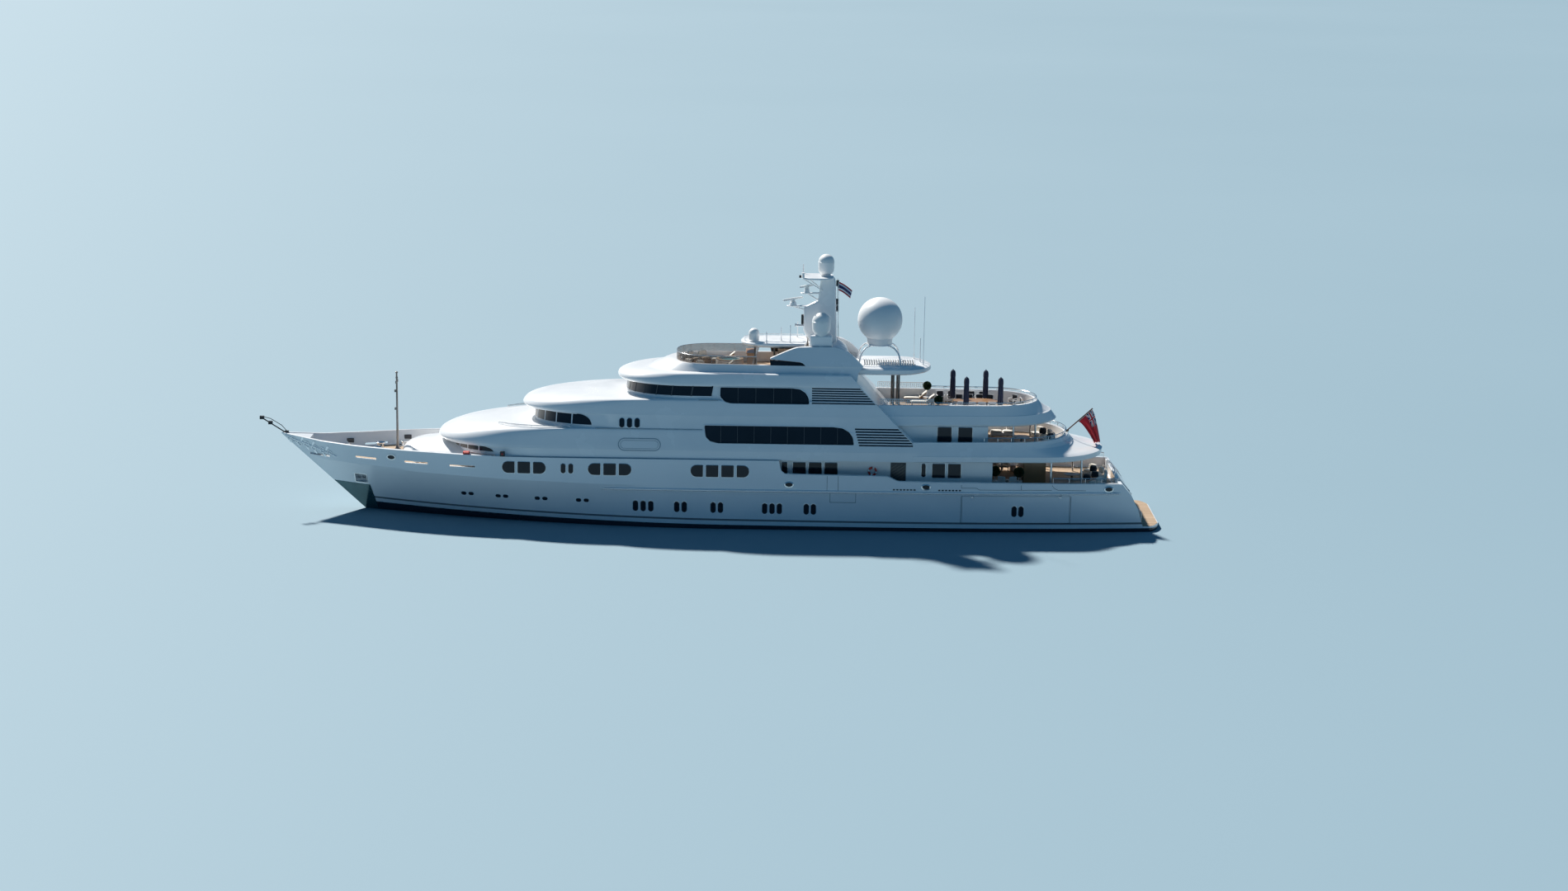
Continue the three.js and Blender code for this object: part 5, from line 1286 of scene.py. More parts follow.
# Ground tackle. Stockless anchors lie in their pockets, and two upright capstans with chain wheels stand on
# the foredeck ahead of the foremast, with bollards and chain stoppers.
ANCHOR = [(-0.36, 3.16), (-0.36, 2.98), (-0.08, 2.98), (-0.08, 2.82), (-0.4, 2.9), (-0.4, 2.68), (0, 2.6),
          (0.4, 2.68), (0.4, 2.9), (0.08, 2.82), (0.08, 2.98), (0.36, 2.98), (0.36, 3.16)]
CAPSTAN = [(0, 0), (0.42, 0), (0.42, 0.1), (0.3, 0.14), (0.25, 0.2), (0.23, 0.34), (0.24, 0.46), (0.3, 0.55),
           (0.37, 0.61), (0.37, 0.68), (0.3, 0.72), (0.1, 0.74), (0, 0.75)]
BOLLARD = [(0, 0), (0.12, 0), (0.1, 0.04), (0.1, 0.36), (0.14, 0.4), (0.14, 0.44), (0, 0.46)]
CAPSTAN_X, CHAIN_Y = -28.3, 0.95
anchor_grey = surface("galvanised steel", ((0.30, 0.31, 0.32), (0.42, 0.43, 0.44)), 7, (0.4, 0.6),
                      bump=0.3, metallic=0.8)
anchor = together(side_plate([(x - 29.6, z) for x, z in ANCHOR], 1.0, 1.2),
                  upright(-29.6, 1.12, 2.75, 3.28, 0.06, 12))
for word, hand in SIDES:
    fitted(f"bower_anchor_{word}", hand(anchor), anchor_grey, f"anchor_{word}", edge=(0.03, 2))
ribs = [spun(box(-0.02, 0.02, 0.2, 0.27, 0.16, 0.5), 45 * k) for k in range(8)]
for side, word in ((-1, "port"), (1, "starboard")):
    drum = together(turned(CAPSTAN, 0, 0, 0, 48), *ribs)
    fitted(f"capstan_{word}", moved(drum, CAPSTAN_X, side * CHAIN_Y, FOREDECK_Z), polished,
           f"windlass_{word}")
tackle = [box(-29.6, -29.2, CHAIN_Y - 0.16, CHAIN_Y + 0.16, FOREDECK_Z, FOREDECK_Z + 0.24),
          tube([(x, CHAIN_Y, FOREDECK_Z + up) for x, up in ((-30.4, -0.05), (-30.1, 0.16), (-29.6, 0.14))],
               0.13, 14)]
for x, y in ((-31.2, 1.35), (-26.9, 2.6), (-24.6, 3.6)):
    tackle += [turned(BOLLARD, x + step, y, FOREDECK_Z, 20) for step in (-0.22, 0.22)]
    tackle.append(box(x - 0.4, x + 0.4, y - 0.14, y + 0.14, FOREDECK_Z, FOREDECK_Z + 0.05))
fitted("deck_tackle", both(*tackle), frame_steel, edge=(0.015, 2))
chain = []
for k in range(9):
    path = [(-28.72 - 0.115 * k + 0.075 * c, CHAIN_Y + (0.045 * s if k % 2 else 0),
             FOREDECK_Z + 0.19 + (0 if k % 2 else 0.045 * s)) for c, s in circle(10)]
    chain.append(tube(path, 0.02, 6, closed=True))
fitted("anchor_chain", both(*chain), anchor_grey, crease=60)
hatches = [box(-33, -32.4, 0.25, 0.75, FOREDECK_Z, FOREDECK_Z + 0.12),
           box(-26.6, -25.9, 2.85, 3.45, FOREDECK_Z, FOREDECK_Z + 0.35)]
fitted("deck_hatches", both(*hatches), house_white, edge=(0.04,))
roller_boxes = []
for x in (-31, -26.4):
    y = half_at(x, 5.3) - BULWARK
    roller_boxes.append(box(x - 0.3, x + 0.3, y - 0.12, y + 0.04, 5.15, 5.5))
fitted("roller_boxes", both(*roller_boxes), mullion_grey, edge=(0.03, 2))

# The foremast, a slim bronze-grey pole with a yard and lantern on a stepped foot, and the folded gangway
# pole that leans out over the stem with its blocks and lashings.
FOREMAST_X = -26.75
FOREMAST = [(0, 0), (0.3, 0), (0.3, 0.3), (0.22, 0.36), (0.14, 0.5), (0.1, 0.9), (0.085, 4), (0.07, 6.3),
            (0.1, 6.32), (0.1, 6.42), (0.07, 6.45), (0.07, 6.75), (0.11, 6.78), (0.11, 6.86), (0, 6.91)]
pole = [turned(FOREMAST, FOREMAST_X, 0, FOREDECK_Z, 24),
        both(upright(FOREMAST_X, 0.45, 10.7, 10.9, 0.06, 12)),
        tube([(FOREMAST_X, -0.5, 10.9), (FOREMAST_X, 0.5, 10.9)], 0.04, 12)]
pole += [box(FOREMAST_X - 0.2, FOREMAST_X - 0.06, -0.07, 0.07, z, z + 0.2) for z in (8.4, 9.9)]
mast_bronze = surface("mast bronze", ((0.16, 0.13, 0.11), (0.34, 0.31, 0.29)), 2.5,
                      (0.25, 0.4), metallic=0.6, stretch=(1, 1, 0.3))
fitted("foremast_pole", pole, mast_bronze, "foremast", crease=40)
gangway = [tube([(x, -0.06, z), (x, 0.06, z)], 0.02, 8)
           for x, z in ((-36.2 - 0.34 * k, 6.41 + 0.214 * k) for k in range(6))]
gangway += [both(tube([(-36.02, 0.06, 6.3), (-38.18, 0.06, 7.66)], 0.035, 10)),
            box(-36.15, -35.82, -0.12, 0.12, 6.24, 6.5), box(-38.2, -37.85, -0.13, 0.13, 7.45, 7.72),
            box(-37.5, -37.15, -0.11, 0.11, 7.02, 7.3),
            tube([(-38.2, 0, 7.72), (-37.3, 0, 7.5), (-36.4, 0, 6.95), (-36, 0, 6.5)], 0.03, 8)]
fitted("gangway_pole", gangway, black_and_hole_shade, "bow_pole", edge=(0.02, 2), slot="white_paint")

# The main deckhouse walls and the aft bulkheads. Flush white plating, louvred doors onto the side decks,
# glazed sliding doors that face aft on both decks, and a panelled stair lobby and steel pillars under the
# deck above.
GRILLE = {"fore": 14.25, "aft": 15.5, "low": 3.3, "high": 5.5}
# Columns: name, node, walls, recess
HOUSES = [("main_house_walls", "main_deck_house", (5.14, 22.6, -4.75, 4.75, 3.2, 5.74),
           (22.2, 23, -3.6, 3.6, 3.4, 5.5)),
          ("upper_house_walls", "upper_deck_house", (14.7, 22.2, -4.1, 4.1, 6.35, 8.45),
           (21.8, 23, -3.1, 3.1, 6.5, 8.2))]
# Columns: x, y, foot, head, radius
PILLARS = [(27.4, 4.6, 3.2, 5.8, 0.09), (30, 3.45, 3.2, 5.8, 0.09), (24.3, 3.5, 6.35, 8.55, 0.08),
           (26.2, 2.4, 6.35, 8.55, 0.08)]
for name, node, walls, recess in HOUSES:
    rides(softened(carve(piece(name, box(*walls), house_white), [box(*recess)]), 0.05), node)
panes, frames = [], []
for x, half, z0, z1 in ((22.25, 3.6, 3.4, 5.5), (21.85, 3.1, 6.5, 8.2)):
    edges = steps_between(-half, half, 6)
    for y0, y1 in zip(edges, edges[1:]):
        panes.append(box(x, x + 0.05, y0 + 0.06, y1 - 0.06, z0 + 0.08, z1 - 0.08))
        frames += [box(x - 0.04, x + 0.09, a, b, z0, z1)
                   for a, b in ((y0 - 0.04, y0 + 0.06), (y1 - 0.06, y1 + 0.04))]
fitted("bulkhead_glass", panes, dark_glass)
fitted("bulkhead_frames", frames, frame_steel)
low, high = GRILLE["low"], GRILLE["high"]
fitted("grille_doors", both(box(GRILLE["fore"], GRILLE["aft"], 4.75, 4.79, low, high)), mullion_grey,
       slot="white_paint")
blades = []
for k in range(-2, 9):
    corners = [(GRILLE["fore"] + 0.07 + t * 1.1, low + 0.08 + k * 0.27 + t * 0.75)
               for t in steps_between(0, 1, 10)]
    inside = [(x, z) for x, z in corners if low + 0.06 <= z <= high - 0.14]
    if len(inside) > 2:
        blades.append(side_plate(inside + [(x, z + 0.07) for x, z in reversed(inside)], 4.78, 4.83))
fitted("grille_blades", both(*blades), post_grey, slot="white_paint")
wood = surface("varnished panels", ((0.30, 0.155, 0.07), (0.42, 0.24, 0.12)), 2.2, (0.25, 0.4),
               coat=0.4, stretch=(1, 1, 0.15))
lobby = [box(25.3, 27.2, -2.3, 2.3, 3.22, 5.73)]
lobby += [box(25.2, 27.3, -2.4, 2.4, z0, z1) for z0, z1 in ((3.22, 3.36), (5.5, 5.74))]
fitted("stair_lobbies", lobby, wood, edge=(0.08,))
fitted("deck_pillars", both(*[upright(*row) for row in PILLARS]), frame_steel, crease=60)

# The decks. Teak planks 12 cm wide with dark caulking are laid fore and aft on every open deck, on the swim
# platform and on the treads of the stern stairs.
TEAK_THICK = 0.025
TREAD_GAP = 0.06
teak = surface("teak planks", ((0.42, 0.29, 0.185), (0.52, 0.375, 0.25)), 1.5, (0.55, 0.7),
               stretch=(0.2, 3, 1))
tree = teak.node_tree
boards = add_node(tree, "ShaderNodeTexBrick",
                  {"Scale": 1, "Brick Width": 1.6, "Row Height": 0.06, "Mortar Size": 0.004,
                   "Mortar": (0.03, 0.025, 0.02, 1), "Color1": tree.nodes["Color Ramp"],
                   "Color2": (0.36, 0.245, 0.15, 1),
                   "Vector": tree.nodes["Texture Coordinate"].outputs["Object"]})
feed(tree.nodes["Principled BSDF"], {"Base Color": boards})


def planks(z, outline):
    return skin([[(x, y, level) for x, y in outline] for level in (z, z + TEAK_THICK)])


def hull_deck(x0, x1, z, inset, steps):
    """A deck that follows the inside of the bulwark."""
    side = [(x, half_at(x, z) - inset) for x in steps_between(x0, x1, steps)]
    return planks(z, [(x, -y) for x, y in side] + side[::-1])


def round_deck(z, *row):
    return planks(z, [(x, y) for x, y, _ in plan_ring(z, *row)])


fitted("foredeck_planks", hull_deck(-33.6, -18.2, FOREDECK_Z, BULWARK + 0.2, 50), teak)
main_planks = piece("main_deck_planks", hull_deck(5.14, 32.8, MAIN_DECK_Z, BULWARK + 0.12, 60), teak)
rides(carve(main_planks, [box(5, 22.62, -4.77, 4.77, 2, 5)]))
fitted("upper_deck_planks", round_deck(6.35, 22.22, 0.05, 5.25, 4.65, 28.7, 4.3), teak)
fitted("upper_side_planks", both(box(16.4, 22.3, 4.12, 5.35, 6.35, 6.35 + TEAK_THICK)), teak)
fitted("bridge_deck_planks", round_deck(9.1, 14.3, 0.05, 3.75, 3.35, 26.1, 3.8), teak)
fitted("sun_deck_planks", round_deck(12.35, -3.3, 3.9, 2.92, 3.12, 7.1), teak)
stair_feet = [(STAIRS["foot"] - STAIRS["tread"] * k, STAIRS["low"] + STAIRS["rise"] * k)
              for k in range(STAIRS["steps"] - 1)]
treads = [box(x - STAIRS["tread"] + 0.02, x - 0.02, STAIRS["inner"] + TREAD_GAP,
              STAIRS["outer"] - TREAD_GAP, z, z + TEAK_THICK) for x, z in stair_feet]
fitted("swim_platform_planks", [hull_deck(35.06, 36.42, 0.45, 0.12, 20), both(*treads)], teak)

# The handrails. Polished steel tube on stanchions stands on the bulwarks of the aft decks, along the roof of
# the forward house and down the stern stairs. One tree sweeps the rail and sets a stanchion at every step
# along a path.


def rail_maker(name):
    """A tree that makes a handrail with posts and lower wires from a path. Sizes are in metres of the
    model."""
    tree, given = new_tree(name, {"Path": None, "Spacing": 0.6, "Height": 0.5, "Rail radius": 0.02,
                                  "Post radius": 0.012, "Wire radius": 0.006})
    line = add_node(tree, "GeometryNodeMeshToCurve", {"Mesh": given["Path"]})

    def lifted(shape, share):
        up = add_node(tree, "ShaderNodeMath", {0: given["Height"], 1: share}, operation="MULTIPLY")
        offset = add_node(tree, "ShaderNodeCombineXYZ", {"Z": up})
        return add_node(tree, "GeometryNodeTransform", {"Geometry": shape, "Translation": offset})

    parts = []
    for share, radius in ((1.0, "Rail radius"), (0.36, "Wire radius"), (0.68, "Wire radius")):
        section = add_node(tree, "GeometryNodeCurvePrimitiveCircle",
                           {"Resolution": 10, "Radius": given[radius]})
        parts.append(add_node(tree, "GeometryNodeCurveToMesh", {
            "Curve": lifted(line, share), "Profile Curve": section, "Fill Caps": True}))
    stations = add_node(tree, "GeometryNodeResampleCurve", mode="LENGTH")
    feed(stations, {"Curve": line, "Length": given["Spacing"]})
    post = add_node(tree, "GeometryNodeMeshCylinder", {
        "Vertices": 10, "Radius": given["Post radius"], "Depth": given["Height"]})
    parts.append(add_node(tree, "GeometryNodeInstanceOnPoints",
                          {"Points": stations, "Instance": lifted(post, 0.5)}))
    return end_tree(tree, given, add_node(tree, "GeometryNodeJoinGeometry", {"Geometry": parts}))


handrail = rail_maker("handrail")


def rail(name, path, height, spacing=1.1, radius=0.035, finish=polished):
    """A handrail over a path given in metres of the real yacht."""
    source = net(name, path, [], [(i, i + 1) for i in range(len(path) - 1)])
    rides(grown(name, handrail,
                {"Spacing": spacing, "Height": height, "Rail radius": radius, "Post radius": 0.022,
                 "Wire radius": 0.011}, finish, source=source), slot="steel")


def pair_of_rails(name, path, *sizes):
    rail(f"{name}_port", path, *sizes)
    rail(f"{name}_starboard", [(x, -y, z) for x, y, z in path], *sizes)


def round_stern(z, half, half_aft, tail, tail_len, fore):
    """The path along a tray's top edge, from the port side round the stern to starboard."""
    ring = plan_ring(z, 10, 0.05, half, half_aft, tail, tail_len, ROUND_STERN)
    side = [point for point in ring if point[1] > 0 and point[0] >= fore]
    return [(x, -y, z) for x, y, z in side] + [(tail, 0, z)] + side[::-1]


rail("upper_deck_rail", round_stern(7.34, 5.56, 4.85, 28.95, 4.4, 21.3), 0.36)
rail("bridge_deck_rail", round_stern(10.1, 4.0, 3.6, 26.4, 3.95, 17.7), 0.24)
pair_of_rails("main_deck_rail", [(x, -half_at(x, 4.1) + 0.12, between(SIDE_TOP, x) + 0.03)
                                 for x in (27.5, 28.5, 29.5, 30.5, 31.3, 32, 32.5, 32.8)], 0.42)
rail("main_deck_rail_stern", [(x, y, 3.2) for x, y in (
    (32.85, -2.7), (33.0, -1.3), (33.02, 0), (33.0, 1.3), (32.85, 2.7))], 1.2)
for word, side in (("port", -1), ("starboard", 1)):
    for edge in ("inner", "outer"):
        path = [(x - 0.05, side * STAIRS[edge], z + 0.24) for x, z in stair_feet]
        rail(f"stair_rail_{edge}_{word}", path, 0.75, 0.9, 0.028)
pair_of_rails("picket_rail", [(x, 0.042 * (x - 13.35) - 3.95, 10.1) for x in (13.35, 14, 15, 16, 17, 17.7)],
              0.52, 0.12, 0.03, house_white)
pair_of_rails("roof_rail", [(-17.9, -3.55, 8.05), (-17, -4.25, 8.07), (-16, -4.7, 8.08), (-14.5, -5.05, 8.1),
                            (-12, -5.2, 8.11)], 0.16, 2.1, 0.022)
hatch_lines = [[(33.35, -2.5 + 0.5 * k) for k in range(11)]]
hatch_lines += [[(33.35 + 0.16 * k, y) for k in range(11)] for y in (-2.5, 2.5)]
seams = [tube([(x, y, between(SIDE_TOP, x)) for x, y in row], 0.014, 8) for row in hatch_lines]
fitted("transom_seams", seams, mullion_grey, crease=60)

# The sun deck. A curved smoked screen under a steel rail shelters a round pool with a teak rim, curved
# seats, two sunbeds and a varnished bar under the radar platform.
SCREEN = {"nose": -3.5, "length": 3.8, "half": 3.15, "aft": 3.2, "low": 13.2, "high": 13.85, "thick": 0.06}
SUN_DECK, BRIDGE_DECK, UPPER_DECK, SALOON_DECK = 12.376, 9.126, 6.376, 3.226
TUB = [(0, 0), (1.05, 0), (1.13, 0.08), (1.15, 0.3), (1.15, 0.68), (1.14, 0.73), (1.1, 0.75), (0.9, 0.75),
       (0.86, 0.73), (0.84, 0.68), (0.8, 0.3), (0.76, 0.25), (0, 0.25)]
TUB_X = 0.9
smoked = surface("smoked acrylic", ((0.16, 0.10, 0.075), (0.22, 0.14, 0.10)), 0.8, (0.03, 0.06))
feed(smoked.node_tree.nodes["Principled BSDF"], {"Alpha": 0.42})


def screen_path(inset, z):
    half = SCREEN["half"] - inset
    ring = plan_ring(z, SCREEN["nose"] + inset, SCREEN["length"] - inset, half, half, 8)
    side = [point for point in ring if point[1] > 1e-6 and point[0] <= SCREEN["aft"]]
    return [(x, -y, z) for x, y, z in reversed(side)] + [(SCREEN["nose"] + inset, 0, z)] + side


corners = ((0, "low"), (SCREEN["thick"], "low"), (SCREEN["thick"], "high"), (0, "high"))
edges = [screen_path(inset, SCREEN[edge]) for inset, edge in corners]
fitted("smoked_screen", skin(list(zip(*edges))), smoked, "windscreen", crease=50)
top = screen_path(SCREEN["thick"] / 2, SCREEN["high"])
fitted("screen_rail",
       [tube(top, 0.032, 10)] + [upright(x, y, 13.2, SCREEN["high"], 0.016, 8) for x, y, _ in top[::4]],
       frame_steel, crease=60)
fitted("tub_shell", turned(TUB, TUB_X, 0, SUN_DECK, 64), gelcoat, "sun_deck_tub", crease=40,
       slot="white_paint")
pool_water = surface("pool water", ((0.10, 0.36, 0.42), (0.16, 0.46, 0.52)), 3, (0.02, 0.05),
                     bump=0.3)
fitted("tub_water", turned([(0, 0.2), (0.83, 0.2), (0.83, 0.6), (0, 0.6)], TUB_X, 0, 12.4, 48), pool_water)
rim = skin([[(TUB_X + r * c, r * s, SUN_DECK + h) for c, s in circle(64)]
            for r, h in ((0.9, 0.755), (1.14, 0.755), (1.14, 0.79), (0.9, 0.79), (0.9, 0.755))], ends=False)
fitted("tub_rim", rim, teak)
bar = [box(2.35, 2.9, -1.1, 1.1, 12.37, 13.75), box(2.25, 3.0, -1.2, 1.2, 13.75, 13.8),
       box(4.9, 7.1, -2.5, 2.5, 12.37, 14.41)]
fitted("sun_deck_bar", bar, wood, edge=(0.03,))
bar_posts = [upright(x, y, 12.37, 14.46, 0.07, 16)
             for x, y in ((4.6, 2.05), (5.5, 2.3), (6.3, 2.5), (3.0, 2.0))]
fitted("sun_deck_posts", both(*bar_posts), post_grey, crease=60)


def set_down(shape, x, y, z, degrees=0):
    """Turns a piece of furniture that is drawn about the origin, and puts it in its place."""
    return moved(spun(shape, degrees), x, y, z)


def block(x, y, half_x, half_y, z0, z1):
    return box(x - half_x, x + half_x, y - half_y, y + half_y, z0, z1)


def cushion(x0, x1, y0, y1, z0, z1, corners=5):
    """A stuffed cushion: flat below, crowned on top, its sides pulled in between the corners, with a piped
    seam."""
    x, y, a, b, thick = (x0 + x1) / 2, (y0 + y1) / 2, (x1 - x0) / 2, (y1 - y0) / 2, z1 - z0

    def ring(reach, level):
        out = []
        for c, s in circle(40):
            pull = reach * (1 - 0.045 * (c * c - s * s) ** 2)
            out.append((x + a * pull * squared_off(c, corners), y + b * pull * squared_off(s, corners),
                        z0 + thick * level))
        return out

    rows = [(0.9, 0), (0.97, 0.1), (1, 0.34), (0.985, 0.62), (0.92, 0.8), (0.8, 0.91), (0.55, 0.98),
            (0.25, 1)]
    return together(skin([ring(*row) for row in rows]), tube(ring(1.01, 0.42), 0.014, 6, closed=True))


def padded(name, shapes, finish, fill, *nodes):
    made = piece(name, shapes, finish, 70)
    smooth = made.modifiers.new("soft", "SUBSURF")
    smooth.levels = 1
    smooth.render_levels = 1
    rides(made, *nodes)


def woven(name, shades):
    """Canvas with a fine weave in relief, from a wave texture on Object coordinates."""
    cloth = surface(name, shades, 2.5, (0.8, 0.95), sheen=0.3)
    tree = cloth.node_tree
    weave = add_node(tree, "ShaderNodeTexWave", {
        "Scale": 90, "Distortion": 1.5, "Vector": tree.nodes["Texture Coordinate"].outputs["Object"]})
    relief = add_node(tree, "ShaderNodeBump",
                      {"Strength": 0.25, "Distance": 0.002, "Height": weave.outputs["Fac"]})
    feed(tree.nodes["Principled BSDF"], {"Normal": relief})
    return cloth


cream_canvas = woven("cream canvas", ((0.70, 0.66, 0.58), (0.80, 0.76, 0.69)))
tan_canvas = woven("tan canvas", ((0.46, 0.32, 0.2), (0.56, 0.41, 0.28)))
dark_canvas = woven("dark canvas", ((0.012, 0.014, 0.02), (0.025, 0.027, 0.035)))
navy_canvas = woven("navy canvas", ((0.010, 0.018, 0.05), (0.018, 0.028, 0.075)))
bench, bench_pads, bench_backs = [], [], []
for k in range(-3, 4):
    turn = k * 0.36
    yaw = -degrees(turn) * 0.85
    x, y = 0.2 - 3.1 * cos(turn), 2.45 * sin(turn)
    bench.append(set_down(box(-0.4, 0.4, -0.46, 0.46, 12.376, 12.72), x, y, 0, yaw))
    bench_pads.append(set_down(cushion(-0.38, 0.4, -0.44, 0.44, 12.73, 12.92), x, y, 0, yaw))
    bench_backs.append(set_down(cushion(-0.1, 0.12, -0.44, 0.44, 12.8, 13.4), 0.2 - 3.55 * cos(turn),
                                2.82 * sin(turn), 0, yaw))
fitted("sun_deck_bench", bench, wood, edge=(0.03,))
padded("sun_deck_seats", bench_pads, tan_canvas, 0.7)
padded("sun_deck_backs", bench_backs, cream_canvas, 0.8)

# The sunbeds. Each has a slatted wooden frame with a raised back, its head aft, and a thin pad and a pillow.
LOUNGERS = [(-0.7, -1.95, SUN_DECK), (-0.7, 1.95, SUN_DECK), (15.5, -2.9, BRIDGE_DECK),
            (15.5, 2.9, BRIDGE_DECK), (16, 1.2, BRIDGE_DECK)]
bed = [box(0.1 + i * 0.2, 0.2 + i * 0.2, -0.3, 0.3, 0.27, 0.31) for i in range(7)]
bed += [both(box(0, 1.95, 0.27, 0.33, 0.24, 0.32), box(0.12, 0.18, 0.27, 0.33, 0, 0.26),
             box(1.75, 1.81, 0.27, 0.33, 0, 0.26))]
bed.append(side_plate([(1.3, 0.3), (1.95, 0.8), (1.95, 0.85), (1.28, 0.35)], -0.3, 0.3))
raised = cushion(1.3, 2.1, -0.32, 0.32, 0.37, 0.49)
raised = [(x - 0.1 * (x - 1.3), y, z + (x - 1.3) * 0.72) for x, y, z in raised[0]], raised[1]
bed_pads = [cushion(0.02, 1.34, -0.32, 0.32, 0.32, 0.45), raised]
pillow = cushion(1.36, 1.66, -0.22, 0.22, 0.56, 0.72)
fitted("sunbed_frames", [moved(part, *spot) for spot in LOUNGERS for part in bed], wood)
padded("sunbed_pads", [moved(pad, *spot) for spot in LOUNGERS for pad in bed_pads], cream_canvas, 0.7)
padded("sunbed_pillows", [moved(pillow, *spot) for spot in LOUNGERS], dark_canvas, 0.8)

# Bridge deck furniture. A long oval teak table with white armchairs on black cushions, furled navy
# umbrellas in round stands, and clipped shrubs in white pots.
TABLE_LEG = [(0, 0), (0.34, 0), (0.34, 0.05), (0.1, 0.1), (0.09, 0.6), (0.26, 0.7), (0, 0.71)]
# Columns: x, y, turn in degrees
CHAIRS = [(20.1, 1.35, 0), (20.95, 1.45, 0), (21.8, 1.45, 0), (22.65, 1.35, 0), (20.1, -1.35, 180),
          (20.95, -1.45, 180), (21.8, -1.45, 180), (22.65, -1.35, 180), (18.6, 2.75, 8), (19.5, 2.8, -6),
          (21.2, 2.8, 5), (22.1, 2.75, -8), (24.6, 1.6, -50), (24.9, 0.4, -80)]
SALOON_CHAIRS = [(23.6, -3.2, 150), (24.3, -3.25, 200), (23.6, 3.2, 30), (24.3, 3.25, -20)]
table = [skin([oval_ring(z, 19.5, 23.3, 0.95, 2, 72) for z in (9.84, 9.886)])]
table += [turned(TABLE_LEG, x, 0, BRIDGE_DECK, 28) for x in (20.5, 22.3)]
fitted("oval_table", table, wood, "dining_table", edge=(0.01, 2))
chair = [block(x, y, 0.03, 0.03, 0, top) for x in (-0.3, 0.3) for y, top in ((-0.28, 0.66), (0.28, 0.92))]
chair.append(box(-0.33, 0.33, -0.3, 0.3, 0.32, 0.38))
chair += [box(x - 0.035, x + 0.035, -0.31, 0.3, 0.63, 0.67) for x in (-0.3, 0.3)]
chair += [box(-0.3, 0.3, 0.25, 0.3, z, z + 0.09) for z in (0.46, 0.6, 0.74, 0.86)]
back = cushion(-0.26, 0.26, -0.05, 0.4, 0, 0.1)
back = [(x, 0.16 + z * 0.9, 0.55 + y) for x, y, z in back[0]], back[1]
seat = [cushion(-0.26, 0.26, -0.28, 0.22, 0.38, 0.5), back]
deck_places = [(x, y, BRIDGE_DECK, turn) for x, y, turn in CHAIRS]
saloon_places = [(x, y, SALOON_DECK, turn) for x, y, turn in SALOON_CHAIRS]
fitted("deck_chairs", [set_down(part, *spot) for spot in deck_places + saloon_places for part in chair],
       house_white)
padded("chair_cushions", [set_down(pad, *spot) for spot in deck_places for pad in seat], dark_canvas, 0.7)
padded("saloon_chair_cushions", [set_down(pad, *spot) for spot in saloon_places for pad in seat],
       cream_canvas, 0.7)

UMBRELLAS = [(20.48, -1.7), (23.3, -1.7), (19.55, 1.7), (22.3, 1.7)]
UMBRELLA_FOOT = 9.105
# Columns: height, outer radius of the pleats, inner radius
FURLED = [(0.62, 0.2, 0.13), (0.8, 0.245, 0.15), (1.5, 0.25, 0.155), (2.15, 0.24, 0.15), (2.35, 0.215, 0.145),
          (2.55, 0.235, 0.145), (2.84, 0.22, 0.13), (2.97, 0.15, 0.09), (3.03, 0.05, 0.03)]
UMBRELLA_POLE = [(0, 0), (0.35, 0), (0.35, 0.06), (0.3, 0.08), (0.08, 0.12), (0.045, 0.16), (0.04, 3.02),
                 (0.055, 3.04), (0.05, 3.09), (0, 3.1)]
PLEATS = 8
bundle = []
for number, (z, far, near) in enumerate(eased(FURLED, 3)):
    ring = []
    for turn in (2 * pi * k / (PLEATS * 6) for k in range(PLEATS * 6)):
        reach = near + (far - near) * (0.5 + 0.5 * cos(PLEATS * turn)) ** 0.8
        swirl = turn + 0.05 * number + 0.12 * sin(PLEATS * turn)
        ring.append((reach * cos(swirl), reach * sin(swirl), z))
    bundle.append(ring)
canopy = [skin(bundle), tube([(0.2 * c, 0.2 * s, 2.355) for c, s in circle(24)], 0.025, 8, closed=True)]
for number, (x, y) in enumerate(UMBRELLAS, 1):
    name = f"umbrella_{number}"
    fitted(f"{name}_pole", turned(UMBRELLA_POLE, x, y, UMBRELLA_FOOT, 28), frame_steel, crease=40)
    padded(f"{name}_canopy", [moved(part, x, y, UMBRELLA_FOOT) for part in canopy], navy_canvas, 0.5, name)


def shrub_maker(name):
    """A tree that scatters small leaves over a ball. Sizes are in metres of the model."""
    tree, given = new_tree(name, {"Radius": 0.15, "Density": 3000.0, "Leaf": 0.03, "Seed": 7})
    ball = add_node(tree, "GeometryNodeMeshIcoSphere", {"Subdivisions": 3, "Radius": given["Radius"]})
    scatter = add_node(tree, "GeometryNodeDistributePointsOnFaces", {
        "Mesh": ball, "Density": given["Density"], "Seed": given["Seed"]})
    wide, high = [add_node(tree, "ShaderNodeMath", {0: given["Leaf"], 1: share}, operation="MULTIPLY")
                  for share in (0.45, 1.6)]
    leaf = add_node(tree, "GeometryNodeMeshCone", {"Vertices": 3, "Radius Bottom": wide, "Depth": high})
    leaves = add_node(tree, "GeometryNodeInstanceOnPoints", {
        "Points": scatter, "Instance": leaf, "Rotation": scatter.outputs["Rotation"]})
    return end_tree(tree, given, add_node(tree, "GeometryNodeJoinGeometry", {"Geometry": [leaves, ball]}))


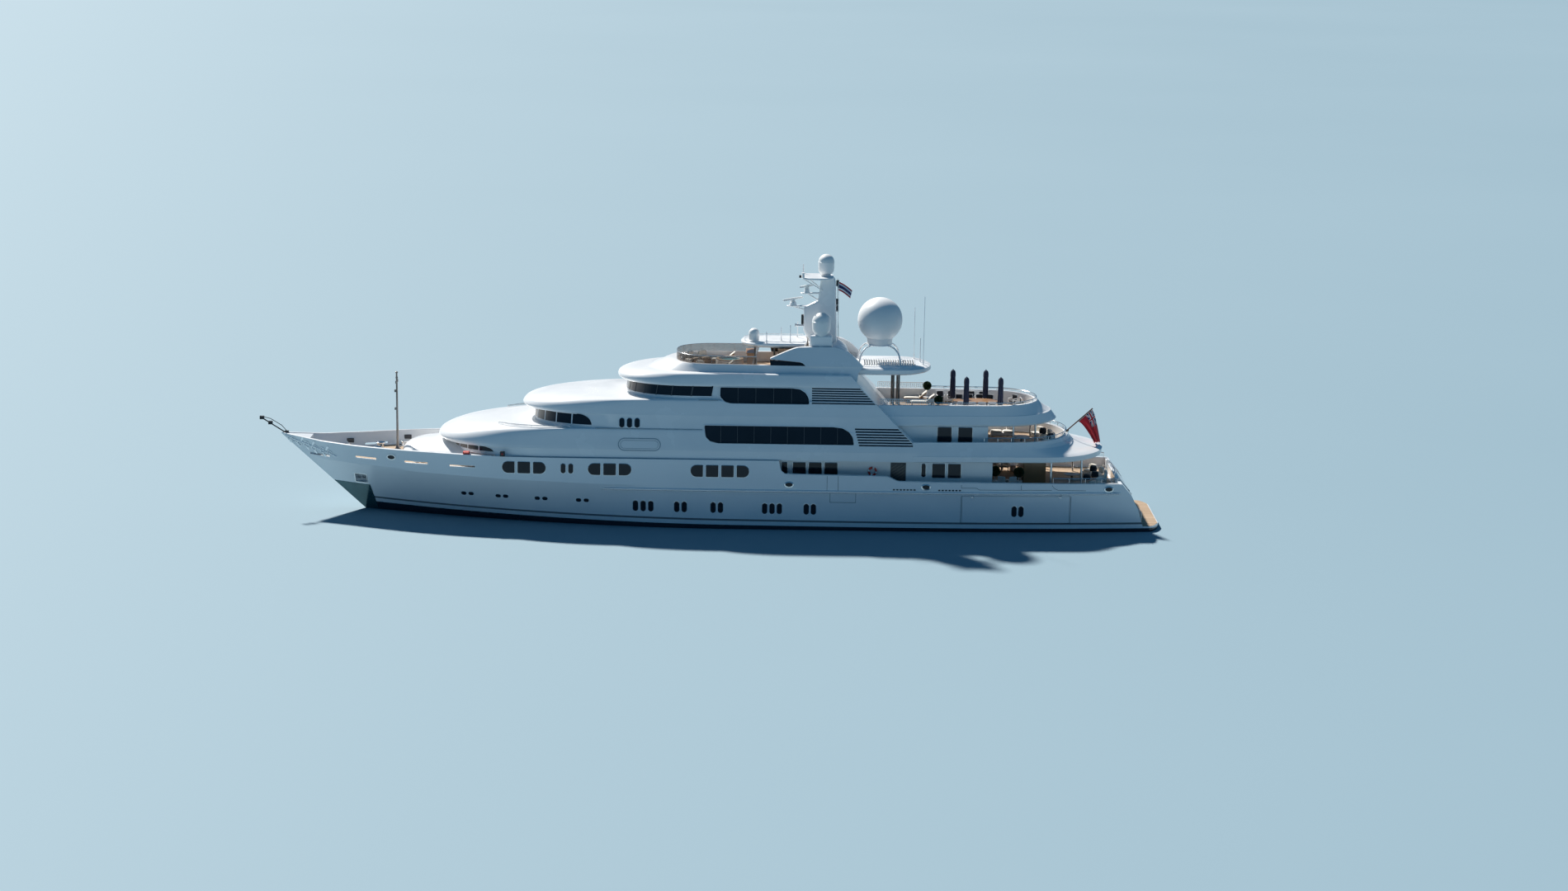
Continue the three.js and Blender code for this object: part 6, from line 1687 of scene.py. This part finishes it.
# Columns: x, y, radius, height of its middle, deck
SHRUBS = [(17.45, 2.5, 0.34, 10.6, BRIDGE_DECK), (18.15, -2.5, 0.34, 10.35, BRIDGE_DECK),
          (25.0, -2.2, 0.3, 9.9, BRIDGE_DECK), (22.95, -3.1, 0.42, 4.55, SALOON_DECK),
          (24.9, -3.1, 0.42, 4.5, SALOON_DECK), (22.95, 3.1, 0.42, 4.55, SALOON_DECK),
          (24.9, 3.1, 0.42, 4.5, SALOON_DECK)]
POT = [(0, 0), (0.2, 0), (0.24, 0.04), (0.3, 0.5), (0.32, 0.54), (0.3, 0.55), (0, 0.56)]
leaf_green = surface("clipped leaves", ((0.012, 0.035, 0.012), (0.035, 0.075, 0.025)), 30,
                     (0.5, 0.8))
shrub = shrub_maker("shrub")
pots = []
for number, (x, y, radius, z, deck) in enumerate(SHRUBS):
    pots += [turned(POT, x, y, deck, 28), upright(x, y, deck + 0.5, z, 0.03, 8)]
    rides(grown(f"shrub_{number + 1}", shrub, {"Radius": radius * 0.8, "Leaf": 0.075}, leaf_green, (x, y, z),
                Density=5200.0, Seed=5 + number))
fitted("shrub_pots", pots, house_white, crease=40)

# Seating on the lower aft decks. White built-in sofas follow the stern with cream cushions and dark round
# pillows, and low tables stand before them.
# Columns: x of the middle of the arc, its radius, its length in degrees, deck
SOFAS = [(24.9, 2.7, 90, UPPER_DECK), (29.3, 2.75, 84, SALOON_DECK)]
sofas, seats, backs = [], [], []
for x, reach, length, deck in SOFAS:
    for angle in steps_between(-length / 2, length / 2, 4):
        spot = x + reach * cos(radians(angle)), reach * 1.25 * sin(radians(angle)), deck, angle * 0.9
        sofas.append(set_down(block(0, 0, 0.42, 0.5, 0, 0.26), *spot))
        seats.append(set_down(cushion(-0.42, 0.28, -0.46, 0.46, 0.27, 0.44), *spot))
        backs.append(set_down(cushion(0.26, 0.5, -0.46, 0.46, 0.3, 0.86), *spot))
for y in (2.9, -2.9):
    sofas.append(moved(block(23.9, y, 1, 0.4, 0, 0.26), 0, 0, UPPER_DECK))
    seats += [cushion(x + 0.02, x + 0.98, y - 0.38, y + 0.38, UPPER_DECK + 0.27, UPPER_DECK + 0.44)
              for x in (22.9, 23.9)]
fitted("aft_sofa_bases", sofas, house_white, "main_deck_sofa", "upper_deck_sofa", edge=(0.03,))
padded("aft_sofa_seats", seats, cream_canvas, 0.7)
padded("aft_sofa_backs", backs, cream_canvas, 0.8)
PILLOWS = [(27.6, -1.1, 7.1), (27.2, 1.5, 7.05), (31.4, -1.2, 3.95), (30.6, -2.3, 3.95), (31.5, 1.1, 3.95)]
round_pillows = [moved(cushion(-0.32, 0.32, -0.32, 0.32, -0.2, 0.3, 2), *spot) for spot in PILLOWS]
padded("aft_pillows", round_pillows, dark_canvas, 0.9)
low_tables = []
for x, deck, r in ((25.3, UPPER_DECK, 0.7), (29.6, SALOON_DECK, 0.65)):
    low_tables.append(turned([(0, 0), (r * 0.6, 0), (r * 0.6, 0.04), (0.12, 0.06), (0.1, 0.4),
                              (r * 0.8, 0.44), (r, 0.46), (r, 0.5), (0, 0.51)], x, 0, deck, 40))
fitted("low_tables", low_tables, wood, crease=40)

# Lifesaving gear and lights on the sides. Red and white lifebuoys hang on the deckhouse, red floats lie
# inside the bulwarks by the forward house, and black boxes hold the side lights.
buoy_red = surface("buoy red", ((0.50, 0.03, 0.02), (0.62, 0.05, 0.03)), 6, (0.4, 0.6))
covers, bands = [], []
for y in (4.86, -4.86):
    ring = [(12.76 + 0.3 * c, y, 4.77 + 0.3 * s) for c, s in circle(36)] * 2
    for start in (0, 9, 18, 27):
        covers.append(tube(ring[start:start + 7], 0.085, 14))
        bands.append(tube(ring[start + 6:start + 10], 0.088, 14))
floats = [tube([(x, y, 5.9) for x in (-20.68, -20.6, -20.2, -20.12)], 0.2, 20) for y in (-5.3, 5.3)]
fitted("floats", floats, buoy_red, crease=50, edge=(0.09, 4))
fitted("lifebuoys", covers, buoy_red, crease=50)
fitted("lifebuoy_bands", bands, house_white, crease=50)
fitted("side_light_boxes", both(box(-17.6, -17.2, 5.82, 6.04, 5.82, 6.24)), black_and_hole_shade, edge=(0.04,))
lens_green = surface("green lens", ((0.0, 0.12, 0.05), (0.0, 0.16, 0.07)), 20, (0.1, 0.2))
lens_red = surface("red lens", ((0.30, 0.02, 0.02), (0.36, 0.03, 0.03)), 20, (0.1, 0.2))
lens = skin([[(-17.4 + r * c, 6.03 + out, 6.03 + r * s) for c, s in circle(24)]
             for out, r in ((0, 0.09), (0.03, 0.085), (0.05, 0.05))])
for (word, hand), glow in zip(SIDES, (lens_red, lens_green)):
    fitted(f"side_light_lens_{word}", hand(lens), glow, crease=50)

# The seams of the plating. Narrow dark joints mark the bulwark gates, the boarding door and the garage doors.
SEAMS = [[(9.05, 4.6), (9.05, 3.42)], [(9.95, 4.6), (9.95, 3.42)],
         [(9.31, 3.2), (9.31, 2.4), (11.4, 2.4), (11.4, 3.2)],
         [(20.0, 3.05), (20.0, 2.2), (20.0, 1.5), (20.0, 0.72)],
         [(29.0, 3.05), (29.0, 2.2), (29.0, 1.5), (29.0, 0.72)],
         [(20.0, 4.0), (20.0, 3.75), (21.2, 3.75), (21.5, 3.6), (24.9, 3.6)],
         [(30.2, 3.55), (27.9, 3.6), (27.6, 3.75), (27.4, 4.0)], [(24.9, 4.0), (24.9, 3.6), (27.4, 3.6)]]
SEAM_HALF = 0.013
# Columns: how far it stands out of the plating at the station, height
STRIP = [(0.145, 3.36), (0.19, 3.33), (0.19, 3.29), (0.145, 3.26)]
seam_dark = surface("seam rubber", ((0.03, 0.045, 0.06), (0.05, 0.065, 0.08)), 9, (0.5, 0.7))
seams = []
for row in SEAMS:
    for (x0, z0), (x1, z1) in zip(row, row[1:]):
        share = SEAM_HALF / hypot(x1 - x0, z1 - z0)
        ax, az = (z1 - z0) * share, (x0 - x1) * share
        middle = list(zip(steps_between(x0, x1, 6), steps_between(z0, z1, 6)))
        outline = [(x + ax, z + az) for x, z in middle] + [(x - ax, z - az) for x, z in reversed(middle)]
        seams.append(skin([[(x, half_at(x, z) + out, z) for x, z in outline] for out in (-0.01, 0.012)]))
fitted("plating_seams", both(*seams), seam_dark)
strip = skin([[(x, half_at(x, 3.31) + out, z) for out, z in STRIP] for x in steps_between(-9.1, 32.9, 160)])
fitted("rub_rail_strip", both(strip), frame_steel, crease=50)

# The ensign and its staff. A varnished staff rakes aft from the upper deck, and a red ensign with a union
# canton hangs from it in folds. A small striped courtesy flag flies from a halyard behind the mast.
STAFF_FOOT, STAFF_HEAD = (29.02, 7.4), (31.14, 9.34)
STAFF_REACH = 0.065
FLAG_STEPS = 48
FLAG_RED, FLAG_WHITE, FLAG_NAVY = (0.58, 0.012, 0.025, 1), (0.8, 0.8, 0.8, 1), (0.008, 0.018, 0.11, 1)
dark_wood = surface("varnished staff", ((0.10, 0.035, 0.015), (0.17, 0.07, 0.03)), 3, (0.12, 0.25),
                    coat=0.6)
staff = [tube([(x, 0, z) for x, z in (STAFF_FOOT, STAFF_HEAD)], 0.055, 16),
         box(28.87, 29.2, -0.1, 0.1, 7.36, 7.5)]
fitted("flagstaff", staff, dark_wood, "ensign_staff", crease=50)


def maths(tree, operation, *values):
    return add_node(tree, "ShaderNodeMath", dict(enumerate(values)), operation=operation)


def over(tree, below, colour, mask):
    """Lays a colour over another wherever the mask is 1."""
    return add_node(tree, "ShaderNodeMix", {"Factor": mask, "A": below, "B": colour}, data_type="RGBA")


def flag_finish(name):
    """A cloth finish, with its tree and the places across and along the cloth."""
    finish = bpy.data.materials.new(name)
    finish.use_nodes = True
    tree = finish.node_tree
    feed(tree.nodes["Principled BSDF"], {"Roughness": 0.85, "Sheen Weight": 0.3})
    place = add_node(tree, "ShaderNodeUVMap", uv_map="cloth")
    parts = add_node(tree, "ShaderNodeSeparateXYZ", {"Vector": place})
    return finish, tree, parts.outputs["X"], parts.outputs["Y"]


def flag(name, finish, hoist, ends, across, along, folds, flat, held_by, *nodes):
    """A sheet that hangs from its hoist. ends are the two fly corners, and folds take up what the hang
    leaves over."""
    (hx0, hz0), (hx1, hz1) = hoist
    (fx0, fz0), (fx1, fz1) = ends
    points = []
    for f in steps_between(0, 1, along):
        x0, z0 = hx0 + (fx0 - hx0) * f ** 0.8, hz0 + (fz0 - hz0) * f ** 1.15
        x1, z1 = hx1 + (fx1 - hx1) * f ** 0.8, hz1 + (fz1 - hz1) * f ** 1.15
        chord = hypot(x1 - x0, z1 - z0)
        low, high = 0.0, 0.4
        for _ in range(24):
            depth = (low + high) / 2
            rows = [(chord * t, depth * sin(2 * pi * folds * t + 2 * f)) for t in steps_between(0, 1, 60)]
            length = sum(dist(a, b) for a, b in zip(rows, rows[1:]))
            low, high = (depth, high) if length < across else (low, depth)
        for t in steps_between(0, 1, FLAG_STEPS):
            wave = depth * sin(2 * pi * folds * t + 2 * f) * min(1, f * 3)
            points.append((x0 + (x1 - x0) * t, wave, z0 + (z1 - z0) * t))
    row = FLAG_STEPS + 1
    faces = [(i * row + j, i * row + j + 1, (i + 1) * row + j + 1, (i + 1) * row + j)
             for i in range(along) for j in range(FLAG_STEPS)]
    mesh = net(name, points, faces)
    map_of = mesh.uv_layers.new(name="cloth")
    for loop in mesh.loops:
        i, j = divmod(loop.vertex_index, row)
        map_of.data[loop.index].uv = (i / along, 1 - j / FLAG_STEPS)
    for face in mesh.polygons:
        face.use_smooth = True
    mesh.materials.append(finish)
    made = placed(name, mesh)
    wall = made.modifiers.new("thickness", "SOLIDIFY")
    wall.thickness = 0.0016
    wall.offset = 0
    rides(made, *nodes)
    width, length = flat


ensign_finish, tree, u, v = flag_finish("ensign cloth")
cu = maths(tree, "MULTIPLY", u, 2)
cv = maths(tree, "MULTIPLY_ADD", v, 2, -1)
dx = maths(tree, "MULTIPLY", maths(tree, "SUBTRACT", cu, 0.5), 2)
dy = maths(tree, "SUBTRACT", cv, 0.5)
rising = maths(tree, "ABSOLUTE", maths(tree, "SUBTRACT", dy, maths(tree, "MULTIPLY", dx, 0.5)))
falling = maths(tree, "ABSOLUTE", maths(tree, "ADD", dy, maths(tree, "MULTIPLY", dx, 0.5)))
diagonal = maths(tree, "MINIMUM", rising, falling)
cross = maths(tree, "MINIMUM", maths(tree, "ABSOLUTE", dx), maths(tree, "ABSOLUTE", dy))
canton = FLAG_NAVY
for colour, arms, half in ((FLAG_WHITE, diagonal, 0.11), (FLAG_RED, diagonal, 0.04),
                           (FLAG_WHITE, cross, 0.17), (FLAG_RED, cross, 0.1)):
    canton = over(tree, canton, colour, maths(tree, "LESS_THAN", arms, half))
inside = maths(tree, "MULTIPLY", maths(tree, "LESS_THAN", u, 0.5), maths(tree, "GREATER_THAN", v, 0.5))
feed(tree.nodes["Principled BSDF"], {"Base Color": over(tree, FLAG_RED, canton, inside)})
rise = atan2(STAFF_HEAD[1] - STAFF_FOOT[1], STAFF_HEAD[0] - STAFF_FOOT[0])
hoist = [(STAFF_HEAD[0] - below * cos(rise) + STAFF_REACH * sin(rise),
          STAFF_HEAD[1] - below * sin(rise) - STAFF_REACH * cos(rise)) for below in (0.12, 1.62)]
flag("ensign_flag", ensign_finish, hoist, ((31.88, 6.5), (31.36, 6.42)), 1.5, 40, 2.5, (0.75, 1.45),
     "flagstaff", "ensign")
striped, tree, u, v = flag_finish("striped cloth")
stripe = FLAG_RED
for colour, half in ((FLAG_WHITE, 0.333), (FLAG_NAVY, 0.167)):
    off_middle = maths(tree, "ABSOLUTE", maths(tree, "SUBTRACT", v, 0.5))
    stripe = over(tree, stripe, colour, maths(tree, "LESS_THAN", off_middle, half))
feed(tree.nodes["Principled BSDF"], {"Base Color": stripe})
flag("courtesy_flag", striped, ((9.72, 19.7), (9.78, 18.95)), ((10.95, 18.95), (10.8, 18.3)), 0.8, 24, 1.5,
     (0.4, 0.7), "mast_blade")
fitted("flag_halyard", tube([(9.74, 0, 19.95), (9.74, 0, 18.4), (9.9, 0, 15.0)], 0.012, 6), black_and_hole_shade,
       crease=60)

# The stern gear. Each cast bronze propeller has five blades on a bossed hub, and turns on a steel shaft
# that a barrel on two struts carries. A fairing closes the place where the shaft leaves the hull.
SHAFT = {"y": 2.2, "z": -2.7, "fore": 23, "barrel": 29.9, "face": 30.66, "propeller": 31}
# Columns: distance from the axis, half of the chord, pitch in degrees
BLADE = [(0.18, 0.34, 62), (0.45, 0.42, 48), (0.8, 0.46, 34), (1, 0.34, 29), (1.08, 0.18, 27),
         (1.1, 0.04, 26)]
HUB = [(0, -0.32), (0.2, -0.32), (0.25, -0.28), (0.26, -0.1), (0.26, 0.22), (0.24, 0.34), (0.18, 0.48),
       (0.1, 0.59), (0.04, 0.63), (0, 0.64)]
BARREL = [(0, 0), (0.16, 0), (0.22, 0.06), (0.24, 0.14), (0.24, 0.62), (0.22, 0.76), (0, 0.76)]
# Columns: x, half-width, half-height
FAIRING = [(20.9, 0.1, 0.1), (21.6, 0.26, 0.24), (22.6, 0.3, 0.27), (24, 0.25, 0.25), (25.4, 0.16, 0.24)]
bronze = surface("cast bronze", ((0.42, 0.24, 0.09), (0.58, 0.36, 0.16)), 6, (0.2, 0.35),
                 metallic=1.0)


def rolled(shape, angle):
    """Turns a shape about the fore-and-aft axis."""
    c, s = cos(radians(angle)), sin(radians(angle))
    return [(x, y * c - z * s, y * s + z * c) for x, y, z in shape[0]], shape[1]


def lengthwise(profile):
    """A turned shape on the fore-and-aft axis."""
    points, faces = turned(profile, 0, 0, 0)
    return [(z, y, x) for x, y, z in points], faces


blade_rings = []
for reach, chord, pitch in eased(BLADE, 5):
    c, s = cos(radians(pitch)), sin(radians(pitch))
    ring = []
    for k, (along, off) in enumerate(circle(24)):
        across, thick = chord * along, (0.035 if k < 12 else 0.02) * off
        ring.append((across * s + thick * c, across * c - thick * s, reach))
    blade_rings.append(ring)
blades = [rolled(skin(blade_rings), 72 * k) for k in range(5)]
y, z = SHAFT["y"], SHAFT["z"]
screw = together(lengthwise(HUB), tube([(-0.9, 0, 0), (-0.2, 0, 0)], 0.1, 24), *blades)
screw = moved(screw, SHAFT["propeller"], y, z)
line = [tube([(SHAFT["fore"], y, z), (SHAFT["face"] - 0.1, y, z)], 0.14, 32),
        moved(lengthwise(BARREL), SHAFT["barrel"], y, z)]
for lean in (-0.9, 0.9):
    line.append(skin([[(x + 0.17 * c, y + across + 0.045 * s, height) for c, s in circle(24)]
                      for x, across, height in ((30.2, lean * 0.05, z), (30.1, lean, -0.8))]))
lines = piece("shaft_lines", both(*line), polished, 40)
carve(lines, [tube([(30.08, side * y, z), (30.9, side * y, z)], 0.112, 24) for side in (-1, 1)], crease=40)
rides(lines, "shaft_port", "shaft_starboard")
fairing = skin([[(x, y + wide * c, z + 0.1 + tall * s) for c, s in circle(24)]
                for x, wide, tall in eased(FAIRING, 5)])
fitted("shaft_fairings", both(fairing), hull_white, crease=60, slot="antifouling")
for word, hand in SIDES:
    node = f"propeller_{word}"
    fitted(f"screw_{word}", hand(screw), bronze, node, body=node, crease=50)

# The rudders and the stabiliser fins. Both are hollow welded foils on round stocks, coated with dark
# antifouling.
RUDDER = {"x": 33, "y": 2.2, "fore": -0.75, "aft": 1.25}
# Columns: height, trimmed off each edge, trimmed off the tail, half-thickness
RUDDER_ROWS = [(-1.45, 0.05, 0, 0.11), (-1.5, 0, 0, 0.145), (-2.6, 0, 0.1, 0.14), (-3.69, 0, 0.2, 0.135),
               (-3.75, 0.06, 0.2, 0.1)]
FIN = {"root": (-2, 5.33, -2.96), "tilt": -130}
# Columns: distance from the root, fore edge, aft edge, half-thickness
FIN_ROWS = [(0, -0.88, 0.88, 0.08), (0.04, -0.89, 0.89, 0.095), (1.1, -0.66, 0.76, 0.09),
            (1.15, -0.6, 0.7, 0.06)]
fouling_paint = surface("dark antifouling", ((0.03, 0.035, 0.045), (0.045, 0.05, 0.06)), 4,
                        (0.6, 0.8))


def foil(fore, aft, half):
    """A section with a round nose and a thin tail, as rows of place along the chord and offset."""
    side = []
    for k in range(1, 14):
        t = 0.5 - 0.5 * cos(pi * k / 14)
        thick = 0.2969 * t ** 0.5 - 0.126 * t - 0.3516 * t ** 2 + 0.2843 * t ** 3 - 0.1036 * t ** 4
        side.append((fore + (aft - fore) * t, 10 * half * thick))
    return [(fore, 0)] + side + [(aft, 0)] + [(x, -y) for x, y in reversed(side)]


x0, y0 = RUDDER["x"], RUDDER["y"]
rudder = [[(x0 + x, y0 + y, height)
           for x, y in foil(RUDDER["fore"] + trim, RUDDER["aft"] - trim - narrow, half)]
          for height, trim, narrow, half in RUDDER_ROWS]
rudder = together(skin(rudder), upright(x0, y0, -1.75, -0.35, 0.12, 24))
fin = skin([[(x, y, out) for x, y in foil(*row)] for out, *row in FIN_ROWS])
fin = rolled(together(fin, upright(0, 0, -0.45, 0.05, 0.2, 24)), FIN["tilt"])
for name, shape in (("rudder", rudder), ("stabiliser", moved(fin, *FIN["root"]))):
    for word, hand in SIDES:
        node = f"{name}_{word}"
        fitted(f"{name}_foil_{word}", hand(shape), fouling_paint, node, body=node, crease=50)
